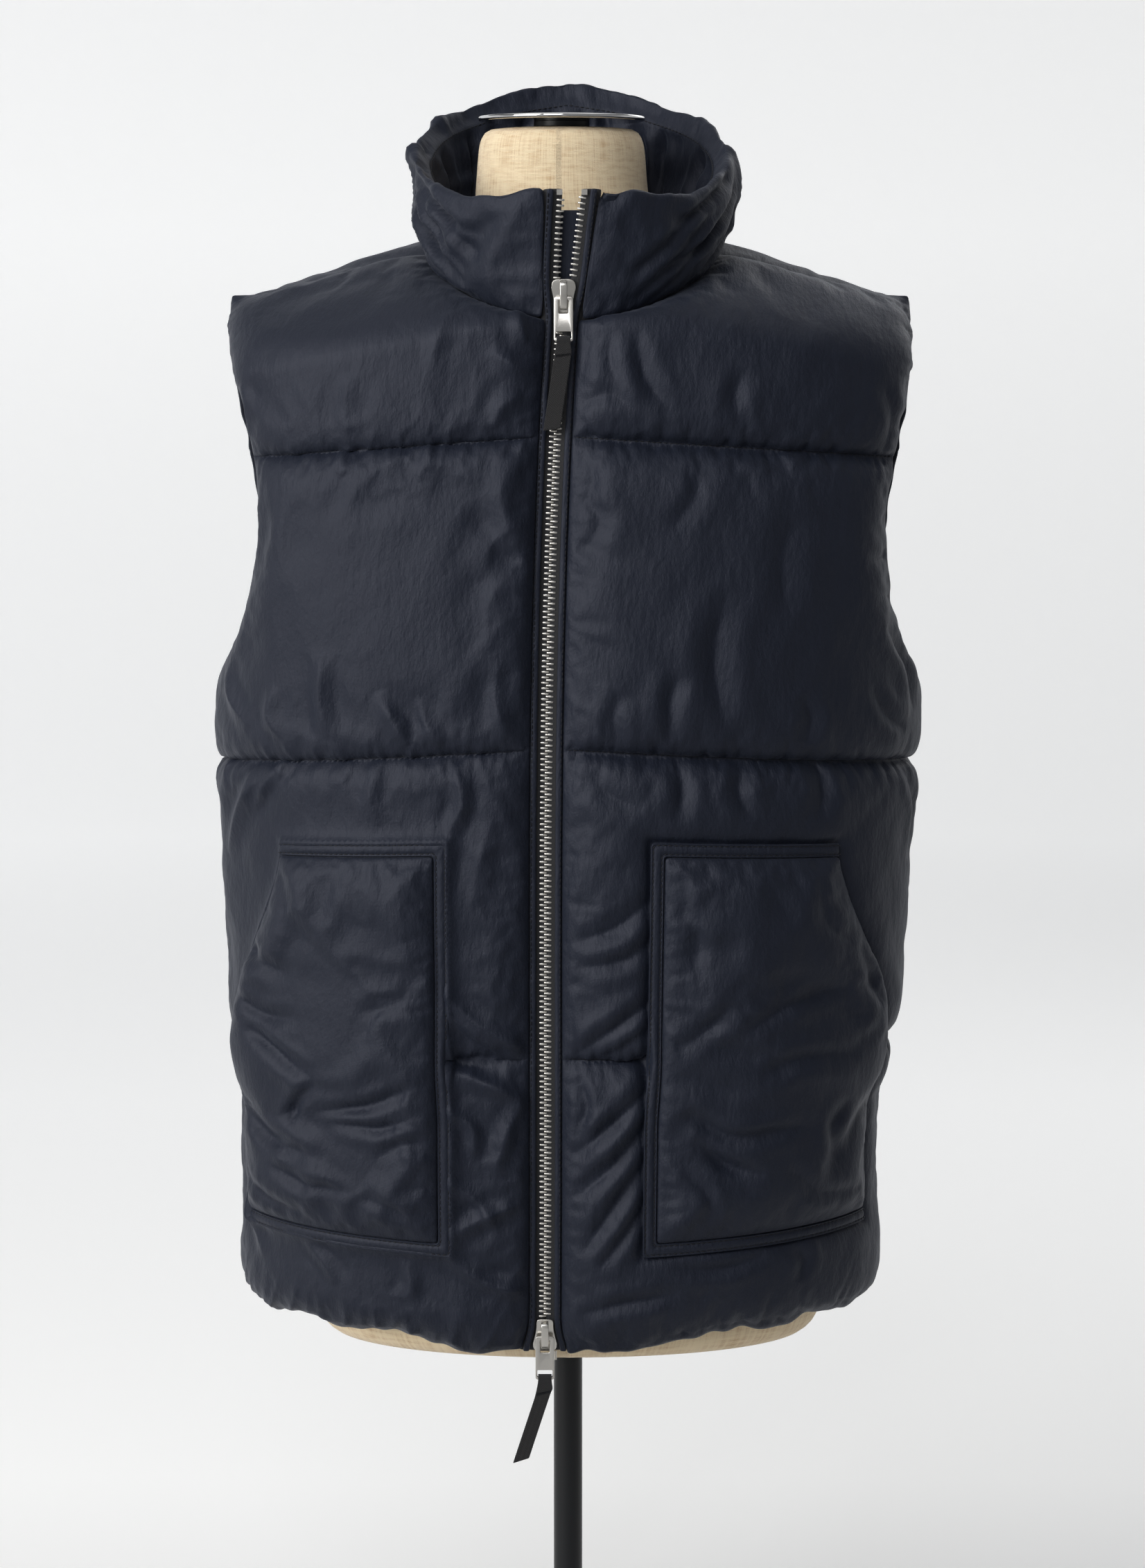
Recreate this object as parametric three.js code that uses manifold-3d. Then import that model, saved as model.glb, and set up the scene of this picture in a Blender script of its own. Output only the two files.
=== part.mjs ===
// A padded sleeveless jacket worn on a linen-covered dress form with a pole and a round base.
// Millimetres, +Z up. The front faces -Y, and the origin is the centre of the base's underside.
import * as THREE from "three";
import { mergeVertices } from "three/addons/utils/BufferGeometryUtils.js";
import Module from "manifold-3d";

const wasm = await Module();
wasm.setup();

// ---------------------------------------------------------------- driving dimensions
const GAP = 0.4; // between pieces that are sewn, laid or fitted together
const SEAM_Y = 3; // the plane of the side seams and the shoulder seams

// Padding: half thickness at a seam, fullness outside and inside, and how fast it rises. The hem
// starts a little full, and the shoulder and neck seams pinch over a shorter way.
const PAD = { seam: 1.5, out: 12, in: 5, rise: 11, hem: 4, shoulder: 1.6, neck: 1.2 };
const NO_QUILTING = 60; // added to the distance from the lowest quilting line under a pocket
const QUILT_LEVELS = [541, 720, 918];
const HEM = 362;
const UNDERARM = 786;
const TIP = 1014; // the level of the shoulder seam's outer end

// The zip's centre line leans a little, and its edges part round the sliders and at the collar.
const ZIP = { lowX: -14, drift: 17, levelZ: 540, reach: 546, bottom: 350, top: 1085 };
const ZIP_PARTING = [
  { z: 348, by: 4.2 },
  { z: 355, by: 3.2 },
  { z: 363, by: 1 },
  { z: 375, by: 0 },
  { z: 1002, by: 0 },
  { z: 1028, by: 3.4 },
  { z: 1086, by: 5.6 },
];
const PANEL_EDGE = 10.4; // from the zip's centre line to the padded panels
const PLACKET = { inner: 5.9, outer: PANEL_EDGE - GAP, front: 1.5, back: -1.5 };
const TAPE = { inner: GAP, outer: 9.6, front: -1.9, back: -3.5 };

// The whole garment sits a little to one side, more so near the hem.
const SWAY = [
  { z: 349, x: -4 },
  { z: 460, x: -7 },
  { z: 600, x: -1.5 },
  { z: 780, x: 0.5 },
  { z: 920, x: 4 },
  { z: 1014, x: 1.5 },
  { z: 1085, x: 3 },
  { z: 1160, x: -1 },
];

// Sections of the front. level: height at the side seam or armhole, z: height at the zip.
const FRONT_SECTIONS = [
  { level: 362, z: 349, half: 199, depth: 121, square: 2.3 },
  { level: 384, z: 373, half: 201, depth: 128, square: 2.3 },
  { level: 448, z: 440, half: 198, depth: 133, square: 2.3 },
  { level: 500, z: 497, half: 198, depth: 135, square: 2.3 },
  { level: 541, z: 542, half: 210, depth: 136, square: 2.3 },
  { level: 566, z: 569, half: 210, depth: 136, square: 2.3 },
  { level: 632, z: 641, half: 213, depth: 137, square: 2.3 },
  { level: 690, z: 704, half: 216, depth: 137, square: 2.3 },
  { level: 720, z: 738, half: 222, depth: 137, square: 2.3 },
  { level: 743, z: 761, half: 219, depth: 136, square: 2.35 },
  { level: 786, z: 805, half: 218, depth: 135, square: 2.4 },
  { level: 850, z: 868, half: 223, depth: 130, square: 2.5 },
  { level: 918, z: 932, half: 226, depth: 124, square: 2.5 },
  { level: 966, z: 1004, half: 226, depth: 114.5, square: 2.5 },
  { level: 990, half: 224, square: 2.5 },
  { level: 1014, half: 217, square: 2.5 },
];

// Sections of the back. They share the front's half width and level along the side seam.
const BACK_SECTIONS = [
  { level: 362, z: 356, half: 199, depth: 112, square: 2.3 },
  { level: 384, z: 380, half: 201, depth: 118, square: 2.3 },
  { level: 448, z: 446, half: 198, depth: 118, square: 2.3 },
  { level: 500, z: 499, half: 198, depth: 118, square: 2.3 },
  { level: 541, z: 542, half: 210, depth: 118, square: 2.3 },
  { level: 566, z: 568, half: 210, depth: 117, square: 2.3 },
  { level: 632, z: 635, half: 213, depth: 117, square: 2.3 },
  { level: 690, z: 695, half: 216, depth: 117, square: 2.3 },
  { level: 720, z: 726, half: 222, depth: 117, square: 2.3 },
  { level: 743, z: 750, half: 219, depth: 117, square: 2.35 },
  { level: 786, z: 797, half: 218, depth: 118, square: 2.4 },
  { level: 850, z: 864, half: 226, depth: 120, square: 2.5 },
  { level: 918, z: 936, half: 234, depth: 119, square: 2.5 },
  { level: 954, z: 990, half: 233, depth: 112, square: 2.5 },
  { level: 984, z: 1056, half: 227, depth: 85, square: 2.5 },
  { level: 1014, half: 217, square: 2.5 },
];
const ARMHOLE = { frontDegrees: 31, backDegrees: 27, lowBias: 0.85, roundness: 0.6 };

// The neck seam is an ellipse seen from above, low in front and high behind.
const NECK = { half: 87, centreY: -12, depth: 100, backZ: 1056, drop: 52, shoulderDegrees: 98.6 };
// Rise of the sewn edges' thickness against the horizontal, round the neck seam.
const NECK_MITRE = [
  { degrees: 0, rise: 0 },
  { degrees: 45, rise: 0.4 },
  { degrees: 98.6, rise: 0.72 },
  { degrees: 140, rise: 0.5 },
  { degrees: 180, rise: 0.25 },
];

// Collar: the top edge is a wider, higher loop than the neck seam.
const COLLAR = {
  half: 96,
  centreY: -16,
  depth: 107,
  height: 80,
  out: 5.5,
  in: 6,
  rise: 16,
  top: 3,
  bow: 2,
};
const COLLAR_TOP = [
  { degrees: 0, z: 1085 },
  { degrees: 40, z: 1081 },
  { degrees: 70, z: 1096 },
  { degrees: 90, z: 1111 },
  { degrees: 120, z: 1133 },
  { degrees: 140, z: 1144 },
  { degrees: 160, z: 1154 },
  { degrees: 180, z: 1160 },
];
const COLLAR_ROWS = [0, 0.1, 0.35, 0.65, 0.88, 1];

// Patch pockets: levels, and distances round from the front panel's edge for a panel of this reach.
const POCKET = {
  low: 424,
  high: 671,
  near: 54,
  far: 226,
  trim: 8,
  trimThick: 2.4,
  full: 9,
  edge: 3,
};
const HAND_OPENING = { low: 548, slant: 52, fade: 90 };
const PANEL_REACH = 290;

// Dress form: front and back are depths either side of the seam plane.
const FORM_SECTIONS = [
  { z: 337, half: 150, front: 88, back: 80, square: 2.1 },
  { z: 339, half: 157, front: 95, back: 87, square: 2.1 },
  { z: 345, half: 164, front: 102, back: 92, square: 2.1 },
  { z: 358, half: 168, front: 105, back: 95, square: 2.1 },
  { z: 390, half: 169, front: 107, back: 96, square: 2.1 },
  { z: 450, half: 167, front: 107, back: 95, square: 2.1 },
  { z: 540, half: 158, front: 104, back: 88, square: 2.1 },
  { z: 620, half: 154, front: 104, back: 84, square: 2.1 },
  { z: 700, half: 160, front: 107, back: 88, square: 2.1 },
  { z: 780, half: 170, front: 110, back: 94, square: 2.1 },
  { z: 850, half: 180, front: 109, back: 98, square: 2.1 },
  { z: 920, half: 189, front: 103, back: 99, square: 2.1 },
  { z: 965, half: 191, front: 92, back: 94, square: 2.1 },
  { z: 995, half: 187, front: 76, back: 84, square: 2.0 },
  { z: 1005, half: 180, front: 67, back: 76, square: 1.9 },
  { z: 1012, half: 170, front: 60, back: 69, square: 1.8 },
  { z: 1019, half: 156, front: 55, back: 65, square: 1.7 },
  { z: 1028, half: 130, front: 50, back: 59, square: 1.6 },
  { z: 1036, half: 104, front: 48, back: 55, square: 1.6 },
  { z: 1042, half: 86, front: 47, back: 53, square: 1.7 },
  { z: 1050, half: 69, front: 47, back: 52, square: 1.9 },
  { z: 1062, half: 60, front: 48, back: 51, square: 2 },
  { z: 1085, half: 56, front: 49, back: 50, square: 2 },
  { z: 1118, half: 53, front: 48, back: 49, square: 2 },
  { z: 1125, half: 50, front: 45, back: 46, square: 2 },
  { z: 1128, half: 44, front: 39, back: 40, square: 2 },
];
const FORM = { x: 0.6, neckLean: -4.6, leanFrom: 1050, sides: 36 };
const NECK_PLATE = { radius: 54, thick: 3, lift: 3.5, bossRadius: 18, bevel: 1.2, sides: 48 };
const POLE = { radius: 9.5, sides: 24 };
const BASE = { radius: 170, thick: 9, chamfer: 2, hubRadius: 24, hubHeight: 26, sides: 56 };

// Zip slider seen from the front (length is up and down), its bail, its pull tab and the webbing.
const SLIDER = {
  shoulder: 15.8,
  neck: 10.8,
  length: 23,
  plate: 1.2,
  slot: 2.8,
  postRadius: 1.6,
  postUp: 8.5,
};
const BAIL = { low: -7, high: 11, width: 4.6, thick: 1.2, foot: 2.6 };
const PULL = {
  width: 12,
  reach: 26,
  thick: 1.5,
  bar: 2,
  slotWidth: 6.2,
  slotLength: 8.5,
  eyeWidth: 9.6,
  eyeLength: 4.2,
};
const PULL_OUT = 3; // from the panels' middle surface to the pull's hinge axis
const WEBBING = {
  width: 10.8,
  loopWidth: 8.6,
  length: 58,
  thick: 2.2,
  loopRadius: 2.7,
  holeRadius: 1.65,
  neck: 8,
};
const SLIDERS = {
  top: { z: 1018, webbingLean: -8.5, hangOut: 8, mouthUp: 1 },
  bottom: { z: 361, webbingLean: -18, hangOut: 0, mouthUp: -1 },
};
const STOP = { width: 3.6, height: 3.4, thick: 1.4 };
const PIN = { radius: 0.9, length: 6, x: 2.2 };

// ---------------------------------------------------------------- small helpers
const { abs, asin, atan2, cos, exp, max, min, PI, sign, sin, sqrt } = Math;
const radians = (degrees) => (degrees * PI) / 180;
const mix = (a, b, t) => a + (b - a) * t;
const clamp = (t, low = 0, high = 1) => min(high, max(low, t));
const smooth = (t) => clamp(t) ** 2 * (3 - 2 * clamp(t));
const signedPower = (value, power) => sign(value) * abs(value) ** power;
const vec = (x = 0, y = 0, z = 0) => new THREE.Vector3(x, y, z);

// A smooth curve through one column of a table, read at any place along another column.
function track(rows, place, column) {
  const xs = rows.map((row) => row[place]);
  const ys = rows.map((row) => row[column]);
  const last = xs.length - 1;
  const chord = (i) => (ys[i + 1] - ys[i]) / (xs[i + 1] - xs[i]);
  const slope = (i) => {
    if (i === 0 || i === last) return chord(i === 0 ? 0 : last - 1);
    const [before, after] = [chord(i - 1), chord(i)];
    return before * after > 0 ? (2 * before * after) / (before + after) : 0;
  };
  return (x) => {
    let i = 0;
    while (i < last - 1 && x > xs[i + 1]) i += 1;
    const span = xs[i + 1] - xs[i];
    const t = clamp((x - xs[i]) / span);
    const [t2, t3] = [t * t, t * t * t];
    const ends = (2 * t3 - 3 * t2 + 1) * ys[i] + (3 * t2 - 2 * t3) * ys[i + 1];
    return ends + span * ((t3 - 2 * t2 + t) * slope(i) + (t3 - t2) * slope(i + 1));
  };
}

// ---------------------------------------------------------------- lines that the pieces share
const zipX = (z) => ZIP.lowX + ZIP.drift * ((z - ZIP.levelZ) / ZIP.reach) ** 3;
const zipParting = track(ZIP_PARTING, "z", "by");
const swayX = track(SWAY, "z", "x");
// Distance of the padded front edge from the garment's middle, on one side (-1 left, +1 right).
const frontEdgeX = (side, z) => side * (zipX(z) - swayX(z)) + PANEL_EDGE + zipParting(z);
// Turns a point measured from the garment's middle, with x outwards, into its place.
const placed = (side, point) => vec(side * point.x + swayX(point.z), point.y, point.z);

// Points of the neck seam, measured from the garment's middle, by their angle from the front.
function neckSeam(angle) {
  const y = NECK.centreY - NECK.depth * cos(angle);
  const fall = (NECK.centreY + NECK.depth - y) / (2 * NECK.depth);
  return vec(NECK.half * sin(angle), y, NECK.backZ - NECK.drop * fall * fall);
}
const SHOULDER = radians(NECK.shoulderDegrees);
const neckMitreRise = track(NECK_MITRE, "degrees", "rise");

// Direction of the sewn edges' thickness at a point of the neck seam.
function neckMitre(angle) {
  const rise = neckMitreRise((angle * 180) / PI);
  const outward = vec(sin(angle) / NECK.half, -cos(angle) / NECK.depth, 0).normalize();
  if (angle === SHOULDER) outward.set(1, 0, 0);
  return outward.setZ(rise).normalize();
}

// ---------------------------------------------------------------- the garment's middle surface
const CURVE_STEPS = 60;

// Distance from the first point to each point of a chain.
function runningLengths(points) {
  const lengths = [0];
  for (let i = 1; i < points.length; i += 1) {
    lengths.push(lengths[i - 1] + points[i].distanceTo(points[i - 1]));
  }
  return lengths;
}

// One side of the garment as level curves, each a part of a superellipse.
class GarmentSide {
  constructor(sections, facing, armholeDegrees) {
    this.facing = facing; // -1 for the front, +1 for the back
    this.armhole = radians(armholeDegrees);
    this.half = track(sections, "level", "half");
    this.square = track(sections, "level", "square");
    const belowNeck = sections.filter((row) => row.z !== undefined);
    this.z = track(belowNeck, "level", "z");
    this.depth = track(belowNeck, "level", "depth");
    this.neckLevel = belowNeck.at(-1).level;
  }

  // Angle on the neck seam where a level curve starts.
  neckAngle(level, side) {
    const lowest = this.facing < 0 ? asin(frontEdgeX(side, this.z(this.neckLevel)) / NECK.half) : PI;
    const share = (level - this.neckLevel) / (TIP - this.neckLevel);
    return level === TIP ? SHOULDER : mix(lowest, SHOULDER, share);
  }

  // Where a level curve starts: on the front edge, the centre back or the neck seam.
  start(level, side) {
    if (level >= this.neckLevel) return neckSeam(this.neckAngle(level, side));
    const z = this.z(level);
    return vec(this.facing < 0 ? frontEdgeX(side, z) : 0, SEAM_Y + this.facing * this.depth(level), z);
  }

  // Angle on the superellipse where a level curve ends: the side seam or the armhole's edge.
  endAngle(level) {
    const up = (level - UNDERARM) / (TIP - UNDERARM);
    if (up <= 0 || up >= 1) return PI / 2;
    return PI / 2 - this.armhole * sin(PI * up ** ARMHOLE.lowBias) ** ARMHOLE.roundness;
  }

  // Measures one level curve and reads points on it by their distance from its start.
  curve(level, side, last = this.endAngle(level)) {
    const half = this.half(level);
    const power = 2 / this.square(level);
    const start = this.start(level, side);
    const first = asin(signedPower(start.x / half, 1 / power));
    const depth = (start.y - SEAM_Y) / cos(first) ** power;
    const flat = Array.from({ length: CURVE_STEPS + 1 }, (_, i) => {
      const angle = mix(first, last, i / CURVE_STEPS);
      const y = SEAM_Y + depth * max(0, cos(angle)) ** power;
      return vec(half * signedPower(sin(angle), power), y, 0);
    });
    const flatLengths = runningLengths(flat);
    const points = flat.map((p, i) => {
      return placed(side, p.setZ(mix(start.z, level, flatLengths[i] / flatLengths.at(-1))));
    });
    const lengths = runningLengths(points);
    const total = lengths.at(-1);
    const pointAt = (distance) => {
      let i = 0;
      while (i < CURVE_STEPS - 1 && distance > lengths[i + 1]) i += 1;
      const share = (distance - lengths[i]) / (lengths[i + 1] - lengths[i]);
      return points[i].clone().lerp(points[i + 1], share);
    };
    return { total, pointAt };
  }
}

const FRONT = new GarmentSide(FRONT_SECTIONS, -1, ARMHOLE.frontDegrees);
const BACK = new GarmentSide(BACK_SECTIONS, 1, ARMHOLE.backDegrees);

// ---------------------------------------------------------------- padding
const risen = (distance, rise = PAD.rise) => 1 - exp(-max(0, distance) / rise);
// The form flattens the padding's inside at the shoulders.
const SHOULDER_PRESS = { top: 980, fade: 90, least: 0.1 };
const formPresses = (level) => {
  return clamp((SHOULDER_PRESS.top - level) / SHOULDER_PRESS.fade, SHOULDER_PRESS.least, 1);
};

// How full the padding is at a place on a body panel, from 0 at a seam to 1.
function panelFullness({ level, toStart, toEnd, underPocket }) {
  const toQuilting = min(...QUILT_LEVELS.map((seam, i) => abs(level - seam) + (i === 0 ? underPocket : 0)));
  const toHem = level - HEM + PAD.hem;
  const toShoulder = (TIP - level) * PAD.shoulder;
  return [toStart, toEnd, toQuilting, toHem, toShoulder].reduce((full, d) => full * risen(d), 1);
}

const CORE_TOP = 850; // normals point away from the upright through the origin, up to this height

// Gives each cell of a grid its outward normal. trim may turn a normal into a seam's plane.
function addNormals(grid, trim) {
  const [lastRow, lastColumn] = [grid.length - 1, grid[0].length - 1];
  grid.forEach((row, r) => {
    row.forEach((cell, c) => {
      const across = row[min(lastColumn, c + 1)].point.clone().sub(row[max(0, c - 1)].point);
      const up = grid[min(lastRow, r + 1)][c].point.clone().sub(grid[max(0, r - 1)][c].point);
      const normal = across.cross(up).normalize();
      const core = vec(0, 0, min(cell.point.z, CORE_TOP));
      if (normal.dot(cell.point.clone().sub(core)) < 0) normal.negate();
      trim(normal, r, c);
      cell.normal = normal.normalize();
    });
  });
  return grid;
}

// Measures each cell's distance to the panel's outer edge, which turns in sharply at the underarm.
function measureToEdge(grid) {
  const edge = grid.map((row) => row.at(-1).point);
  const spans = edge.slice(1).map((point, i) => new THREE.Line3(edge[i], point));
  grid.flat().forEach((cell) => {
    const nearest = spans.map((span) => span.closestPointToPoint(cell.point, true, vec()));
    cell.toEnd = min(...nearest.map((point) => point.distanceTo(cell.point)));
  });
}

const shifted = (cell, out) => cell.point.clone().addScaledVector(cell.normal, out);
const shiftedGrid = (grid, out) => grid.map((row) => row.map((cell) => shifted(cell, out(cell))));

// ---------------------------------------------------------------- closed solids
const withoutExtras = (geometry) => {
  geometry.deleteAttribute("normal");
  geometry.deleteAttribute("uv");
  return mergeVertices(geometry, 1e-4);
};

// Turns a closed geometry's triangles round if it is inside out.
function facingOut(geometry) {
  const position = geometry.getAttribute("position");
  const index = geometry.getIndex().array;
  const corners = [vec(), vec(), vec()];
  let volume = 0;
  for (let i = 0; i < index.length; i += 3) {
    corners.forEach((corner, k) => corner.fromBufferAttribute(position, index[i + k]));
    volume += corners[0].dot(corners[1].cross(corners[2]));
  }
  if (volume > 0) return geometry;
  for (let i = 0; i < index.length; i += 3) [index[i + 1], index[i + 2]] = [index[i + 2], index[i + 1]];
  return geometry;
}

function geometryFrom(points, index) {
  const geometry = new THREE.BufferGeometry();
  const numbers = points.flatMap((p) => [p.x, p.y, p.z]);
  geometry.setAttribute("position", new THREE.Float32BufferAttribute(numbers, 3));
  geometry.setIndex(index);
  return facingOut(mergeVertices(geometry.toNonIndexed(), 1e-4));
}

// A closed wall between two grids of points, over the cells that are included. Points of the
// outer grid that coincide are one point, so two parts of the grid can be sewn together there.
function wall(outer, inner, included = () => true) {
  const columns = outer[0].length;
  const layer = outer.length * columns;
  const places = new Map();
  const ids = outer.flat().map((p, i) => {
    const place = [p.x, p.y, p.z].map((v) => Math.round(v * 1000)).join();
    if (!places.has(place)) places.set(place, i);
    return places.get(place);
  });
  const index = [];
  const rim = new Map();
  const quad = (a, b, c, d) => index.push(a, b, c, a, c, d);
  for (let r = 0; r < outer.length - 1; r += 1) {
    for (let c = 0; c < columns - 1; c += 1) {
      if (!included(r, c)) continue;
      const [i, j] = [r * columns + c, (r + 1) * columns + c];
      const corners = [ids[i], ids[i + 1], ids[j + 1], ids[j]];
      const [a, b, d, e] = corners;
      quad(a, b, d, e);
      quad(a + layer, e + layer, d + layer, b + layer);
      corners.forEach((from, k) => {
        const to = corners[(k + 1) % 4];
        if (!rim.delete(`${to},${from}`)) rim.set(`${from},${to}`, [from, to]);
      });
    }
  }
  rim.forEach(([from, to]) => quad(to, from, from + layer, to + layer));
  return geometryFrom([...outer.flat(), ...inner.flat()], index);
}

// A closed body through rings of points, with a flat cap at each end.
function loft(rings) {
  const count = rings[0].length;
  const index = [];
  for (let r = 0; r < rings.length - 1; r += 1) {
    for (let i = 0; i < count; i += 1) {
      const [a, b] = [r * count + i, r * count + ((i + 1) % count)];
      index.push(a, b, b + count, a, b + count, a + count);
    }
  }
  const top = (rings.length - 1) * count;
  for (let i = 1; i < count - 1; i += 1) index.push(0, i + 1, i, top, top + i, top + i + 1);
  return geometryFrom(rings.flat(), index);
}

const toManifold = (geometry) => {
  const merged = withoutExtras(geometry.index ? geometry.toNonIndexed() : geometry);
  const vertProperties = merged.getAttribute("position").array;
  const triVerts = new Uint32Array(merged.index.array);
  return new wasm.Manifold(new wasm.Mesh({ numProp: 3, vertProperties, triVerts }));
};

function fromManifold(solid) {
  const mesh = solid.getMesh();
  const geometry = new THREE.BufferGeometry();
  geometry.setAttribute("position", new THREE.Float32BufferAttribute(mesh.vertProperties, 3));
  geometry.setIndex([...mesh.triVerts]);
  return geometry;
}

function joined(...geometries) {
  return fromManifold(geometries.map(toManifold).reduce((all, next) => all.add(next)));
}

// ---------------------------------------------------------------- front and back panels
const FRONT_LEVELS = [
  HEM, 369, 390, POCKET.low, POCKET.low + POCKET.trim, 480, 528, 541, 554, 605, POCKET.high - POCKET.trim,
  POCKET.high, 706, 720, 734, 768, UNDERARM, 790, 798, 810, 828, 852, 882, 904, 918, 932, 950, 966, 978,
  990, 1002, TIP,
];
const BACK_LEVELS = [
  HEM, 369, 390, 450, 510, 528, 541, 554, 575, 630, 690, 706, 720, 734, 765, UNDERARM, 790, 798, 810, 828,
  852, 880, 904, 918, 932, 954, 970, 984, 994, 1004, TIP,
];
const EDGE_COLUMNS = [18, 6, 0]; // distances in from the side seam or armhole
const EDGE_ROOM = 30;
const FULL_CURVE = 200; // on a level curve shorter than this the columns close up
const BACK_SHARES = [0, 0.16, 0.33, 0.5, 0.67, 0.82]; // of a level curve, from the centre back

// The length that a curve's inner columns are shares of. It changes slowly at the underarm, where
// the curve itself becomes shorter at once, and leaves room for the columns at the edge.
function sharedReach(total, uncut, outermost) {
  const room = EDGE_ROOM * min(1, total / FULL_CURVE);
  return min(uncut, (total - room) / outermost);
}

// Distances of the front panel's columns from the front edge. The outer ones follow the hand opening.
function frontDistances(level, total, uncut) {
  const closing = min(1, total / FULL_CURVE);
  const inner = [0, 6, 20].map((d) => d * closing);
  const rising = smooth((level - HAND_OPENING.low) / (POCKET.high - HAND_OPENING.low));
  const fading = 1 - smooth((level - POCKET.high) / HAND_OPENING.fade);
  const far = POCKET.far - HAND_OPENING.slant * rising * fading;
  const nearTrim = POCKET.near + POCKET.trim;
  const middle = [0.33, 0.67, 1].map((share) => mix(nearTrim, far, share));
  const scale = sharedReach(total, uncut, POCKET.far / PANEL_REACH) / PANEL_REACH;
  const pocket = [POCKET.near, nearTrim, ...middle].map((d) => d * scale);
  return [...inner, ...pocket, ...EDGE_COLUMNS.map((d) => total - d * closing)];
}
const NEAR_COLUMN = 3;
const FAR_COLUMN = 7;
const inPocketRows = (level) => level >= POCKET.low && level <= POCKET.high;

function frontGrid(side) {
  const grid = FRONT_LEVELS.map((level) => {
    const { total, pointAt } = FRONT.curve(level, side);
    const uncut = FRONT.curve(level, side, PI / 2).total;
    return frontDistances(level, total, uncut).map((distance, c, all) => {
      const point = pointAt(distance);
      if (level === TIP || (c === all.length - 1 && level <= UNDERARM)) point.y = SEAM_Y - GAP / 2;
      const underPocket = c >= NEAR_COLUMN && c <= FAR_COLUMN && inPocketRows(level) ? NO_QUILTING : 0;
      return { point, level, toStart: distance, underPocket };
    });
  });
  measureToEdge(grid);
  return addNormals(grid, (normal, r, c) => {
    const level = FRONT_LEVELS[r];
    if (c === 0 && level >= FRONT.neckLevel) {
      normal.copy(neckMitre(FRONT.neckAngle(level, side)));
      normal.x *= side;
    }
    if (c === 0 && level <= FRONT.neckLevel) normal.x = 0;
    if (level === TIP || (c === grid[r].length - 1 && level <= UNDERARM)) normal.y = 0;
  });
}

function backGrid(side) {
  const grid = BACK_LEVELS.map((level) => {
    const { total, pointAt } = BACK.curve(level, side);
    const inFromEdge = EDGE_COLUMNS.map((d) => total - d * min(1, total / FULL_CURVE));
    const reach = sharedReach(total, BACK.curve(level, side, PI / 2).total, BACK_SHARES.at(-1));
    const distances = [...BACK_SHARES.map((share) => share * reach), ...inFromEdge];
    return distances.map((distance, c) => {
      const point = pointAt(distance);
      if (level === TIP || (c === distances.length - 1 && level <= UNDERARM)) point.y = SEAM_Y + GAP / 2;
      const fromNeck = level - BACK.neckLevel;
      const toStart = distance + max(0, -fromNeck) * PAD.neck; // only the neck seam pinches the middle
      return { point, level, toStart, underPocket: 0 };
    });
  });
  measureToEdge(grid);
  return addNormals(grid, (normal, r, c) => {
    const level = BACK_LEVELS[r];
    if (c === 0 && level >= BACK.neckLevel) {
      normal.copy(neckMitre(BACK.neckAngle(level, side)));
      normal.x *= side;
    }
    if (c === 0 && level <= BACK.neckLevel) normal.x = 0;
    if (level === TIP || (c === grid[r].length - 1 && level <= UNDERARM)) normal.y = 0;
  });
}

const panelOut = (cell) => PAD.seam + PAD.out * panelFullness(cell);
const panelIn = (cell) => -PAD.seam - PAD.in * panelFullness(cell) * formPresses(cell.level);
const frontGrids = { left: frontGrid(-1), right: frontGrid(1) };

const frontPanel = (grid) => wall(shiftedGrid(grid, panelOut), shiftedGrid(grid, panelIn));

// The back is one piece: its halves share the centre column up to the neck seam.
function backPanel() {
  const [left, right] = [backGrid(-1), backGrid(1)];
  left.forEach((row, r) => {
    if (BACK_LEVELS[r] > BACK.neckLevel) return;
    row[0].normal.add(right[r][0].normal).normalize();
    right[r][0].normal.copy(row[0].normal);
  });
  const whole = left.map((row, r) => [...[...row].reverse(), ...right[r]]);
  const middle = left[0].length - 1;
  return wall(shiftedGrid(whole, panelOut), shiftedGrid(whole, panelIn), (r, c) => c !== middle);
}

// ---------------------------------------------------------------- collar
const collarTopZ = track(COLLAR_TOP, "degrees", "z");
const shares = (levels, side) => levels.map((level) => (level - side.neckLevel) / (TIP - side.neckLevel));
const FRONT_NECK_SHARES = shares(FRONT_LEVELS.filter((level) => level >= FRONT.neckLevel), FRONT);
const BACK_NECK_SHARES = shares(BACK_LEVELS.filter((level) => level >= BACK.neckLevel), BACK);

// A point of the collar's middle surface: angle round the neck, height v from seam to top edge.
function collarPoint(side, angle, v) {
  const seam = neckSeam(angle);
  const radius = COLLAR.half;
  const topY = COLLAR.centreY - COLLAR.depth * cos(angle);
  const top = vec(radius * sin(angle), topY, collarTopZ((angle * 180) / PI));
  const bow = COLLAR.bow * sin(PI * v) * sin(angle / 2);
  return placed(side, seam.lerp(top, v).add(vec(sin(angle), -cos(angle), 0).multiplyScalar(bow)));
}

// Angle of the collar's front edge at height v, where it meets the placket.
function collarFrontAngle(side, v) {
  const z = mix(neckSeam(0).z, collarTopZ(0), v);
  return asin((frontEdgeX(side, z) + GAP) / mix(NECK.half, COLLAR.half, v));
}

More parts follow.
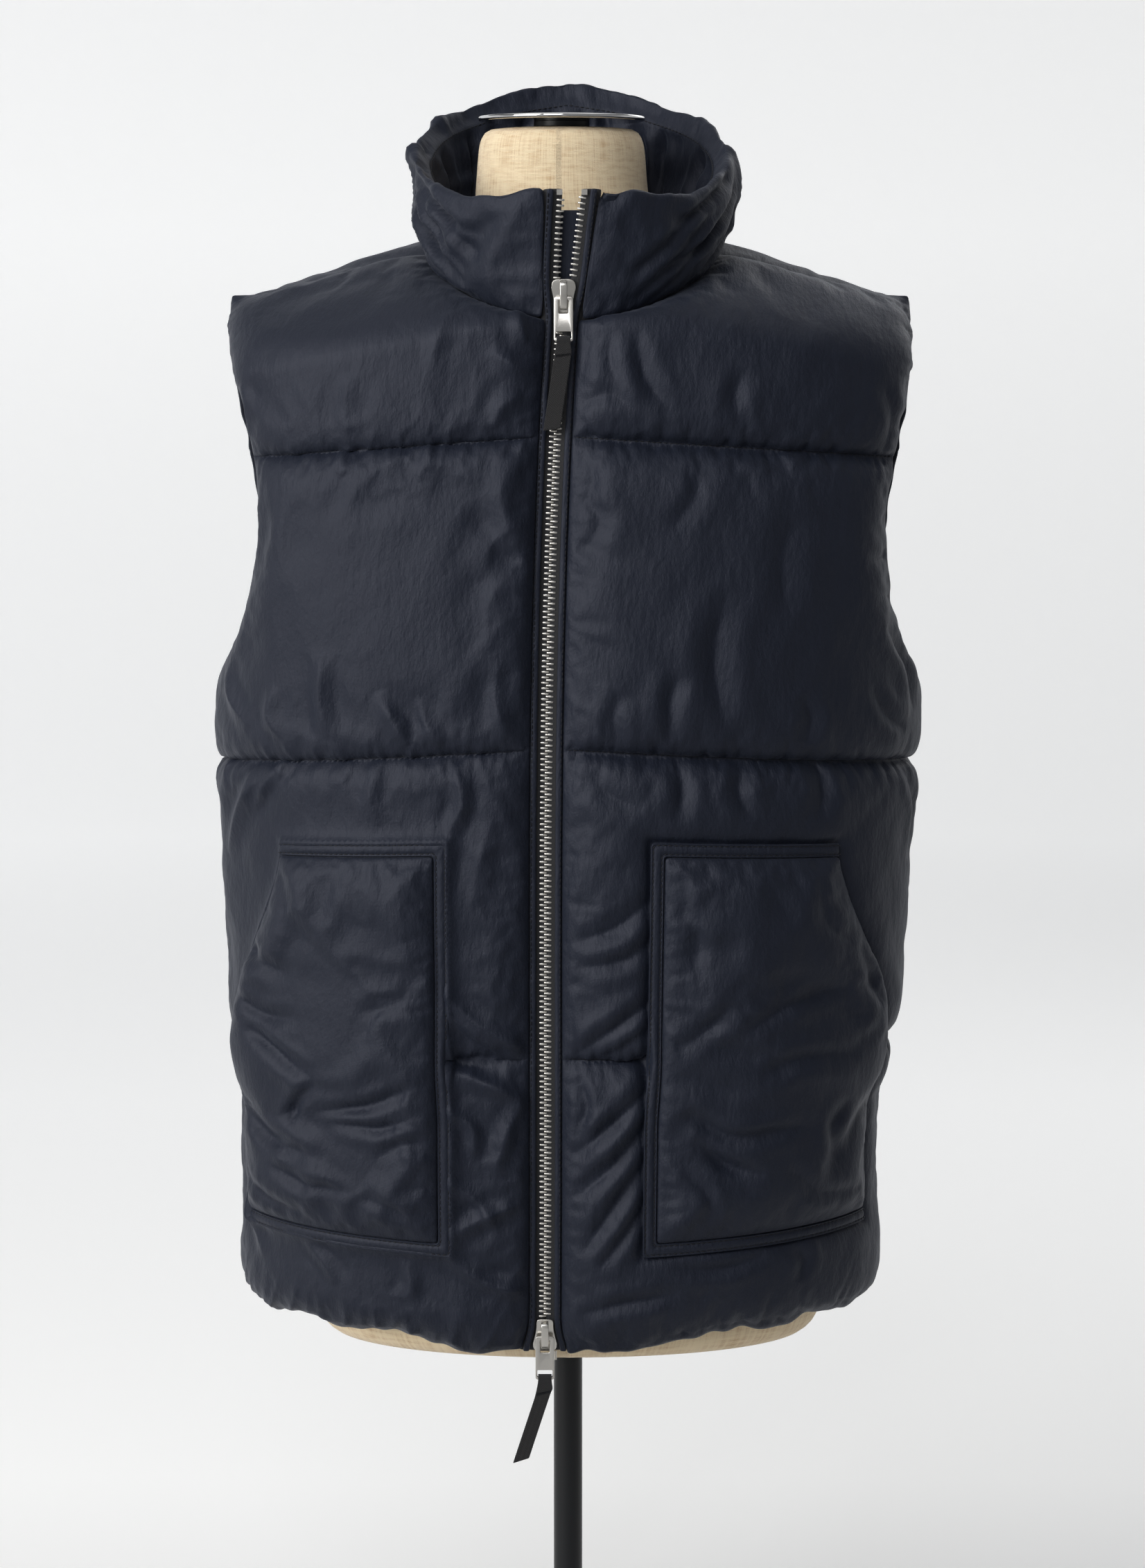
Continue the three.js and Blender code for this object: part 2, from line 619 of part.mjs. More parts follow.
function collarGrid() {
  const stations = (side, v) => {
    const first = collarFrontAngle(side, v);
    const front = FRONT_NECK_SHARES.slice(0, -1).map((share) => mix(first, SHOULDER, share));
    const back = BACK_NECK_SHARES.slice(1, -1).map((share) => mix(PI, SHOULDER, share)).reverse();
    return [...front, SHOULDER, ...back];
  };
  const grid = COLLAR_ROWS.map((v) => {
    const half = (side) => stations(side, v).map((angle, i, all) => {
      return { point: collarPoint(side, angle, v), side, angle, v, isEdge: i === 0, edgeAngle: all[0] };
    });
    const centreBack = { point: collarPoint(1, PI, v), side: 1, angle: PI, v, isEdge: false, edgeAngle: 0 };
    return [...half(-1), centreBack, ...half(1).reverse()];
  });
  addNormals(grid, (normal, r, c) => {
    const cell = grid[r][c];
    if (r === 0) {
      normal.copy(neckMitre(cell.angle));
      normal.x *= cell.side;
      const up = vec(-normal.z * normal.x, -normal.z * normal.y, normal.x ** 2 + normal.y ** 2).normalize();
      cell.lift = up.multiplyScalar(GAP);
    }
    if (cell.isEdge) normal.x = 0;
  });
  grid[0].forEach((cell) => cell.point.add(cell.lift));
  return grid;
}

function collarFullness({ v, angle, edgeAngle }) {
  const toEdge = NECK.half * (angle - edgeAngle);
  const toSeam = v * COLLAR.height;
  const toTop = (1 - v) * COLLAR.height + COLLAR.top;
  return risen(toSeam, COLLAR.rise) * risen(toTop, COLLAR.rise) * risen(toEdge, COLLAR.rise);
}

function collar() {
  const grid = collarGrid();
  const out = (cell) => PAD.seam + COLLAR.out * collarFullness(cell);
  const inside = (cell) => -PAD.seam - COLLAR.in * collarFullness(cell);
  return wall(shiftedGrid(grid, out), shiftedGrid(grid, inside));
}

// ---------------------------------------------------------------- front edge strips
const SECTIONS_ON_ZIP = FRONT_SECTIONS.filter((row) => row.z !== undefined);
const frontLine = [
  ...SECTIONS_ON_ZIP.map(({ z, depth }) => ({ z, y: SEAM_Y - depth })),
  { z: COLLAR_TOP[0].z, y: COLLAR.centreY - COLLAR.depth },
];
const frontY = track(frontLine, "z", "y");
const STRIP_HEIGHTS = [
  ZIP.bottom, 355, 362, 374, 400, 440, 500, 541, 600, 660, 738, 784, 822, 868, 905, 932, 960, 985, 1002,
  1010, 1018, 1028, 1044, 1065, ZIP.top,
];

// A strip beside the zip, between two distances from its centre line and two from the surface.
function edgeStrip(side, { inner, outer, front, back }) {
  const layer = (out) => {
    return STRIP_HEIGHTS.map((z) => {
      return [inner, outer].map((d) => vec(zipX(z) + side * (d + zipParting(z)), frontY(z) - out, z));
    });
  };
  return wall(layer(front), layer(back));
}

// ---------------------------------------------------------------- pockets
// The grid rows and columns of a front panel under a pocket.
function pocketGrid(panel) {
  const rows = panel.filter((row) => inPocketRows(row[0].level));
  return rows.map((row) => row.slice(NEAR_COLUMN, FAR_COLUMN + 1));
}

// Moves a grid's first and last rows and last column inward by a small gap, along its own edges.
function drawnIn(points, trimmed) {
  const copy = points.map((row) => row.map((p) => p.clone()));
  const toward = (p, q) => p.clone().add(q.clone().sub(p).setLength(GAP));
  const last = points.length - 1;
  copy[0] = trimmed[0].map((p, c) => toward(p, trimmed[1][c]));
  copy[last] = trimmed[last].map((p, c) => toward(p, trimmed[last - 1][c]));
  return copy.map((row) => [toward(row[0], row[1]), ...row.slice(1)]);
}

function pocketPieces(panel) {
  const cells = pocketGrid(panel);
  const [rows, columns] = [cells.length, cells[0].length];
  const under = shiftedGrid(cells, (cell) => panelOut(cell) + GAP);
  const trimTop = shiftedGrid(cells, (cell) => panelOut(cell) + GAP + POCKET.trimThick);
  const isTrim = (r, c) => r === 0 || r === rows - 2 || c === 0;
  const trim = wall(trimTop, under, isTrim);
  const body = (points) => points.slice(1, -1).map((row) => row.slice(1));
  const inner = body(under);
  const outer = body(cells).map((row, r, all) => {
    return row.map((cell, c) => {
      const across = cells[r + 1][columns - 1].toStart - cells[r + 1][1].toStart;
      const toNear = cell.toStart - row[0].toStart;
      const toSide = min(toNear, across - toNear);
      const toEnds = min(cell.level - all[0][0].level, all.at(-1)[0].level - cell.level);
      const full = risen(toSide) * risen(toEnds);
      return shifted(cell, panelOut(cell) + GAP + POCKET.edge + POCKET.full * full);
    });
  });
  return { trim, body: wall(drawnIn(outer, outer), drawnIn(inner, inner)) };
}

// ---------------------------------------------------------------- dress form, pole and base
function formRing({ z, half, front, back, square }) {
  const power = 2 / square;
  const lean = FORM.x + FORM.neckLean * smooth((z - FORM.leanFrom) / 40);
  return Array.from({ length: FORM.sides }, (_, i) => {
    const angle = (2 * PI * i) / FORM.sides;
    const y = signedPower(-cos(angle), power);
    return vec(lean + half * signedPower(sin(angle), power), y * (y < 0 ? front : back), z);
  });
}

function turned(profile, sides) {
  const points = profile.map(([radius, z]) => new THREE.Vector2(radius, z));
  return new THREE.LatheGeometry(points, sides).rotateX(PI / 2);
}

function neckPlate() {
  const bottom = FORM_SECTIONS.at(-1).z + GAP;
  const low = bottom + NECK_PLATE.lift;
  const high = low + NECK_PLATE.thick;
  const { radius, bevel, bossRadius, sides } = NECK_PLATE;
  const profile = [
    [0, bottom],
    [bossRadius, bottom],
    [bossRadius, low],
    [radius - bevel, low],
    [radius, low + bevel],
    [radius, high - bevel],
    [radius - bevel, high],
    [0, high],
  ];
  return turned(profile, sides).translate(FORM.x + FORM.neckLean, 0, 0);
}

function base() {
  const { radius, thick, chamfer, hubRadius, hubHeight, sides } = BASE;
  const bore = POLE.radius + GAP;
  const profile = [
    [0, 0],
    [radius - chamfer, 0],
    [radius, chamfer],
    [radius, thick - chamfer],
    [radius - chamfer, thick],
    [hubRadius, thick],
    [hubRadius, hubHeight - chamfer],
    [hubRadius - chamfer, hubHeight],
    [bore, hubHeight],
    [bore, thick],
    [0, thick],
  ];
  return turned(profile, sides);
}

function pole() {
  const bottom = BASE.thick + GAP;
  const length = FORM_SECTIONS[0].z - GAP - bottom;
  const geometry = new THREE.CylinderGeometry(POLE.radius, POLE.radius, length, POLE.sides);
  return geometry.rotateX(PI / 2).translate(0, 0, bottom + length / 2);
}

// ---------------------------------------------------------------- zip sliders and their pulls
// Slider parts are drawn with u across, v up and w outwards from the garment.
const facingFront = new THREE.Matrix4().makeBasis(vec(1, 0, 0), vec(0, 0, 1), vec(0, -1, 0));
const facingSide = new THREE.Matrix4().makeBasis(vec(0, -1, 0), vec(0, 0, 1), vec(-1, 0, 0));

function outline(points) {
  return new THREE.Shape(points.map(([x, y]) => new THREE.Vector2(x, y)));
}

function rectangle(left, right, low, high) {
  return [[left, low], [right, low], [right, high], [left, high]];
}

const FLAT_SIDED = { bevelEnabled: false, curveSegments: 8 };

// Extrudes a front outline from one height above the surface to another.
function plateOf(shape, low, high) {
  const geometry = new THREE.ExtrudeGeometry(shape, { ...FLAT_SIDED, depth: high - low });
  return geometry.translate(0, 0, low).applyMatrix4(facingFront);
}

// Extrudes a side outline (outwards, up) over a width centred on the zip.
function barOf(shape, width) {
  const geometry = new THREE.ExtrudeGeometry(shape, { ...FLAT_SIDED, depth: width });
  return geometry.translate(0, 0, -width / 2).applyMatrix4(facingSide);
}

const TAPE_MIDDLE = (TAPE.front + TAPE.back) / 2;
const SLOT = { low: TAPE_MIDDLE - SLIDER.slot / 2, high: TAPE_MIDDLE + SLIDER.slot / 2 };
const FRONT_PLATE = { low: SLOT.high, high: SLOT.high + SLIDER.plate };
const BACK_PLATE = { low: SLOT.low - SLIDER.plate, high: SLOT.low };

function sliderOutline(mouthUp) {
  const [wide, narrow, half] = [SLIDER.shoulder / 2, SLIDER.neck / 2, SLIDER.length / 2];
  const oneSide = [
    [narrow - 1, -half],
    [narrow, -half + 1.4],
    [narrow + 0.2, -half / 3],
    [wide - 0.8, half * 0.3],
    [wide, half * 0.55],
    [wide - 0.7, half - 1.6],
    [wide - 2.6, half],
  ];
  const points = [...oneSide, ...oneSide.map(([x, y]) => [-x, y]).reverse()];
  return outline(points.map(([x, y]) => [x, y * mouthUp]));
}

function bailOutline() {
  const { low, high, thick, foot } = BAIL;
  const inside = PULL_OUT + sqrt(PULL.bar ** 2 + PULL.thick ** 2) / 2 + GAP;
  const top = inside + thick;
  const seat = FRONT_PLATE.high - SLIDER.plate / 2;
  return outline([
    [seat, low], [top - 1.6, low], [top, low + 1.8], [top, high - 1.8], [top - 1.6, high], [seat, high],
    [seat, high - foot], [inside - 0.8, high - foot], [inside, high - foot - 0.8],
    [inside, low + foot + 0.8], [inside - 0.8, low + foot], [seat, low + foot],
  ]);
}

function sliderBody(mouthUp) {
  const { postRadius, slot, plate } = SLIDER;
  const post = new THREE.CylinderGeometry(postRadius, postRadius, slot + plate, 10);
  post.translate(0, -TAPE_MIDDLE, SLIDER.postUp * mouthUp);
  return joined(
    plateOf(sliderOutline(mouthUp), FRONT_PLATE.low, FRONT_PLATE.high),
    plateOf(sliderOutline(mouthUp), BACK_PLATE.low, BACK_PLATE.high),
    post,
    barOf(bailOutline(), BAIL.width),
  );
}

// The pull tab, drawn with its hinge axis at the origin.
function pullTab() {
  const { width, reach, thick, bar, slotWidth, slotLength, eyeWidth, eyeLength } = PULL;
  const [half, low, corner] = [width / 2, -reach - bar / 2, 1.6];
  const shape = outline([
    [-half, low + corner], [-half + corner, low], [half - corner, low], [half, low + corner],
    [half, bar / 2 - 0.6], [half - 0.6, bar / 2], [-half + 0.6, bar / 2], [-half, bar / 2 - 0.6],
  ]);
  const slotTop = -bar / 2;
  const eyeLow = low + bar;
  shape.holes.push(outline(rectangle(-slotWidth / 2, slotWidth / 2, slotTop - slotLength, slotTop)));
  shape.holes.push(outline(rectangle(-eyeWidth / 2, eyeWidth / 2, eyeLow, eyeLow + eyeLength)));
  return plateOf(shape, -thick / 2, thick / 2);
}

// The webbing, drawn with the tab's lower bar at the origin: a loop round the bar, and two layers
// below it that lean sideways.
function webbing(lean) {
  const { width, loopWidth, length, thick, loopRadius, holeRadius, neck } = WEBBING;
  const loop = new THREE.Shape();
  loop.moveTo(-thick / 2, -neck);
  loop.lineTo(thick / 2, -neck);
  loop.lineTo(loopRadius * cos(0.35), -loopRadius * sin(0.35));
  loop.absarc(0, 0, loopRadius, -0.35, PI + 0.35, false);
  loop.holes.push(new THREE.Path().absarc(0, 0, holeRadius, 0, 2 * PI, true));
  const flat = barOf(outline(rectangle(-thick / 2, thick / 2, neck - length, 1)), width);
  flat.rotateY(radians(-lean)).translate(0, 0, 1 - neck);
  return joined(barOf(loop, loopWidth), flat);
}

// Slider, pull and webbing placed on the zip. Each is a mesh in a group at the hinge.
function zipPull(name, { z, webbingLean, hangOut, mouthUp }) {
  const onZip = new THREE.Group();
  onZip.position.set(zipX(z), frontY(z), z);
  const reach = SLIDER.length / 2;
  const lean = atan2(frontY(z - reach) - frontY(z + reach), SLIDER.length);
  onZip.rotation.x = lean;
  const slider = mesh(`slider_${name}`, sliderBody(mouthUp), "metal");
  const hanging = new THREE.Group();
  hanging.position.y = -PULL_OUT;
  hanging.rotation.x = radians(-hangOut) - lean;
  const tab = mesh(`pull_${name}`, pullTab(), "metal");
  const strap = mesh(`webbing_${name}`, webbing(webbingLean), "webbing");
  strap.position.z = -PULL.reach;
  hanging.add(tab, strap);
  onZip.add(slider, hanging);
  return onZip;
}

// A stop sits on the front of each tape at its top end.
function topStop(side) {
  const { width, height, thick } = STOP;
  const z = ZIP.top - height / 2 - 0.5;
  const x = zipX(z) + side * (TAPE.inner + zipParting(z) + width / 2);
  const geometry = new THREE.BoxGeometry(width, thick, height);
  return geometry.translate(x, frontY(z) - TAPE.front - GAP - thick / 2, z);
}

function insertionPin() {
  const z = ZIP.bottom - PIN.length / 2;
  const x = zipX(z) + TAPE.inner + PIN.x + zipParting(z);
  const geometry = new THREE.CylinderGeometry(PIN.radius, PIN.radius, PIN.length, 10);
  return geometry.rotateX(PI / 2).translate(x, frontY(z) - TAPE_MIDDLE, z - GAP);
}

// ---------------------------------------------------------------- the whole object
function finish(color, roughness, metalness = 0) {
  return new THREE.MeshStandardMaterial({ color, roughness, metalness });
}
const FINISHES = {
  shell: finish("#2b2d36", 0.5),
  webbing: finish("#2a2929", 0.75),
  tape: finish("#1c1c1f", 0.8),
  metal: finish("#bdbbb6", 0.3, 1),
  chrome: finish("#d8d8d8", 0.12, 1),
  linen: finish("#d1c1ac", 0.9),
  pole: finish("#23262a", 0.4, 0.5),
};

function mesh(name, geometry, slot) {
  const solid = new THREE.Mesh(geometry, FINISHES[slot]);
  solid.name = name;
  return solid;
}

const object = new THREE.Group();
const pieces = [
  mesh("back", backPanel(), "shell"),
  mesh("collar", collar(), "shell"),
  mesh("torso", loft(FORM_SECTIONS.map(formRing)), "linen"),
  mesh("neck_plate", neckPlate(), "chrome"),
  mesh("pole", pole(), "pole"),
  mesh("base", base(), "pole"),
  mesh("zip_pin", insertionPin(), "metal"),
];
Object.entries({ left: -1, right: 1 }).forEach(([name, side]) => {
  const { trim, body } = pocketPieces(frontGrids[name]);
  pieces.push(
    mesh(`front_${name}`, frontPanel(frontGrids[name]), "shell"),
    mesh(`placket_${name}`, edgeStrip(side, PLACKET), "shell"),
    mesh(`zip_tape_${name}`, edgeStrip(side, TAPE), "tape"),
    mesh(`pocket_${name}`, body, "shell"),
    mesh(`pocket_trim_${name}`, trim, "shell"),
    mesh(`stop_${name}`, topStop(side), "metal"),
  );
});
Object.entries(SLIDERS).forEach(([name, place]) => pieces.push(zipPull(name, place)));
object.add(...pieces);

export default object;
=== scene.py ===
"""A padded vest with a two-way zip on a linen-covered dress form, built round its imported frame.

Tables are in millimetres and degrees, and finished meshes are in metres. +Z is up and the front
faces -Y. A side is -1 for the left half and +1 for the right half, as seen from the front.
"""

from __future__ import annotations

import logging
import math
from dataclasses import dataclass
from enum import Enum
from typing import Any, Callable, Mapping, NamedTuple, Sequence

import bmesh
import bpy
import numpy as np
from mathutils import Matrix, Vector
from mathutils.geometry import delaunay_2d_cdt


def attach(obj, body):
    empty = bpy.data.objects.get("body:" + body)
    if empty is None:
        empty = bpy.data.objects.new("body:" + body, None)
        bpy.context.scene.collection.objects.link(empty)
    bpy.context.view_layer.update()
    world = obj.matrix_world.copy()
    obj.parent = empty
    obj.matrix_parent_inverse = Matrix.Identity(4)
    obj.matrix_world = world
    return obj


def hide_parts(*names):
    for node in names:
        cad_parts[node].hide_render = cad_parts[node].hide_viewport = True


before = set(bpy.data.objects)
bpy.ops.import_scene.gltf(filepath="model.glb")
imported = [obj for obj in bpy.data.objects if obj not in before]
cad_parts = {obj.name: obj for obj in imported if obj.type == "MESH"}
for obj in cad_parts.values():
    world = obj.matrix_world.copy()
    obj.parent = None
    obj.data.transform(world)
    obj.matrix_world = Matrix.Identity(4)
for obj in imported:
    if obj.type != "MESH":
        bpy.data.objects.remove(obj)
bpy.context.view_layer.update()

LOG = logging.getLogger("vest")
MM = 0.001
SEED = 75
Array = np.ndarray
Curve = Callable[[Any], Any]


class Body(Enum):
    """The rigid bodies that pieces ride on."""

    MAIN = "vest_on_form"
    TOP_PULL = "top_pull"
    BOTTOM_PULL = "bottom_pull"


class Slot(Enum):
    """The record's material slots."""

    SHELL = "shell"
    TAPE = "tape"
    WEBBING = "webbing"
    ZIP_METAL = "zip_metal"
    LINEN = "linen"
    CHROME = "chrome"
    STAND = "stand"


# ------------------------------------------------------------------ sizes of the garment
GAP = 0.4  # between pieces that are sewn, laid or fitted together
SEAM_Y = 3.0  # the plane of the side seams and the shoulder seams
HEM = 362.0
UNDERARM = 786.0
TIP = 1014.0  # the level of the shoulder seam's outer end
QUILT_LEVELS = (541.0, 720.0, 918.0)
PANEL_EDGE = 10.4  # from the zip's centre line to the padded panels
PANEL_REACH = 290.0


@dataclass(frozen=True)
class Padding:
    """Half thickness at a seam, fullness outside and inside, and how fast it rises from each seam."""

    seam: float = 1.5
    out: float = 12.0
    inside: float = 5.0
    rise: float = 11.0
    quilting: float = 8.0
    hem: float = 4.0
    shoulder: float = 1.6


class Section(NamedTuple):
    """A level curve: its height at the side seam and at the zip or centre back, and its plan."""

    level: float
    z: float
    half: float
    depth: float
    square: float


# The last rows start on the neck seam, so their z and depth aren't used.
FRONT_SECTIONS = (
    Section(362, 349, 199, 121, 2.3),
    Section(384, 373, 201, 128, 2.3),
    Section(448, 440, 198, 133, 2.3),
    Section(500, 497, 198, 135, 2.3),
    Section(541, 542, 210, 136, 2.3),
    Section(566, 569, 210, 136, 2.3),
    Section(632, 641, 213, 137, 2.3),
    Section(690, 704, 216, 137, 2.3),
    Section(720, 738, 222, 137, 2.3),
    Section(743, 761, 219, 136, 2.35),
    Section(786, 805, 218, 135, 2.4),
    Section(850, 868, 223, 130, 2.5),
    Section(918, 932, 226, 124, 2.5),
    Section(966, 1004, 226, 114.5, 2.5),
    Section(990, math.nan, 224, math.nan, 2.5),
    Section(1014, math.nan, 217, math.nan, 2.5),
)
BACK_SECTIONS = (
    Section(362, 356, 199, 112, 2.3),
    Section(384, 380, 201, 118, 2.3),
    Section(448, 446, 198, 118, 2.3),
    Section(500, 499, 198, 118, 2.3),
    Section(541, 542, 210, 118, 2.3),
    Section(566, 568, 210, 117, 2.3),
    Section(632, 635, 213, 117, 2.3),
    Section(690, 695, 216, 117, 2.3),
    Section(720, 726, 222, 117, 2.3),
    Section(743, 750, 219, 117, 2.35),
    Section(786, 797, 218, 118, 2.4),
    Section(850, 864, 226, 120, 2.5),
    Section(918, 936, 234, 119, 2.5),
    Section(954, 990, 233, 112, 2.5),
    Section(984, 1056, 227, 85, 2.5),
    Section(1014, math.nan, 217, math.nan, 2.5),
)
ZIP_PARTING = ((348, 4.2), (355, 3.2), (363, 1), (375, 0), (1002, 0), (1028, 3.4), (1086, 5.6))
SWAY = ((349, -4), (460, -7), (600, -1.5), (780, 0.5), (920, 4), (1014, 1.5), (1085, 3), (1160, -1))
NECK_MITRE = ((0, 0), (45, 0.4), (98.6, 0.72), (140, 0.5), (180, 0.25))
COLLAR_TOP = (
    (0, 1085),
    (40, 1081),
    (70, 1096),
    (90, 1111),
    (120, 1133),
    (140, 1144),
    (160, 1154),
    (180, 1160),
)


@dataclass(frozen=True)
class ZipLine:
    """The zip's centre line leans a little along its length."""

    low_x: float = -14.0
    drift: float = 17.0
    level_z: float = 540.0
    reach: float = 546.0
    bottom: float = 350.0
    top: float = 1085.0

    def x(self, z: Any) -> Any:
        """Give the centre line's x at a height."""
        return self.low_x + self.drift * ((z - self.level_z) / self.reach) ** 3


@dataclass(frozen=True)
class NeckSeam:
    """An ellipse seen from above, low in front and high behind."""

    half: float = 87.0
    centre_y: float = -12.0
    depth: float = 100.0
    back_z: float = 1056.0
    drop: float = 52.0
    shoulder: float = math.radians(98.6)

    def point(self, angle: Any) -> Array:
        """Give points of the seam by their angle from the front, with x outwards."""
        y = self.centre_y - self.depth * np.cos(angle)
        fall = (self.centre_y + self.depth - y) / (2 * self.depth)
        return np.stack([self.half * np.sin(angle), y, self.back_z - self.drop * fall**2], -1)


# ------------------------------------------------------------------ curves and distances
def track(xs: Sequence[float], ys: Sequence[float]) -> Curve:
    """Draw a smooth curve through a table's points without overshooting them.

    Args:
        xs: Rising places.
        ys: The value at each place.

    Returns:
        A function that reads the curve at any place or array of places.
    """
    x, y = np.array(xs, float), np.array(ys, float)
    chord = np.diff(y) / np.diff(x)
    before, after = chord[:-1], chord[1:]
    same_way = before * after > 0
    total = np.where(same_way, before + after, 1.0)
    slope = np.concatenate([chord[:1], np.where(same_way, 2 * before * after / total, 0), chord[-1:]])

    def read(at: Any) -> Any:
        place = np.clip(at, x[0], x[-1])
        i = np.clip(np.searchsorted(x, place, side="right") - 1, 0, len(x) - 2)
        span = x[i + 1] - x[i]
        t = (place - x[i]) / span
        ends = (2 * t**3 - 3 * t**2 + 1) * y[i] + (3 * t**2 - 2 * t**3) * y[i + 1]
        return ends + span * ((t**3 - 2 * t**2 + t) * slope[i] + (t**3 - t**2) * slope[i + 1])

    return read


def pairs(table: Sequence[tuple[float, float]]) -> Curve:
    """Draw a smooth curve through a table of (place, value) rows."""
    return track([row[0] for row in table], [row[1] for row in table])


def signed_power(value: Any, power: float) -> Any:
    """Raise a value to a power and keep its sign."""
    return np.sign(value) * np.abs(value) ** power


def mix(a: Any, b: Any, t: Any) -> Any:
    """Blend from a to b as t goes from 0 to 1."""
    return a + (b - a) * t


def smooth(t: Any) -> Any:
    """Ease from 0 to 1 with level ends."""
    t = np.clip(t, 0, 1)
    return t * t * (3 - 2 * t)


def unit(vectors: Array) -> Array:
    """Scale vectors to a length of one."""
    return vectors / np.maximum(np.linalg.norm(vectors, axis=-1, keepdims=True), 1e-12)


def running(points: Array) -> Array:
    """Give the distance along a chain of points, from its first."""
    return np.concatenate([[0.0], np.cumsum(np.linalg.norm(np.diff(points, axis=0), axis=1))])


def spaced(points: Array, spacing: float) -> Array:
    """Share out points evenly along a chain, at about the given spacing."""
    lengths = running(points)
    places = np.linspace(0, lengths[-1], max(2, round(lengths[-1] / spacing) + 1))
    return np.stack([np.interp(places, lengths, points[:, k]) for k in range(points.shape[1])], 1)


def to_line(points: Array, line: Array) -> Array:
    """Measure each flat point's distance to a chain of points."""
    best = np.full(len(points), 1e9)
    for a, b in zip(line[:-1], line[1:]):
        along = b - a
        t = np.clip(((points - a) @ along) / max(float(along @ along), 1e-12), 0, 1)
        best = np.minimum(best, np.linalg.norm(points - a - t[:, None] * along, axis=1))
    return best


def inside(points: Array, polygon: Array) -> Array:
    """Tell which flat points lie inside a polygon."""
    found = np.zeros(len(points), bool)
    for a, b in zip(polygon, np.roll(polygon, -1, axis=0)):
        if a[1] == b[1]:
            continue
        spans = (a[1] > points[:, 1]) != (b[1] > points[:, 1])
        cross = a[0] + (points[:, 1] - a[1]) * (b[0] - a[0]) / (b[1] - a[1])
        found ^= spans & (points[:, 0] < cross)
    return found


PAD = Padding()
ZIP = ZipLine()
NECK = NeckSeam()
zip_parting = pairs(ZIP_PARTING)
sway_x = pairs(SWAY)
mitre_rise = pairs(NECK_MITRE)
collar_top_z = pairs(COLLAR_TOP)


def risen(distance: Any, rise: float = PAD.rise) -> Any:
    """Say how full the padding is at a distance from a seam, from 0 to 1."""
    return 1 - np.exp(-np.maximum(0, distance) / rise)


def front_edge_x(side: int, z: Any) -> Any:
    """Give the distance of the padded front edge from the garment's middle."""
    return side * (ZIP.x(z) - sway_x(z)) + PANEL_EDGE + zip_parting(z)


def placed(side: int, points: Array) -> Array:
    """Turn points measured from the garment's middle, with x outwards, into their places."""
    out, y, z = points[..., 0], points[..., 1], points[..., 2]
    return np.stack([side * out + sway_x(z), y, z], -1)


def neck_mitre(side: int, angle: float) -> Array:
    """Give the direction of the sewn edges' thickness at a point of the neck seam."""
    outward = unit(np.array([math.sin(angle) / NECK.half, -math.cos(angle) / NECK.depth, 0.0]))
    if abs(angle - NECK.shoulder) < 1e-9:
        outward = np.array([1.0, 0.0, 0.0])
    outward[2] = float(mitre_rise(math.degrees(angle)))
    return unit(outward * np.array([side, 1, 1]))


# ------------------------------------------------------------------ meshes
def mesh_object(
    name: str,
    points: Array,
    faces: Sequence[Sequence[int]],
    material: bpy.types.Material,
    uv: Array | None = None,
    creases: Mapping[tuple[int, int], float] | None = None,
) -> bpy.types.Object:
    """Make a smooth-shaded mesh object from points in millimetres.

    Args:
        name: The piece's name.
        points: Its points, in millimetres.
        faces: Its faces as lists of point numbers, facing out.
        material: Its finish.
        uv: A place on the cloth for each point, in millimetres.
        creases: How sharp some edges stay under subdivision.

    Returns:
        The object, linked to the scene, with its place in its mesh.
    """
    mesh = bpy.data.meshes.new(name)
    mesh.from_pydata((np.asarray(points) * MM).tolist(), [], [list(map(int, f)) for f in faces])
    if uv is not None:
        layer = mesh.uv_layers.new(name="cloth")
        corner = np.zeros(len(mesh.loops), np.int32)
        mesh.loops.foreach_get("vertex_index", corner)
        layer.data.foreach_set("uv", (uv[corner] * MM).ravel())
    if creases:
        ends = np.zeros(len(mesh.edges) * 2, np.int32)
        mesh.edges.foreach_get("vertices", ends)
        keys = map(tuple, np.sort(ends.reshape(-1, 2), axis=1).tolist())
        sharp = [creases.get(key, 0.0) for key in keys]
        mesh.attributes.new("crease_edge", "FLOAT", "EDGE").data.foreach_set("value", sharp)
    mesh.shade_smooth()
    mesh.materials.append(material)
    obj = bpy.data.objects.new(name, mesh)
    bpy.context.scene.collection.objects.link(obj)
    return obj


def made_plain(obj: bpy.types.Object) -> bpy.types.Object:
    """Turn an object and its modifiers into a plain mesh with the same name."""
    name = obj.name
    bench = bpy.data.scenes.new("bench")
    bench.collection.objects.link(obj)
    layer = bench.view_layers[0]
    layer.update()
    mesh = bpy.data.meshes.new_from_object(obj.evaluated_get(layer.depsgraph))
    bpy.data.objects.remove(obj)
    bpy.data.scenes.remove(bench)
    plain = bpy.data.objects.new(name, mesh)
    mesh.name = name
    bpy.context.scene.collection.objects.link(plain)
    return plain


def with_modifier(obj: bpy.types.Object, kind: str, **settings: Any) -> bpy.types.Object:
    """Add one modifier with its settings."""
    modifier = obj.modifiers.new(kind.lower(), kind)
    for key, value in settings.items():
        setattr(modifier, key, value)
    return obj


def subdivided(obj: bpy.types.Object) -> bpy.types.Object:
    """Apply one level of subdivision."""
    return made_plain(with_modifier(obj, "SUBSURF", levels=1, render_levels=1))


def coordinates(mesh: bpy.types.Mesh) -> Array:
    """Read a mesh's points, in millimetres."""
    flat = np.zeros(len(mesh.vertices) * 3)
    mesh.vertices.foreach_get("co", flat)
    return flat.reshape(-1, 3) / MM


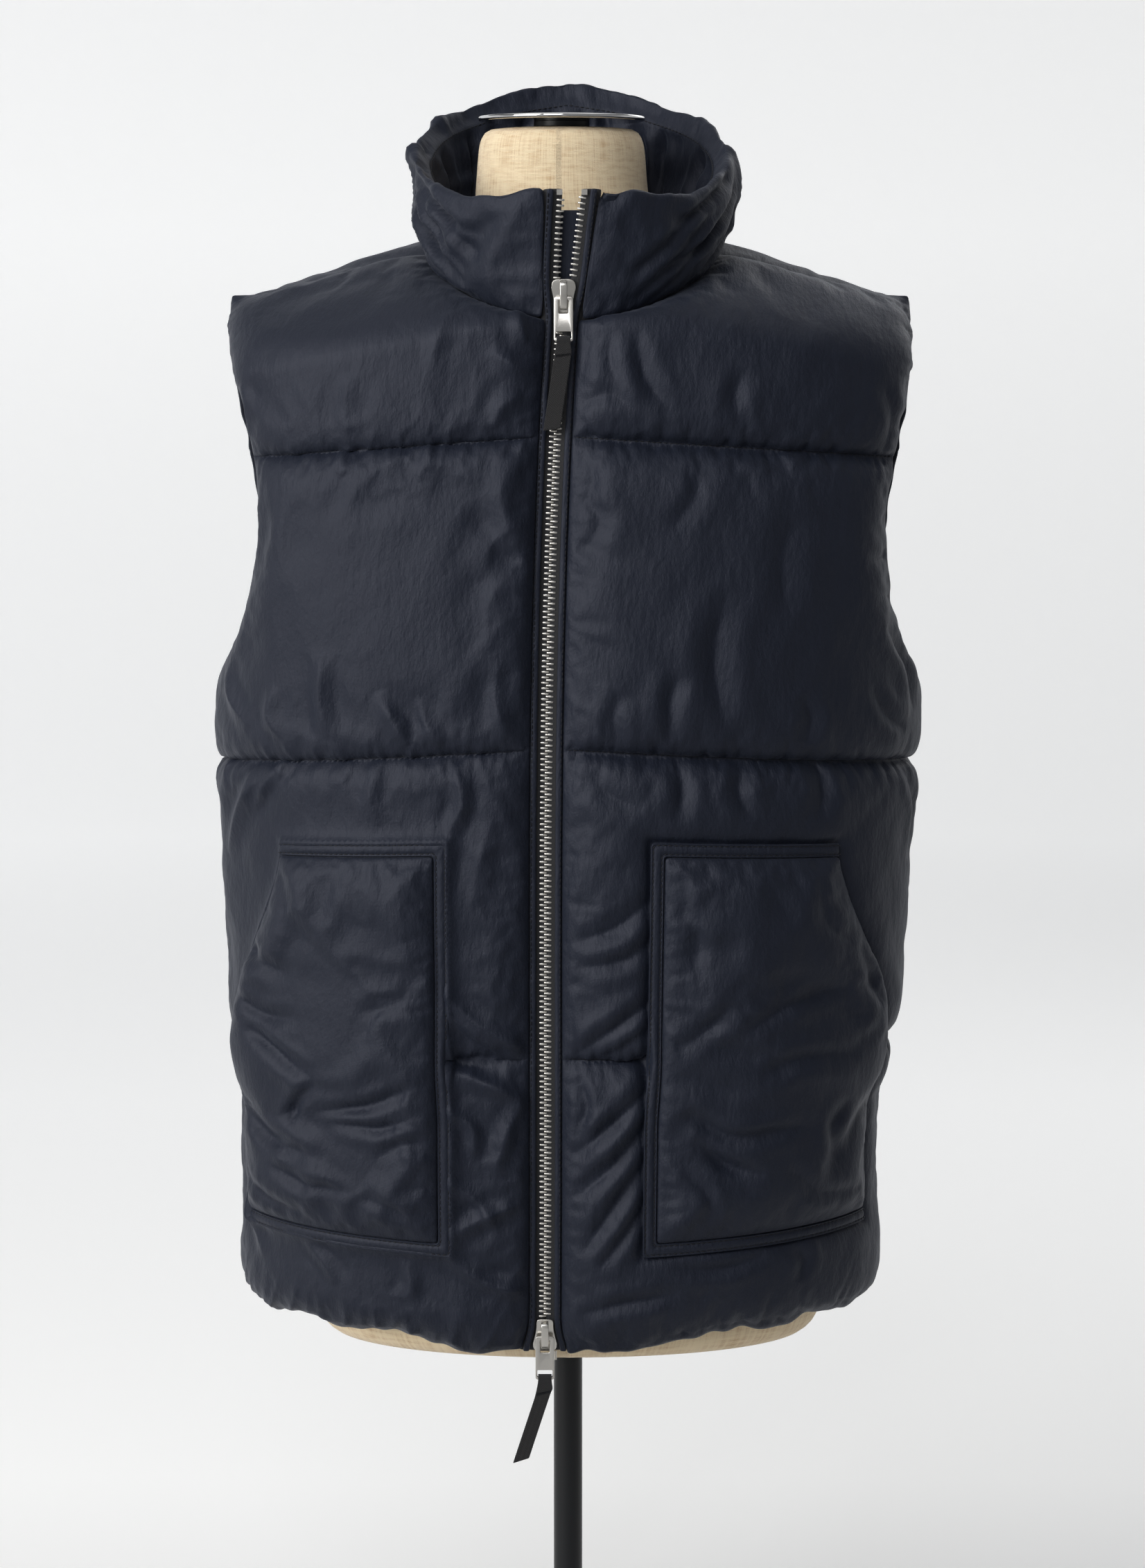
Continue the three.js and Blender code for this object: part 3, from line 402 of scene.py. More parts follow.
def remembered(obj: bpy.types.Object, cloth: Array, free: Array) -> bpy.types.Object:
    """Subdivide a piece that notes each point's place on the flat cloth and how free it is to move."""
    place = np.concatenate([cloth, np.reshape(free, (-1, 1))], 1)
    layer = obj.data.attributes.new("place", "FLOAT_VECTOR", "POINT")
    layer.data.foreach_set("vector", place.ravel())
    return subdivided(obj)


def pressed_by(
    obj: bpy.types.Object, lift: Callable[[Array, Array], tuple[Array, Any]]
) -> bpy.types.Object:
    """Move a remembered piece's points out along their normals, and down.

    Args:
        obj: The piece.
        lift: Gives the movements out and down from the places on the cloth and the freedoms.

    Returns:
        The piece, without its notes.
    """
    mesh = obj.data
    place = np.zeros(len(mesh.vertices) * 3)
    mesh.attributes["place"].data.foreach_get("vector", place)
    place = place.reshape(-1, 3)
    mesh.attributes.remove(mesh.attributes["place"])
    out, down = lift(place[:, :2], place[:, 2])
    normal = np.zeros(len(place) * 3)
    mesh.vertices.foreach_get("normal", normal)
    moved = coordinates(mesh) + normal.reshape(-1, 3) * out[:, None]
    moved[:, 2] -= down
    mesh.vertices.foreach_set("co", (moved * MM).ravel())
    mesh.update()
    return obj


def rides(
    obj: bpy.types.Object, body: Body, replaced: Sequence[str] = ()
) -> bpy.types.Object:
    """Put a finished piece on its body and hide the nodes that it stands for."""
    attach(obj, body.value)
    if replaced:
        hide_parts(*replaced)
    LOG.info("%s: %d faces on %s", obj.name, len(obj.data.polygons), body.value)
    return obj


class Board:
    """Adds nodes to one tree and wires them."""

    def __init__(self, tree: bpy.types.NodeTree) -> None:
        """Take the tree."""
        self.tree = tree

    def add(
        self, kind: str, values: Mapping[str, Any] | None = None, **settings: Any
    ) -> bpy.types.Node:
        """Add one node.

        Args:
            kind: The node's type.
            values: What its inputs hold, or the sockets they are wired to.
            **settings: Its own settings.

        Returns:
            The node.
        """
        node = self.tree.nodes.new(kind)
        for key, value in settings.items():
            setattr(node, key, value)
        for key, value in (values or {}).items():
            socket = node.inputs[int(key)] if key.isdigit() else node.inputs[key]
            if isinstance(value, bpy.types.NodeSocket):
                self.tree.links.new(value, socket)
            else:
                socket.default_value = value
        return node


def grid_faces(rows: int, columns: int, offset: int = 0, around: bool = False) -> list[list[int]]:
    """List the quads of a grid of points, closed round its columns or not."""
    faces = []
    for r in range(rows - 1):
        for c in range(columns if around else columns - 1):
            a, b = offset + r * columns + c, offset + r * columns + (c + 1) % columns
            faces.append([a, b, b + columns, a + columns])
    return faces


def facing_out(points: Array, faces: list[list[int]]) -> list[list[int]]:
    """Turn a closed mesh's faces round if it is inside out."""
    volume = 0.0
    for face in faces:
        a = points[face[0]]
        for i in range(1, len(face) - 1):
            volume += float(np.dot(a, np.cross(points[face[i]], points[face[i + 1]])))
    return faces if volume > 0 else [face[::-1] for face in faces]


def tube(rings: Array) -> tuple[Array, list[list[int]]]:
    """Close a chain of rings of points into a solid with a flat cap at each end."""
    rows, columns = rings.shape[:2]
    points = rings.reshape(-1, 3)
    faces = grid_faces(rows, columns, around=True)
    faces.append(list(range(columns))[::-1])
    faces.append(list(range((rows - 1) * columns, rows * columns)))
    return points, facing_out(points, faces)


def sandwich(outer: Array, inner: Array) -> tuple[Array, list[list[int]]]:
    """Close two grids of points, one over the other, into a solid."""
    rows, columns = outer.shape[:2]
    size = rows * columns
    faces = grid_faces(rows, columns)
    faces += [[i + size for i in face[::-1]] for face in grid_faces(rows, columns)]
    top = [r * columns + c for r, c in _rim(rows, columns)]
    for a, b in zip(top, top[1:] + top[:1]):
        faces.append([b, a, a + size, b + size])
    points = np.concatenate([outer.reshape(-1, 3), inner.reshape(-1, 3)])
    return points, facing_out(points, faces)


def _rim(rows: int, columns: int) -> list[tuple[int, int]]:
    """List a grid's outline in order."""
    low = [(0, c) for c in range(columns)]
    right = [(r, columns - 1) for r in range(1, rows)]
    high = [(rows - 1, c) for c in range(columns - 2, -1, -1)]
    left = [(r, 0) for r in range(rows - 2, 0, -1)]
    return low + right + high + left


# ------------------------------------------------------------------ the garment's middle surface
CURVE_STEPS = 160


class LevelCurve(NamedTuple):
    """One level curve of the garment: its points and the distance to each from its start."""

    lengths: Array
    points: Array

    @property
    def total(self) -> float:
        """Give the curve's whole length."""
        return float(self.lengths[-1])

    def at(self, distance: Any) -> Array:
        """Read points by their distance from the curve's start."""
        return np.stack([np.interp(distance, self.lengths, self.points[:, k]) for k in range(3)], -1)


class GarmentHalf:
    """One half of the front or of the back, drawn as level curves on superellipses."""

    def __init__(
        self,
        sections: Sequence[Section],
        facing: int,
        armhole_degrees: float,
        unrolled: Sequence[tuple[float, float]],
    ) -> None:
        """Read the sections.

        Args:
            sections: Rows from the hem up.
            facing: -1 for the front and +1 for the back.
            armhole_degrees: How far the armhole cuts in, as an angle round the section.
            unrolled: Rows of level and height on the flat cloth.
        """
        self.facing = facing
        self.armhole = math.radians(armhole_degrees)
        levels = [row.level for row in sections]
        self.half = track(levels, [row.half for row in sections])
        self.square = track(levels, [row.square for row in sections])
        below = [row for row in sections if not math.isnan(row.z)]
        self.z = track([row.level for row in below], [row.z for row in below])
        self.depth = track([row.level for row in below], [row.depth for row in below])
        self.neck_level = below[-1].level
        self.unrolled = unrolled
        self._curves: dict[tuple[float, int, bool], LevelCurve] = {}

    def cloth_height(self, level: Any) -> Any:
        """Give a level's height on the flat cloth."""
        return np.interp(level, [row[0] for row in self.unrolled], [row[1] for row in self.unrolled])

    def level_at(self, height: Any) -> Any:
        """Give the level at a height on the flat cloth."""
        return np.interp(height, [row[1] for row in self.unrolled], [row[0] for row in self.unrolled])

    def neck_angle(self, level: float, side: int) -> float:
        """Give the angle on the neck seam where a level curve starts."""
        if level >= TIP:
            return NECK.shoulder
        edge = float(front_edge_x(side, self.z(self.neck_level)))
        lowest = math.asin(edge / NECK.half) if self.facing < 0 else math.pi
        return mix(lowest, NECK.shoulder, (level - self.neck_level) / (TIP - self.neck_level))

    def start(self, level: float, side: int) -> Array:
        """Find where a level curve starts: the front edge, the centre back or the neck seam."""
        if level >= self.neck_level:
            return NECK.point(self.neck_angle(level, side))
        z = float(self.z(level))
        x = float(front_edge_x(side, z)) if self.facing < 0 else 0.0
        return np.array([x, SEAM_Y + self.facing * float(self.depth(level)), z])

    def end_angle(self, level: float) -> float:
        """Give the angle where a level curve ends, at the side seam or the armhole's edge."""
        up = (level - UNDERARM) / (TIP - UNDERARM)
        if up <= 0 or up >= 1:
            return math.pi / 2
        return math.pi / 2 - self.armhole * math.sin(math.pi * up**0.85) ** 0.6

    def curve(self, level: float, side: int, cut: bool = True) -> LevelCurve:
        """Draw one level curve.

        Args:
            level: Its height at the side seam or armhole.
            side: -1 for the left half and +1 for the right half.
            cut: Whether it stops at the armhole.

        Returns:
            The curve, from the front edge, centre back or neck seam outwards.
        """
        key = (round(float(level), 4), side, cut)
        if key not in self._curves:
            self._curves[key] = self._drawn(float(level), side, cut)
        return self._curves[key]

    def _drawn(self, level: float, side: int, cut: bool) -> LevelCurve:
        """Draw a level curve's points on its superellipse."""
        half = float(self.half(level))
        power = 2 / float(self.square(level))
        start = self.start(level, side)
        first = math.asin(float(signed_power(start[0] / half, 1 / power)))
        depth = (start[1] - SEAM_Y) / math.cos(first) ** power
        last = self.end_angle(level) if cut else math.pi / 2
        angle = mix(first, last, np.linspace(0, 1, CURVE_STEPS + 1))
        x = half * signed_power(np.sin(angle), power)
        y = SEAM_Y + depth * np.maximum(0, np.cos(angle)) ** power
        flat = np.stack([x, y, np.zeros_like(x)], 1)
        along = running(flat)
        flat[:, 2] = mix(start[2], level, along / along[-1])
        points = placed(side, flat)
        return LevelCurve(running(points), points)

    def surface(self, side: int, cloth: Array) -> Array:
        """Place points of the flat cloth on the garment's middle surface.

        Args:
            side: -1 for the left half and +1 for the right half.
            cloth: Rows of distance from the curve's start and height on the flat cloth.

        Returns:
            Their places.
        """
        levels = np.round(self.level_at(cloth[:, 1]), 4)
        result = np.zeros((len(cloth), 3))
        for level in np.unique(levels):
            rows = levels == level
            result[rows] = self.curve(level, side).at(cloth[rows, 0])
        return result


# Rows of a level and its height on the flat cloth.
FRONT_UNROLLED = ((362, 362), (918, 918), (966, 984), (990, 1034), (1014, 1084))
BACK_UNROLLED = ((362, 362), (918, 918), (954, 962), (984, 1012), (1000, 1056), (1014, 1096))
FRONT = GarmentHalf(FRONT_SECTIONS, -1, 31, FRONT_UNROLLED)
BACK = GarmentHalf(BACK_SECTIONS, 1, 27, BACK_UNROLLED)


def form_presses(level: Any) -> Any:
    """Say how much of the padding's inside the form leaves at a level, near the shoulders."""
    return np.clip((980 - level) / 90, 0.1, 1)


@dataclass(frozen=True)
class Crease:
    """A fold pressed into padded cloth along a chain of points on the flat cloth.

    Attributes:
        line: Rows of distance and height on the flat cloth, in millimetres.
        width: How wide the fold is, in millimetres.
        depth: How deep it is. A raised fold has a negative depth.
        bank: How much of the depth stands up beside the fold.
    """

    line: tuple[tuple[float, float], ...]
    width: float = 7.0
    depth: float = 3.0
    bank: float = 0.45

    def lift(self, cloth: Array) -> Array:
        """Say how far the fold moves each point of the cloth outwards."""
        chain = np.array(self.line, float)
        if len(chain) > 2:
            lengths = running(chain)
            bends = [track(lengths, chain[:, k]) for k in range(2)]
            places = np.linspace(0, lengths[-1], 4 * len(chain))
            chain = np.stack([bend(places) for bend in bends], 1)
        lengths = running(chain)
        nearest = np.full(len(cloth), 1e9)
        offset, share = np.zeros(len(cloth)), np.zeros(len(cloth))
        for i, (a, b) in enumerate(zip(chain[:-1], chain[1:])):
            along = b - a
            t = np.clip(((cloth - a) @ along) / float(along @ along), 0, 1)
            away = cloth - a - t[:, None] * along
            distance = np.linalg.norm(away, axis=1)
            closer = distance < nearest
            nearest[closer] = distance[closer]
            turn = np.sign(along[0] * away[:, 1] - along[1] * away[:, 0])
            offset[closer] = (turn * distance)[closer]
            share[closer] = (lengths[i] + t * (lengths[i + 1] - lengths[i]))[closer] / lengths[-1]
        fade = np.sin(math.pi * np.clip(share, 0, 1)) ** 0.7
        valley = np.exp(-((np.abs(offset) / (0.9 * self.width)) ** 1.3))
        bank = self.bank if self.depth > 0 else 0.0
        banks = np.exp(-(((np.abs(offset) - 1.7 * self.width) / self.width) ** 2))
        return self.depth * fade * (bank * banks - valley)


class Noise:
    """Smooth seeded unevenness over the flat cloth."""

    def __init__(self, seed: int, size: float, waves: int = 24, stretch: float = 1.0) -> None:
        """Draw random waves.

        Args:
            seed: The draw's fixed seed.
            size: The waves' length, in millimetres.
            waves: How many waves are summed.
            stretch: How much longer the waves are up the cloth than across it.
        """
        draw = np.random.default_rng(seed)
        angle = draw.uniform(0, 2 * math.pi, waves)
        length = size * draw.uniform(0.7, 1.5, waves)
        turn = np.stack([np.cos(angle), np.sin(angle) / stretch], 1)
        self.waves = 2 * math.pi * turn / length[:, None]
        self.phases = draw.uniform(0, 2 * math.pi, waves)

    def at(self, cloth: Array) -> Array:
        """Read the unevenness, about -1 to 1, at points of the cloth."""
        total = np.sin(cloth @ self.waves.T + self.phases).sum(axis=1)
        return total / math.sqrt(len(self.phases))


def triangulated(outline: Array, lines: Sequence[Array], spacing: float) -> tuple[Array, Array]:
    """Fill an outline on the flat cloth with even triangles that keep the given lines.

    Args:
        outline: The outline's points in order. They come first in the result.
        lines: Chains of points that triangles' edges must follow.
        spacing: The distance between filling points.

    Returns:
        The points and the triangles.
    """
    low, high = outline.min(axis=0), outline.max(axis=0)
    rise = spacing * math.sqrt(3) / 2
    rows = np.arange(low[1] + rise / 2, high[1], rise)
    filling = []
    for r, height in enumerate(rows):
        xs = np.arange(low[0] + spacing * (0.5 if r % 2 else 1.0), high[0], spacing)
        filling.append(np.stack([xs, np.full(len(xs), height)], 1))
    points = np.concatenate(filling)
    points = points[inside(points, outline)]
    ring = np.concatenate([outline, outline[:1]])
    keep = np.min([to_line(points, line) for line in (ring, *lines)], axis=0) > spacing * 0.55
    everything = np.concatenate([outline, *lines, points[keep]])
    count = len(outline)
    edges = [(i, (i + 1) % count) for i in range(count)]
    for line in lines:
        edges += [(count + i, count + i + 1) for i in range(len(line) - 1)]
        count += len(line)
    made = delaunay_2d_cdt([Vector(p) for p in everything], edges, [], 0, 1e-3)
    flat = np.array([[p.x, p.y] for p in made[0]])
    triangles = np.array([face for face in made[2] if len(face) == 3])
    centres = flat[triangles].mean(axis=1)
    return flat, triangles[inside(centres, flat[: len(outline)])]


def outline_edges(faces: Array, rim: int) -> list[tuple[int, int]]:
    """List the edges round a sheet whose outline is its first points, the way its triangles run."""
    ends = {(int(a), int(b)) for f in faces for a, b in zip(f, np.roll(f, -1)) if a < rim and b < rim}
    return [(a, b) for a, b in ends if (b, a) not in ends]


def point_normals(points: Array, faces: Array) -> Array:
    """Average the faces' normals at each point."""
    a, b, c = (points[faces[:, k]] for k in range(3))
    across = np.cross(b - a, c - a)
    total = np.zeros_like(points)
    for k in range(3):
        np.add.at(total, faces[:, k], across)
    return unit(total)


@dataclass(frozen=True)
class Swelling:
    """How a padded sheet is blown up as cloth between its seams.

    Attributes:
        pressure: The push of the filling.
        growth: How much more cloth there is than the space between the seams.
        least: How far a point may sink, in millimetres.
        most: How far a point may rise, in millimetres.
        stiffness: How little the cloth bends.
        frames: How long it settles.
    """

    pressure: float = 4.0
    growth: float = 0.012
    least: float = -6.0
    most: float = 10.0
    stiffness: float = 6.0
    frames: int = 20

    def settle(
        self, name: str, points: Array, faces: Array, held: Array, normals: Array, seed: int
    ) -> Array:
        """Blow up a sheet that is held at its seams.

        Args:
            name: The piece's name.
            points: The sheet's points, in millimetres.
            faces: Its triangles.
            held: How firmly each point is held, from 0 to 1.
            normals: The outward direction at each point.
            seed: The seed of the first unevenness.

        Returns:
            The settled points, in millimetres.
        """
        draw = np.random.default_rng(seed)
        uneven = draw.uniform(-0.12, 0.12, len(points))[:, None] * normals * (1 - held)[:, None]
        start = (points + uneven) * MM
        mesh = bpy.data.meshes.new(name + "_sheet")
        mesh.from_pydata(start.tolist(), [], faces.tolist())
        obj = bpy.data.objects.new(name + "_sheet", mesh)
        bpy.context.scene.collection.objects.link(obj)
        pins = obj.vertex_groups.new(name="held")
        for weight in np.unique(np.round(held, 2)):
            if weight > 0:
                rows = np.nonzero(np.round(held, 2) == weight)[0].tolist()
                pins.add(rows, float(weight), "REPLACE")
        cloth = obj.modifiers.new("cloth", "CLOTH")
        cloth.point_cache.frame_end = self.frames
        rules = cloth.settings
        rules.quality = 4
        rules.mass = 0.2
        rules.vertex_group_mass = "held"
        rules.use_pressure = True
        rules.uniform_pressure_force = self.pressure
        rules.shrink_min = -self.growth
        rules.effector_weights.gravity = 0
        rules.bending_stiffness = self.stiffness
        rules.tension_stiffness = 12
        rules.compression_stiffness = 12
        cloth.collision_settings.use_collision = False
        for number in range(1, self.frames + 1):
            bpy.context.scene.frame_set(number)
        seen = obj.evaluated_get(bpy.context.evaluated_depsgraph_get()).data
        flat = np.zeros(len(points) * 3)
        seen.vertices.foreach_get("co", flat)
        moved = flat.reshape(-1, 3) / MM - points
        bpy.data.objects.remove(obj)
        bpy.context.scene.frame_set(1)
        out = (moved * normals).sum(axis=1, keepdims=True)
        aside = moved - out * normals
        reach = np.linalg.norm(aside, axis=1, keepdims=True)
        aside *= np.minimum(1, self.most / np.maximum(reach, 1e-9))
        LOG.info("%s swells %.1f to %.1f mm", name, float(out.min()), float(out.max()))
        return points + aside + np.clip(out, self.least, self.most) * normals


@dataclass(frozen=True)
class Puckers:
    """Short gathers that a line of stitching draws into the cloth beside it.

    Attributes:
        pitch: The mean distance between gathers, in millimetres.
        reach: How far they run from the stitching, in millimetres.
        depth: How deep they are, in millimetres.
    """

    pitch: float = 7.5
    reach: float = 10.0
    depth: float = 1.9

    def lift(self, along: Array, away: Array, seed: int) -> Array:
        """Say how far the gathers move points outwards.

        Args:
            along: Each point's distance along the stitching, in millimetres.
            away: Its distance from the stitching, in millimetres, signed by the side it is on.
            seed: The seed of the gathers' spacing and strength.

        Returns:
            The outward movement.
        """
        draw = np.random.default_rng(seed)
        low, high = float(along.min()) - 20, float(along.max()) + 20
        count = int((high - low) / self.pitch) + 2
        total = np.zeros(len(along))
        for is_above in (False, True):
            places = low + self.pitch * (np.arange(count) + draw.uniform(-0.35, 0.35, count))
            lean = draw.uniform(-0.45, 0.45, count)
            long = self.reach * draw.uniform(0.45, 1.7, count)
            deep = self.depth * draw.uniform(0.25, 1.3, count)
            rows = np.nonzero(((away > 0) == is_above) & (np.abs(away) < 2.6 * self.reach))[0]
            d = np.abs(away[rows])
            for i in range(count):
                offset = (along[rows] - places[i] - lean[i] * d) / (self.pitch * 0.36)
                near = np.abs(offset) < 3
                shape = np.exp(-(np.abs(offset[near]) ** 1.25))
                fade = (1 - np.exp(-d[near] / 1.3)) * np.exp(-((d[near] / long[i]) ** 2))
                total[rows[near]] -= deep[i] * shape * fade
        return total


QUILTING_GATHERS = Puckers()
HEM_GATHERS = Puckers(8.5, 17, 2.0)
EDGE_GATHERS = Puckers(10, 12, 1.5)
FRONT_EDGE_GATHERS = Puckers(10, 10, 1.2)
RIM_GATHERS = Puckers(16, 20, 1.4)  # over the collar's top edge
COLLAR_GATHERS = Puckers(8, 11, 1.5)
BORDER_GATHERS = Puckers(9, 12, 1.5)


@dataclass(frozen=True)
class Drape:
    """How a panel's free edges hang, in millimetres.

    Attributes:
        hem_wave: The height of the hem's long waves.
        hem_ripple: The height of its short ones.
        hem_rise: How far the hem is drawn up away from the zip.
        armhole_wave: How far the armhole's edge waves in and out.
        tip_out: How far the shoulder seam's end stands out.
        tip_up: How far it stands up.
    """

    hem_wave: float = 2.4
    hem_ripple: float = 1.1
    hem_rise: float = 8.0
    armhole_wave: float = 1.3
    tip_out: float = 2.5
    tip_up: float = 5.5


DRAPE = Drape()


# ------------------------------------------------------------------ padded body panels
@dataclass(frozen=True)
class PocketSizes:
    """Levels, and distances round from the front edge on a panel of the full reach."""

    low: float = 424.0
    high: float = 671.0
    near: float = 54.0
    far: float = 226.0
    trim: float = 8.0
    trim_thick: float = 2.4
    full: float = 9.0
    edge: float = 3.0
    opening_low: float = 548.0
    slant: float = 52.0


POCKET = PocketSizes()
ON_EDGE = 0.05  # how near counts as on an edge
ON_LEVEL = 0.001  # how near counts as at a level
ON_LINE = 0.2  # how near counts as on a quilting line
FLAT = 0.02  # the share of the full padding below which the cloth is held


def pocket_edges(side: int, level: float) -> tuple[float, float]:
    """Give a pocket's near and far distance from the front edge at a level."""
    total = FRONT.curve(level, side).total
    scale = min(total, (total - 30) * PANEL_REACH / POCKET.far) / PANEL_REACH
    rising = smooth((level - POCKET.opening_low) / (POCKET.high - POCKET.opening_low))
    return POCKET.near * scale, (POCKET.far - POCKET.slant * float(rising)) * scale


def pocket_outline(side: int, inset: float, spacing: float) -> Array:
    """Draw a pocket's outline on the flat cloth.

    Args:
        side: -1 for the left pocket and +1 for the right one.
        inset: How far in from the near edge, top and bottom it runs, in millimetres.
        spacing: The distance between its points.

    Returns:
        The outline, from its low near corner outwards and round.
    """
    levels = np.linspace(POCKET.low + inset, POCKET.high - inset, 60)
    near = np.array([[pocket_edges(side, level)[0] + inset, level] for level in levels])
    far = np.array([[pocket_edges(side, level)[1], level] for level in levels])
    chains = [np.array([near[0], far[0]]), far, np.array([far[-1], near[-1]]), near[::-1]]
    return np.concatenate([spaced(chain, spacing)[:-1] for chain in chains])


class OutlinePlaces(NamedTuple):
    """Where the points of a panel's outline lie.

    Attributes:
        level: Each point's level.
        sides: Its half, -1 or +1.
        starts: Whether it is where its level curve starts.
        ends: Whether it is where its level curve ends.
        on_seam: Whether it is on the side seam or the shoulder seam.
    """

    level: Array
    sides: Array
    starts: Array
    ends: Array
    on_seam: Array


class PaddedPanel:
    """A body panel: two sheets of cloth sewn together along its edges and quilting, and filled."""

    SPACING = 5.0
    LINING_SPACING = 14.0

    # How far the padding bulges past the hem and the armholes, as shares of its thickness.
    HEM_BULGE, ARMHOLE_BULGE = 0.5, 0.4

    # How deep and how wide the quilting's stitching pulls the cloth in.
    STITCH_DEPTH, STITCH_WIDTH = 0.8, 1.5

    # How far the padding hangs over the stitching, and how high above it that is most.
    OVERHANG, OVERHANG_HEIGHT = 2.7, 7.0

    def __init__(
        self,
        node: str,
        half: GarmentHalf,
        seed: int,
        swelling: Swelling,
        creases: Sequence[Crease] = (),
    ) -> None:
        """Plan a panel.

        Args:
            node: The node that it stands for.
            half: The surface it is drawn on.
            seed: The seed of its gathers and unevenness.
            swelling: How its outer sheet is blown up.
            creases: The folds in its outer sheet.
        """
        self.node = node
        self.name = "vest_" + node
        self.half = half
        self.seed = seed
        self.swelling = swelling
        self.creases = creases

    def neck_offset(self, level: Any) -> Any:
        """Say how far from the middle the neck seam is on the flat cloth at a level."""
        levels = np.linspace(self.half.neck_level, TIP, 16)
        starts = [float(self.half.start(value, 1)[0]) for value in levels]
        return np.interp(level, levels, np.array(starts) - starts[0])

    def edge(self, side: int, low: float, high: float, outer: bool) -> Array:
        """Draw the start or the outer edge of one half on the flat cloth.

        Args:
            side: Which half.
            low: The level it starts at.
            high: The level it ends at.
            outer: Whether it is the outer edge.

        Returns:
            Rows of distance from the start and height.
        """
        levels = np.linspace(low, high, max(2, int(abs(high - low) / 2)))
        totals = np.array([self.half.curve(value, side).total if outer else 0.0 for value in levels])
        return np.stack([totals + self.neck_offset(levels), self.half.cloth_height(levels)], 1)

    def outline_chains(self) -> list[Array]:
        """List the panel's edges in order round it."""
        raise NotImplementedError

    def sides_of(self, cloth: Array) -> Array:
        """Tell each point's half, -1 or +1."""
        raise NotImplementedError

    def ends(self, level: float) -> tuple[float, float]:
        """Say how far a level runs each way on the flat cloth."""
        raise NotImplementedError

    def seam_lines(self) -> list[Array]:
        """List the three quilting lines on the flat cloth."""
        return [np.array([[end, level] for end in self.ends(level)]) for level in QUILT_LEVELS]

    def pressed(self, cloth: Array) -> Array:
        """Tell where another piece lies on the panel, from 0 to 1."""
        return np.zeros(len(cloth))

    def distances(self, cloth: Array) -> tuple[Array, Array]:
        """Give each point's distance from its curve's start, and its level."""
        levels = self.half.level_at(cloth[:, 1])
        return np.maximum(0, np.abs(cloth[:, 0]) - self.neck_offset(levels)), levels

    def middle(self, cloth: Array) -> Array:
        """Place points of the flat cloth on the middle surface."""
        distance, _ = self.distances(cloth)
        sides = self.sides_of(cloth)
        flat = np.stack([distance, cloth[:, 1]], 1)
        result = np.zeros((len(cloth), 3))
        for side in (-1, 1):
            rows = sides == side
            if rows.any():
                result[rows] = self.half.surface(side, flat[rows])
        return result

    def to_start(self, distance: Array, level: Array) -> Array:
        """Give the distance to the seam where the level curves start."""
        return distance

    def fullness(self, cloth: Array, points: Array) -> Array:
        """Say how full the padding is at each point, from 0 to 1."""
        distance, level = self.distances(cloth)
        sides = self.sides_of(cloth)
        to_edge = np.zeros(len(cloth))
        for side in (-1, 1):
            rows = sides == side
            if rows.any():
                levels = np.linspace(HEM, TIP, 120)
                edge = np.array([self.half.curve(value, side).points[-1] for value in levels])
                to_edge[rows] = to_line(points[rows], edge)
        hidden = self.pressed(cloth)
        seams = [np.abs(level - value) for value in QUILT_LEVELS]
        seams[0] = seams[0] + 60 * hidden
        to_quilting = np.min(seams, axis=0)
        full = risen(self.to_start(distance, level)) * risen(to_edge) * risen(to_quilting, PAD.quilting)
        return full * risen(level - HEM + PAD.hem) * risen((TIP - level) * PAD.shoulder)

    def on_outline(self, cloth: Array) -> OutlinePlaces:
        """Tell where each of the outline's points lies."""
        distance, level = self.distances(cloth)
        sides = self.sides_of(cloth)
        totals = np.array([self.half.curve(v, int(s)).total for v, s in zip(level, sides)])
        ends = distance > totals - ON_EDGE
        on_seam = (level > TIP - ON_LEVEL) | (ends & (level < UNDERARM + ON_LEVEL))
        return OutlinePlaces(level, sides, distance < ON_EDGE, ends, on_seam)

    def trimmed(self, places: OutlinePlaces, normals: Array) -> Array:
        """Turn the outline's outward directions into their seams' planes."""
        turned = normals.copy()
        at_neck = places.level >= self.half.neck_level - ON_LEVEL
        for i in np.nonzero(places.starts & at_neck)[0]:
            side = int(places.sides[i])
            turned[i] = neck_mitre(side, self.half.neck_angle(float(places.level[i]), side))
        if self.half.facing < 0:
            turned[places.starts & ~at_neck, 0] = 0
        turned[places.on_seam, 1] = 0
        return turned

    def sheet(self, outline: Array, spacing: float) -> tuple[Array, Array, Array, Array]:
        """Cut one sheet and lay it on the middle surface.

        Args:
            outline: The panel's outline on the flat cloth.
            spacing: The distance between filling points.

        Returns:
            Its points on the flat cloth, its triangles, its places and its outward directions.
        """
        lines = [spaced(line, spacing)[1:-1] for line in self.seam_lines()]
        cloth, faces = triangulated(outline, lines, spacing)
        points = self.middle(cloth)
        rim = len(outline)
        places = self.on_outline(cloth[:rim])
        points[:rim][places.on_seam, 1] = SEAM_Y + self.half.facing * GAP / 2
        normals = point_normals(points, faces)
        normals *= self.half.facing if (normals[:, 1].mean() > 0) != (self.half.facing > 0) else 1
        if (normals[:, 1].mean() > 0) != (self.half.facing > 0):
            normals, faces = -normals, faces[:, ::-1]
        normals[:rim] = self.trimmed(places, normals[:rim])
        return cloth, faces, points, unit(normals)

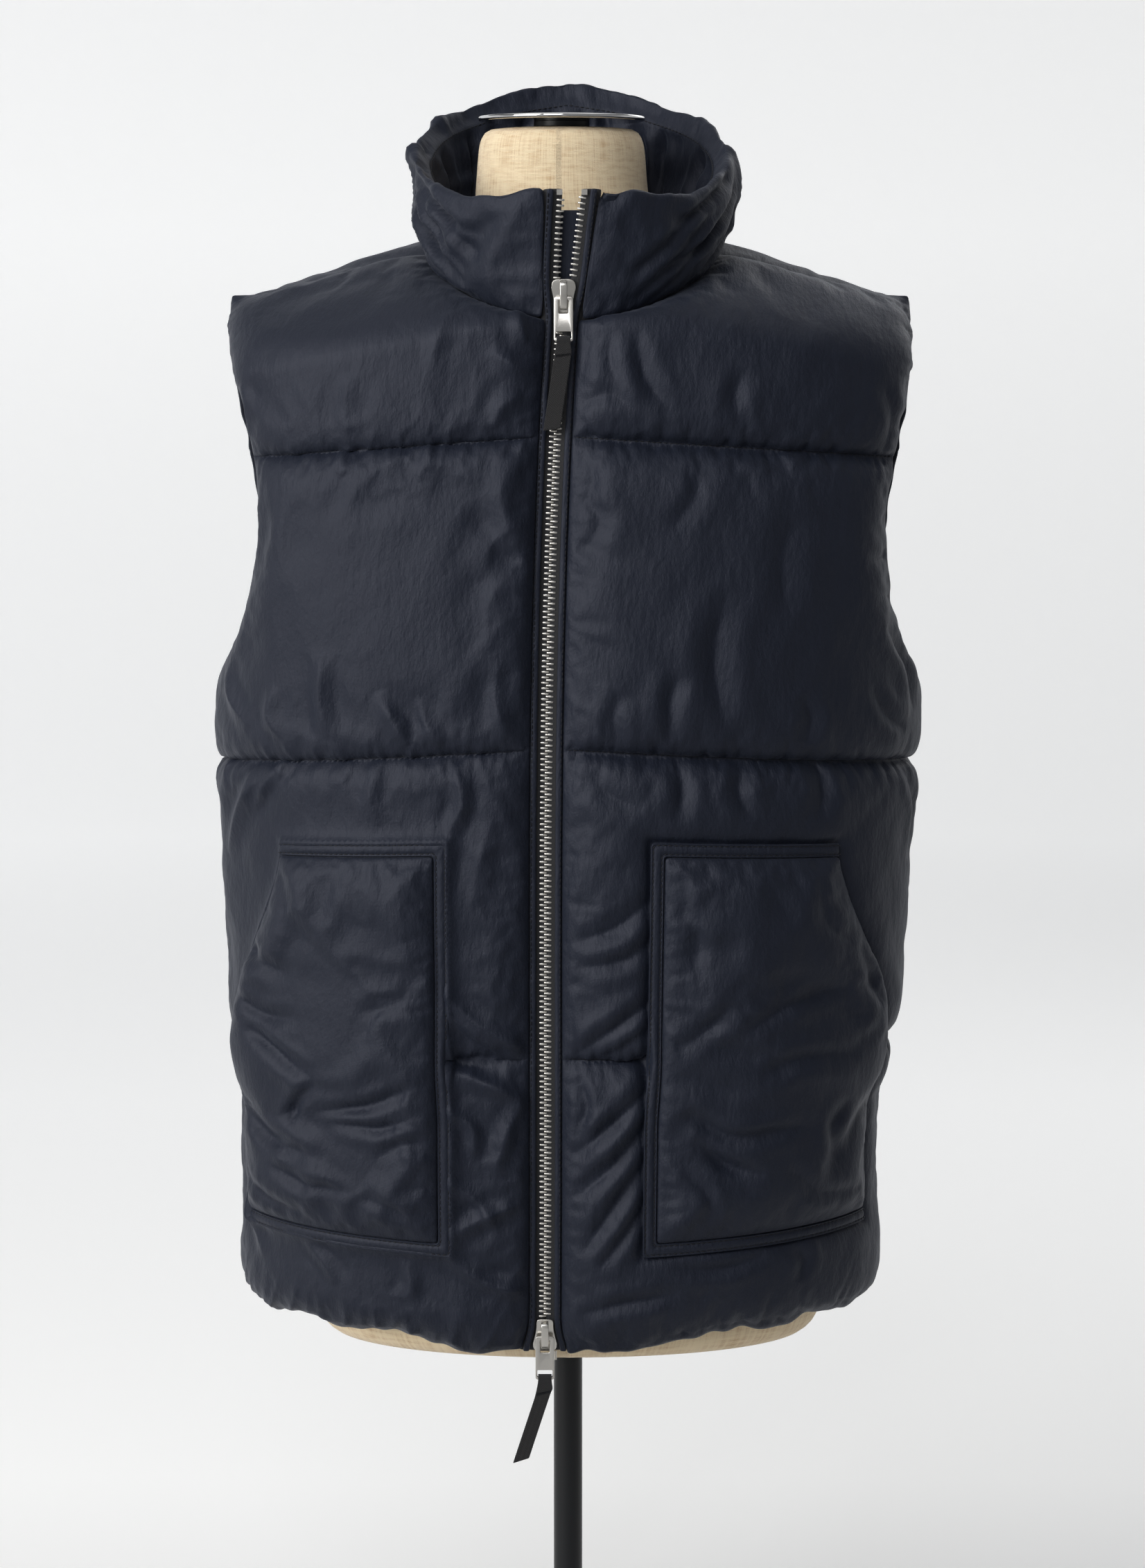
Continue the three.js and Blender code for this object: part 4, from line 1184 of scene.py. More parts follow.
    def edge_drape(self, cloth: Array) -> Array:
        """Say how far each point near a free edge moves: the hem's and armhole's waves, and the tip."""
        distance, level = self.distances(cloth)
        side = self.sides_of(cloth)
        edge = self.edge(1, HEM, TIP, True)
        from_outer = np.maximum(0, np.interp(cloth[:, 1], edge[:, 1], edge[:, 0]) - np.abs(cloth[:, 0]))
        along_hem, along_arm = (np.stack([cloth[:, k], cloth[:, k] * 0], 1) for k in (0, 1))
        above = level - HEM
        lifted = DRAPE.hem_rise * (smooth((distance - 20) / 70) if self.half.facing < 0 else 1.0)
        drape = np.zeros((len(cloth), 3))
        for offset, height, length, fade in ((3, DRAPE.hem_wave, 62, 26), (4, DRAPE.hem_ripple, 19, 9)):
            wave = Noise(self.seed + offset, length).at(along_hem)
            drape[:, 2] += height * wave * np.exp(-above / fade)
        drape[:, 2] += lifted * np.exp(-above / 28)
        share = smooth((level - UNDERARM - 4) / 14) * smooth((TIP - 6 - level) / 14)
        wave = DRAPE.armhole_wave * Noise(self.seed + 5, 24).at(along_arm)
        drape[:, 0] += side * share * wave * np.exp(-from_outer / 9)
        tip = np.exp(-((TIP - level) / 14) - from_outer / 13)
        stands = np.stack([DRAPE.tip_out * side, side * 0, side * 0 + DRAPE.tip_up], 1)
        return drape + tip[:, None] * stands

    def build(self, material: bpy.types.Material) -> bpy.types.Object:
        """Make the panel: cut it, blow it up, close it and press its folds in."""
        outline = np.concatenate([spaced(chain, self.SPACING)[:-1] for chain in self.outline_chains()])
        rim = len(outline)
        cloth, faces, points, normals = self.sheet(outline, self.SPACING)
        full = self.fullness(cloth, points)
        outer = points + normals * (PAD.seam + PAD.out * full)[:, None]
        held = (full < FLAT).astype(float)
        held[:rim] = 1
        held[(self.pressed(cloth) > 0) | (self.to_quilting(cloth) < ON_LINE)] = 1
        settled = self.swelling.settle(self.name, outer, faces, held, normals, self.seed)
        # Near the seams the settled cloth is kept, with its small folds; far from them, little of it.
        kept = mix(0.9, 0.18, smooth((self.from_seams(cloth) - 14) / 40))
        outer = mix(outer, settled, kept[:, None])
        lining, lining_faces, inner, inward = self.sheet(outline, self.LINING_SPACING)
        press = form_presses(self.distances(lining)[1])
        inner = inner - inward * (PAD.seam + PAD.inside * self.fullness(lining, inner) * press)[:, None]
        outer = outer + self.edge_drape(cloth)
        inner = inner + self.edge_drape(lining)
        ring, ring_cloth = self.rounded_rim(cloth, faces, points, outer, inner, rim)
        cloths, sheets = (cloth, lining, ring_cloth), (outer, inner, ring)
        return pressed_by(self.closed(material, cloths, (faces, lining_faces), sheets), self.folded)

    def from_seams(self, cloth: Array) -> Array:
        """Measure each point's distance on the flat cloth to the nearest seam or quilting line."""
        edge = np.concatenate([spaced(chain, 14) for chain in self.outline_chains()])
        return np.minimum(to_line(cloth, edge), self.to_quilting(cloth))

    def to_quilting(self, cloth: Array) -> Array:
        """Measure each point's distance on the flat cloth to the nearest quilting line."""
        return np.min([to_line(cloth, line) for line in self.seam_lines()], axis=0)

    def rounded_rim(
        self, cloth: Array, faces: Array, points: Array, outer: Array, inner: Array, rim: int
    ) -> tuple[Array, Array]:
        """Place a row of points round the panel's edge, standing out where the edge is free.

        Args:
            cloth: The outer sheet's points on the flat cloth.
            faces: Its triangles.
            points: The middle surface.
            outer: The outer sheet.
            inner: The inner sheet.
            rim: How many points the outline has.

        Returns:
            The row's places, and its points on the flat cloth.
        """
        places = self.on_outline(cloth[:rim])
        is_hem = places.level < HEM + 0.5
        is_armhole = places.ends & (places.level > UNDERARM + 2) & (places.level < TIP - 2)
        middle = (outer[:rim] + inner[:rim]) / 2
        thick = np.linalg.norm(outer[:rim] - inner[:rim], axis=1)
        centres = points[faces].mean(axis=1)
        away = np.zeros((rim, 3))
        for k in range(3):
            rows = faces[:, k] < rim
            np.add.at(away, faces[rows, k], points[faces[rows, k]] - centres[rows])
        across = unit(outer[:rim] - inner[:rim])
        away = unit(away - (away * across).sum(axis=1, keepdims=True) * across)
        bulge = thick * np.where(is_hem, self.HEM_BULGE, np.where(is_armhole, self.ARMHOLE_BULGE, 0.0))
        return middle + away * bulge[:, None], cloth[:rim]

    def closed(
        self,
        material: bpy.types.Material,
        cloths: tuple[Array, Array, Array],
        faces: tuple[Array, Array],
        sheets: tuple[Array, Array, Array],
    ) -> bpy.types.Object:
        """Close the two sheets and the edge row between them into one subdivided mesh.

        Args:
            material: The cloth.
            cloths: Flat points of the outer sheet, the lining and the edge row.
            faces: Triangles of the outer sheet and of the lining.
            sheets: Places of the outer sheet, the lining and the edge row.

        Returns:
            The closed panel.
        """
        outer_count, lining_count, rim = len(cloths[0]), len(cloths[1]), len(cloths[2])
        quads = [face.tolist() for face in faces[0]]
        quads += [[int(i) + outer_count for i in face[::-1]] for face in faces[1]]
        base = outer_count + lining_count
        for a, b in outline_edges(faces[0], rim):
            quads.append([b, a, base + a, base + b])
            quads.append([base + b, base + a, outer_count + a, outer_count + b])
        cloth = np.concatenate(cloths)
        sides = np.sort(faces[0][:, [[0, 1], [1, 2], [2, 0]]].reshape(-1, 2), axis=1)
        sewn = self.to_quilting(cloths[0]) < ON_LINE
        sharp = {(int(a), int(b)): 1.0 for a, b in sides[sewn[sides].all(axis=1)]}
        obj = mesh_object(self.name, np.concatenate(sheets), quads, material, cloth, sharp)
        return remembered(obj, cloth, (np.arange(len(cloth)) < outer_count).astype(float))

    def gathers(self, cloth: Array) -> Array:
        """Say how far the quilting, the hem and the edges gather each point outwards."""
        distance, level = self.distances(cloth)
        total = HEM_GATHERS.lift(cloth[:, 0], level - HEM + 2, self.seed + 19)
        for number, line in enumerate(self.seam_lines()):
            along, away = along_line(cloth, line)
            total += QUILTING_GATHERS.lift(along, away, self.seed + 20 + number)
        edge = self.edge(1, HEM, TIP, True)
        outer = np.interp(cloth[:, 1], edge[:, 1], edge[:, 0]) - np.abs(cloth[:, 0])
        total += EDGE_GATHERS.lift(cloth[:, 1], outer, self.seed + 30)
        if self.half.facing < 0:
            total += FRONT_EDGE_GATHERS.lift(cloth[:, 1], distance, self.seed + 31)
        return total

    def folded(self, cloth: Array, is_outer: Array) -> tuple[Array, Array]:
        """Say how far the folds, gathers and stitching move each point out, and down."""
        lift = self.gathers(cloth) + 0.3 * Noise(self.seed + 1, 30, stretch=1.6).at(cloth)
        for crease in self.creases:
            lift += crease.lift(cloth)
        lift = lift * self.freedom(cloth) - self.sewn_in(cloth)
        return lift * is_outer, self.overhang(cloth) * is_outer

    def sewn_in(self, cloth: Array) -> Array:
        """Say how far the quilting's stitching pulls each point in."""
        pull = self.STITCH_DEPTH * np.exp(-self.to_quilting(cloth) / self.STITCH_WIDTH)
        return pull * (1 - smooth(self.pressed(cloth)))

    def overhang(self, cloth: Array) -> Array:
        """Say how far the padding above each quilting line hangs down over the stitching."""
        _, level = self.distances(cloth)
        total = np.zeros(len(cloth))
        for value in QUILT_LEVELS:
            above = np.maximum(0, level - value) / self.OVERHANG_HEIGHT
            total += self.OVERHANG * above * np.exp(1 - above)
        return total * (1 - smooth(self.pressed(cloth)))

    def freedom(self, cloth: Array) -> Array:
        """Say how free each point is to move, from 0 at a seam to 1."""
        distance, level = self.distances(cloth)
        free = smooth((level - HEM + 6) / 12) * smooth((TIP - level) / 8)
        free = free * smooth(self.to_start(distance, level) / 6) * smooth(self.to_quilting(cloth) / 2.5)
        edge = np.concatenate([spaced(chain, 12) for chain in self.outline_chains()])
        return free * smooth(to_line(cloth, edge) / 7) * (1 - smooth(self.pressed(cloth)))


def along_line(cloth: Array, line: Array) -> tuple[Array, Array]:
    """Measure each point's distance along a nearly level line and its signed distance from it."""
    order = np.argsort(line[:, 0])
    height = np.interp(cloth[:, 0], line[order, 0], line[order, 1])
    return cloth[:, 0], cloth[:, 1] - height


class FrontPanel(PaddedPanel):
    """The left or right front, quilted across the chest, the waist and behind the pocket."""

    SPACING = 3.7

    # The trough round the pocket's stitching, and the swell beyond it: how high and how far out.
    TROUGH, TROUGH_WIDTH = 2.6, 3.4
    SWELL, SWELL_AWAY = 2.2, 12.0

    def __init__(self, side: int, creases: Sequence[Crease]) -> None:
        """Plan the front of one side, with its folds."""
        self.side = side
        self.pocket = pocket_outline(side, 0, 5.0)
        node = "front_left" if side < 0 else "front_right"
        super().__init__(node, FRONT, SEED + (100 if side < 0 else 200), Swelling(), creases)

    def outline_chains(self) -> list[Array]:
        """List the hem, side seam, armhole, shoulder, neck and front edge."""
        start_low = self.edge(self.side, HEM, HEM, False)[0]
        end_low = self.edge(self.side, HEM, HEM, True)[0]
        side_seam = self.edge(self.side, HEM, UNDERARM, True)
        armhole = self.edge(self.side, UNDERARM, TIP, True)
        neck = self.edge(self.side, TIP, FRONT.neck_level, False)
        front_edge = self.edge(self.side, FRONT.neck_level, HEM, False)
        hem = np.array([start_low, end_low])
        return [hem, side_seam, armhole, np.array([armhole[-1], neck[0]]), neck, front_edge]

    def sides_of(self, cloth: Array) -> Array:
        """Every point is on this panel's side."""
        return np.full(len(cloth), self.side)

    def ends(self, level: float) -> tuple[float, float]:
        """Run from the front edge to the side seam."""
        return 0.0, FRONT.curve(level, self.side).total

    def pressed(self, cloth: Array) -> Array:
        """Tell where the pocket lies on the panel."""
        depth = to_line(cloth, np.concatenate([self.pocket, self.pocket[:1]]))
        return np.where(inside(cloth, self.pocket), smooth(depth / 7), 0)

    def gathers(self, cloth: Array) -> Array:
        """Add the trough that the pocket's stitching draws round it, and the swell beyond."""
        away = to_line(cloth, np.concatenate([self.pocket, self.pocket[:1]]))
        swell = np.where(inside(cloth, self.pocket), 0, away / self.SWELL_AWAY)
        trough = self.TROUGH * np.exp(-((away / self.TROUGH_WIDTH) ** 1.2))
        return super().gathers(cloth) + self.SWELL * swell * np.exp(1 - swell) - trough


class BackPanel(PaddedPanel):
    """The whole back, quilted at the fronts' levels."""

    def __init__(self, creases: Sequence[Crease]) -> None:
        """Plan the back, with its folds."""
        super().__init__("back", BACK, SEED + 300, Swelling(), creases)

    def outline_chains(self) -> list[Array]:
        """List the hem and then each half's edges, right and left."""
        flip = np.array([-1.0, 1.0])
        hem = np.array([self.edge(-1, HEM, HEM, True)[0] * flip, self.edge(1, HEM, HEM, True)[0]])
        right = [self.edge(1, HEM, UNDERARM, True), self.edge(1, UNDERARM, TIP, True)]
        neck_right = self.edge(1, TIP, BACK.neck_level, False)
        neck_left = self.edge(-1, BACK.neck_level, TIP, False) * flip
        left = [self.edge(-1, *ends, True) * flip for ends in ((TIP, UNDERARM), (UNDERARM, HEM))]
        shoulder_right = np.array([right[1][-1], neck_right[0]])
        shoulder_left = np.array([neck_left[-1], left[0][0]])
        return [hem, *right, shoulder_right, neck_right, neck_left, shoulder_left, *left]

    def sides_of(self, cloth: Array) -> Array:
        """Tell the left half from the right one."""
        return np.where(cloth[:, 0] < 0, -1, 1)

    def ends(self, level: float) -> tuple[float, float]:
        """Run from side seam to side seam."""
        return -BACK.curve(level, -1).total, BACK.curve(level, 1).total

    def to_start(self, distance: Array, level: Array) -> Array:
        """Only the neck seam pinches the middle of the back."""
        return distance + np.maximum(0, BACK.neck_level - level) * 1.2


# ------------------------------------------------------------------ collar
@dataclass(frozen=True)
class CollarSizes:
    """The collar's top loop, its height, and its fullness outside and inside."""

    half: float = 96.0
    centre_y: float = -16.0
    depth: float = 107.0
    height: float = 80.0
    out: float = 5.5
    inside: float = 6.0
    rise: float = 16.0
    top: float = 3.0
    bow: float = 2.0
    stitch_down: float = 10.0


class Collar:
    """The stand collar: one cloth tube from the neck seam up the outside and down the inside."""

    COLUMNS = 150
    ROWS = 17
    # Heights on the flat cloth, from the outer seam up the outside and down the inside.
    RISE, TOP_EDGE, FALL, INNER_SEAM = 80.0, 83.0, 86.0, 166.0

    def __init__(self, sizes: CollarSizes, creases: Sequence[Crease]) -> None:
        """Plan the collar with its sizes and its outer folds."""
        self.sizes = sizes
        self.creases = creases

    def front_angle(self, side: int, v: float) -> float:
        """Give the angle of the front edge at a height from 0, the seam, to 1, the top."""
        low, high = float(NECK.point(0.0)[2]), float(collar_top_z(0))
        reach = float(front_edge_x(side, mix(low, high, v))) + GAP
        return math.asin(reach / mix(NECK.half, self.sizes.half, v))

    def point(self, side: int, angle: float, v: float) -> Array:
        """Place a point of the middle surface by its angle from the front and its height."""
        top_y = self.sizes.centre_y - self.sizes.depth * math.cos(angle)
        top_z = float(collar_top_z(math.degrees(angle)))
        top = np.array([self.sizes.half * math.sin(angle), top_y, top_z])
        bow = self.sizes.bow * math.sin(math.pi * v) * math.sin(angle / 2)
        outward = np.array([math.sin(angle), -math.cos(angle), 0.0])
        return placed(side, mix(NECK.point(angle), top, v) + bow * outward)

    def stations(self, v: float) -> list[tuple[int, float]]:
        """List the columns' sides and angles at a height, from the left front edge round."""
        half = self.COLUMNS // 2
        left, right = self.front_angle(-1, v), self.front_angle(1, v)
        ring = [(-1, mix(left, math.pi, i / half)) for i in range(half)]
        return ring + [(1, mix(math.pi, right, i / half)) for i in range(half + 1)]

    def surface(self) -> tuple[Array, Array]:
        """Lay out the middle surface and its outward directions, row by row."""
        heights = np.linspace(0, 1, self.ROWS)
        grid = np.array([[self.point(s, a, v) for s, a in self.stations(v)] for v in heights])
        across = np.gradient(grid, axis=1)
        up = np.gradient(grid, axis=0)
        normals = unit(np.cross(across, up))
        middle = np.array([0.0, -14.0, 0.0])
        outward = (grid - middle) * np.array([1.0, 1.0, 0.0])
        if (normals * outward).sum() < 0:
            normals = -normals
        for c, (side, angle) in enumerate(self.stations(0)):
            normals[0, c] = neck_mitre(side, angle)
            x, y, z = normals[0, c]
            grid[0, c] += unit(np.array([-z * x, -z * y, x * x + y * y])) * GAP
        normals[:, [0, -1], 0] = 0
        return grid, unit(normals)

    def fullness(self) -> Array:
        """Say how full the collar is at each row and column."""
        sizes = self.sizes
        full = np.zeros((self.ROWS, self.COLUMNS + 1))
        for r, v in enumerate(np.linspace(0, 1, self.ROWS)):
            ring = self.stations(v)
            for c, (side, angle) in enumerate(ring):
                to_edge = NECK.half * (angle - (ring[0][1] if side < 0 else ring[-1][1]))
                top = (1 - v) * sizes.height + sizes.top
                full[r, c] = risen(v * sizes.height, sizes.rise) * risen(top, sizes.rise)
                full[r, c] *= risen(to_edge, sizes.rise)
        return full

    def build(self, material: bpy.types.Material) -> bpy.types.Object:
        """Make the collar: lay it out, blow it up, close its ends and press its folds in."""
        grid, normals = self.surface()
        full = self.fullness()[..., None]
        outer = grid + normals * (PAD.seam + self.sizes.out * full)
        lining = grid - normals * (PAD.seam + self.sizes.inside * full)
        thick = np.linalg.norm(outer[-1] - lining[-1], axis=1)[:, None]
        edge = (outer[-1] + lining[-1]) / 2 + unit(grid[-1] - grid[-2]) * thick * 0.5
        loops = np.concatenate([outer, edge[None], lining[::-1]])
        rows, columns = loops.shape[:2]
        faces = grid_faces(rows, columns)
        points = loops.reshape(-1, 3)
        out = np.concatenate([normals, unit(grid[-1:] - grid[-2:-1]), -normals[::-1]]).reshape(-1, 3)
        held = np.zeros((rows, columns))
        held[[0, -1, self.ROWS + 1 + self.stitch_rows()]] = 1
        held[:, [0, -1]] = 1
        triangles = np.array([[f[0], f[1], f[2]] for f in faces] + [[f[0], f[2], f[3]] for f in faces])
        swelling = Swelling(pressure=3, growth=0.03, least=-4, most=6, stiffness=3)
        points = swelling.settle("collar", points, triangles, held.ravel(), out, SEED + 400)
        faces += [list(range(0, rows * columns, columns))]
        faces += [list(range(columns - 1, rows * columns, columns))[::-1]]
        last = (rows - 1) * columns
        low = [[c + 1, c, last + c, last + c + 1] for c in range(columns - 1)]
        lengths = running(grid[self.ROWS // 2])
        rise = np.linspace(0, self.RISE, self.ROWS)
        fall = np.linspace(self.FALL, self.INNER_SEAM, self.ROWS)
        heights = np.concatenate([rise, [self.TOP_EDGE], fall])
        cloth = np.stack(np.meshgrid(lengths - lengths[-1] / 2, heights), -1).reshape(-1, 2)
        obj = mesh_object("vest_collar", points, facing_out(points, faces + low), material, cloth)
        return pressed_by(remembered(obj, cloth, 1 - held), self.folded)

    def folded(self, cloth: Array, free: Array) -> tuple[Array, float]:
        """Say how far the folds, and the gathers at the seams and the top edge, move each point out."""
        lift = 0.3 * Noise(SEED + 401, 24).at(cloth)
        for crease in self.creases:
            lift += crease.lift(cloth)
        from_top = cloth[:, 1] - self.TOP_EDGE
        lift += RIM_GATHERS.lift(cloth[:, 0], from_top, SEED + 420)
        along = np.stack([cloth[:, 0], cloth[:, 0] * 0], 1)
        lift += 1.1 * Noise(SEED + 421, 30).at(along) * np.exp(-((from_top / 11) ** 2))
        for number, height in enumerate((0.0, self.FALL + self.sizes.stitch_down, self.INNER_SEAM)):
            lift += COLLAR_GATHERS.lift(cloth[:, 0], cloth[:, 1] - height, SEED + 410 + number)
        return lift * smooth(free), 0.0

    def stitch_rows(self) -> int:
        """Count the rows between the top edge and the topstitching."""
        return round(self.sizes.stitch_down / self.sizes.height * (self.ROWS - 1))

    def stitch_line(self) -> Array:
        """Draw the topstitching round the inside, below the top edge, with its outward direction."""
        grid, normals = self.surface()
        row = self.ROWS - 1 - self.stitch_rows()
        full = self.fullness()[row][:, None]
        points = grid[row] - normals[row] * (PAD.seam + self.sizes.inside * full)
        return np.concatenate([points, -normals[row]], 1)


# ------------------------------------------------------------------ front edges and zip
front_line = [(row.z, SEAM_Y - row.depth) for row in FRONT_SECTIONS if not math.isnan(row.z)]
front_y = pairs(front_line + [(1085.0, -16.0 - 107.0)])


def along_zip(side: int, heights: Array, away: Any, out: Any) -> Array:
    """Place points beside the zip.

    Args:
        side: -1 for the left edge and +1 for the right one.
        heights: Their heights.
        away: Their distances from the zip's centre line.
        out: Their distances in front of the panels' middle surface.

    Returns:
        Their places.
    """
    x = ZIP.x(heights) + side * (away + zip_parting(heights))
    return np.stack([x, front_y(heights) - out, heights + 0 * x], -1)


class FrontEdge:
    """The strips at one front edge: a folded placket of the shell cloth, and the zip's tape."""

    PLACKET = ((5.9, 0.9), (6.5, 1.5), (8.0, 1.75), (9.4, 1.5), (10.0, 0.8), (10.0, -0.9), (9.3, -1.5))
    PLACKET_BACK = ((8.0, -1.5), (6.6, -1.5), (5.9, -0.8))
    TAPE = ((3.6, -1.9), (5.4, -1.9), (9.6, -2.3), (12.7, -3.0), (12.7, -4.0), (9.6, -3.9), (5.4, -3.5))
    TAPE_BEAD = ((3.6, -3.5), (1.5, -3.3), (0.6, -3.1), (0.4, -2.6), (0.6, -2.1), (1.5, -1.9))

    def __init__(self, side: int) -> None:
        """Choose the side, -1 for the left and +1 for the right."""
        self.side = side
        self.word = "left" if side < 0 else "right"

    def strip(
        self,
        name: str,
        section: Sequence[tuple[float, float]],
        heights: Array,
        material: bpy.types.Material,
    ) -> bpy.types.Object:
        """Run a cross-section of distance and depth up the front edge.

        Args:
            name: The piece's name.
            section: Its corners, as distances from the zip and in front of the middle surface.
            heights: The heights of its rows.
            material: Its cloth.

        Returns:
            The subdivided strip.
        """
        rings = np.array([along_zip(self.side, heights, away, out) for away, out in section])
        points, faces = tube(rings.transpose(1, 0, 2))
        ring = np.array(section)
        around = running(np.concatenate([ring, ring[:1]]))[:-1]
        uv = np.stack(np.meshgrid(around, heights), -1).reshape(-1, 2)
        return subdivided(mesh_object(name, points, faces, material, uv))

    def placket(self, material: bpy.types.Material) -> bpy.types.Object:
        """Make the folded strip beside the teeth."""
        heights = np.concatenate([[350.0, 351.0], np.arange(356, 1080, 6.0), [1084.0, 1085.0]])
        uneven = Noise(SEED + 500 + self.side, 40).at(np.stack([heights, heights * 0], 1))
        section = self.PLACKET + self.PLACKET_BACK
        obj = self.strip(f"vest_placket_{self.word}", section, heights, material)
        mesh = obj.data
        points = coordinates(mesh)
        front = points[:, 1] < front_y(points[:, 2])
        points[front, 1] -= 0.35 * np.interp(points[front, 2], heights, uneven) - 0.1
        mesh.vertices.foreach_set("co", (points * MM).ravel())
        mesh.update()
        return obj

    def tape(self, material: bpy.types.Material) -> bpy.types.Object:
        """Make the zip's tape, with a bead along the edge that holds the teeth."""
        heights = np.concatenate([[350.0, 351.0], np.arange(358, 1080, 9.0), [1084.0, 1085.0]])
        return self.strip(f"vest_zip_tape_{self.word}", self.TAPE + self.TAPE_BEAD, heights, material)


class RowOfPieces:
    """Repeats one small piece evenly along a line, with Geometry Nodes."""

    def __init__(self, name: str, piece: bpy.types.Object, material: bpy.types.Material) -> None:
        """Build the tree that lays out the piece.

        Args:
            name: The row's name.
            piece: The piece that is repeated, drawn with Z along the line and Y outwards.
            material: The row's finish.
        """
        self.name = name
        self.piece = piece
        self.material = material
        self.tree = bpy.data.node_groups.new(name + "_row", "GeometryNodeTree")
        self._declare()
        self._connect()

    def _declare(self) -> None:
        """Name the tree's inputs and output."""
        add = self.tree.interface.new_socket
        for name, kind in (("Line", "Geometry"), ("Count", "Int"), ("Piece", "Object")):
            add(name, in_out="INPUT", socket_type="NodeSocket" + kind)
        add("Row", in_out="OUTPUT", socket_type="NodeSocketGeometry")

    def _connect(self) -> None:
        """Wire the line through resampling, instancing and turning."""
        add = Board(self.tree).add
        given = add("NodeGroupInput").outputs
        line = add("GeometryNodeMeshToCurve", {"Mesh": given["Line"]}).outputs["Curve"]
        even = add("GeometryNodeResampleCurve", {"Curve": line, "Count": given["Count"]}, mode="COUNT")
        facing = add("GeometryNodeInputNamedAttribute", {"Name": "facing"}, data_type="FLOAT_VECTOR")
        tangent = add("GeometryNodeInputTangent").outputs["Tangent"]
        rise = add("FunctionNodeAlignRotationToVector", {"Vector": tangent}, axis="Z")
        turning = {"Rotation": rise.outputs["Rotation"], "Vector": facing.outputs["Attribute"]}
        turn = add("FunctionNodeAlignRotationToVector", turning, axis="Y", pivot_axis="Z")
        piece = add("GeometryNodeObjectInfo", {"Object": given["Piece"]}, transform_space="ORIGINAL")
        laying = {
            "Points": even.outputs["Curve"],
            "Instance": piece.outputs["Geometry"],
            "Rotation": turn.outputs["Rotation"],
        }
        lay = add("GeometryNodeInstanceOnPoints", laying).outputs["Instances"]
        real = add("GeometryNodeRealizeInstances", {"Geometry": lay}).outputs["Geometry"]
        dress = add("GeometryNodeSetMaterial", {"Geometry": real, "Material": self.material})
        add("NodeGroupOutput", {"Row": dress.outputs["Geometry"]})

    def laid(self, lines: Sequence[Array], pitch: float) -> list[bpy.types.Object]:
        """Lay the piece along lines.

        Args:
            lines: Rows of place and outward direction, in millimetres.
            pitch: The distance between pieces, in millimetres.

        Returns:
            One plain mesh for each line.
        """
        rows = []
        sockets = {item.name: item.identifier for item in self.tree.interface.items_tree}
        for number, line in enumerate(lines):
            name = f"{self.name}_{number}"
            mesh = bpy.data.meshes.new(name)
            edges = [(i, i + 1) for i in range(len(line) - 1)]
            mesh.from_pydata((line[:, :3] * MM).tolist(), edges, [])
            layer = mesh.attributes.new("facing", "FLOAT_VECTOR", "POINT")
            layer.data.foreach_set("vector", line[:, 3:].ravel())
            obj = bpy.data.objects.new(name, mesh)
            bpy.context.scene.collection.objects.link(obj)
            modifier = obj.modifiers.new("row", "NODES")
            modifier.node_group = self.tree
            count = max(2, round(float(running(line[:, :3])[-1]) / pitch) + 1)
            modifier[sockets["Count"]] = count
            modifier[sockets["Piece"]] = self.piece
            rows.append(made_plain(obj))
        return rows


def joined(name: str, objects: Sequence[bpy.types.Object]) -> bpy.types.Object:
    """Join plain meshes into one piece with a new name."""
    chosen = {"selected_objects": list(objects), "selected_editable_objects": list(objects)}
    with bpy.context.temp_override(active_object=objects[0], **chosen):
        bpy.ops.object.join()
    objects[0].name = name
    objects[0].data.name = name
    objects[0].data.shade_smooth()
    return objects[0]


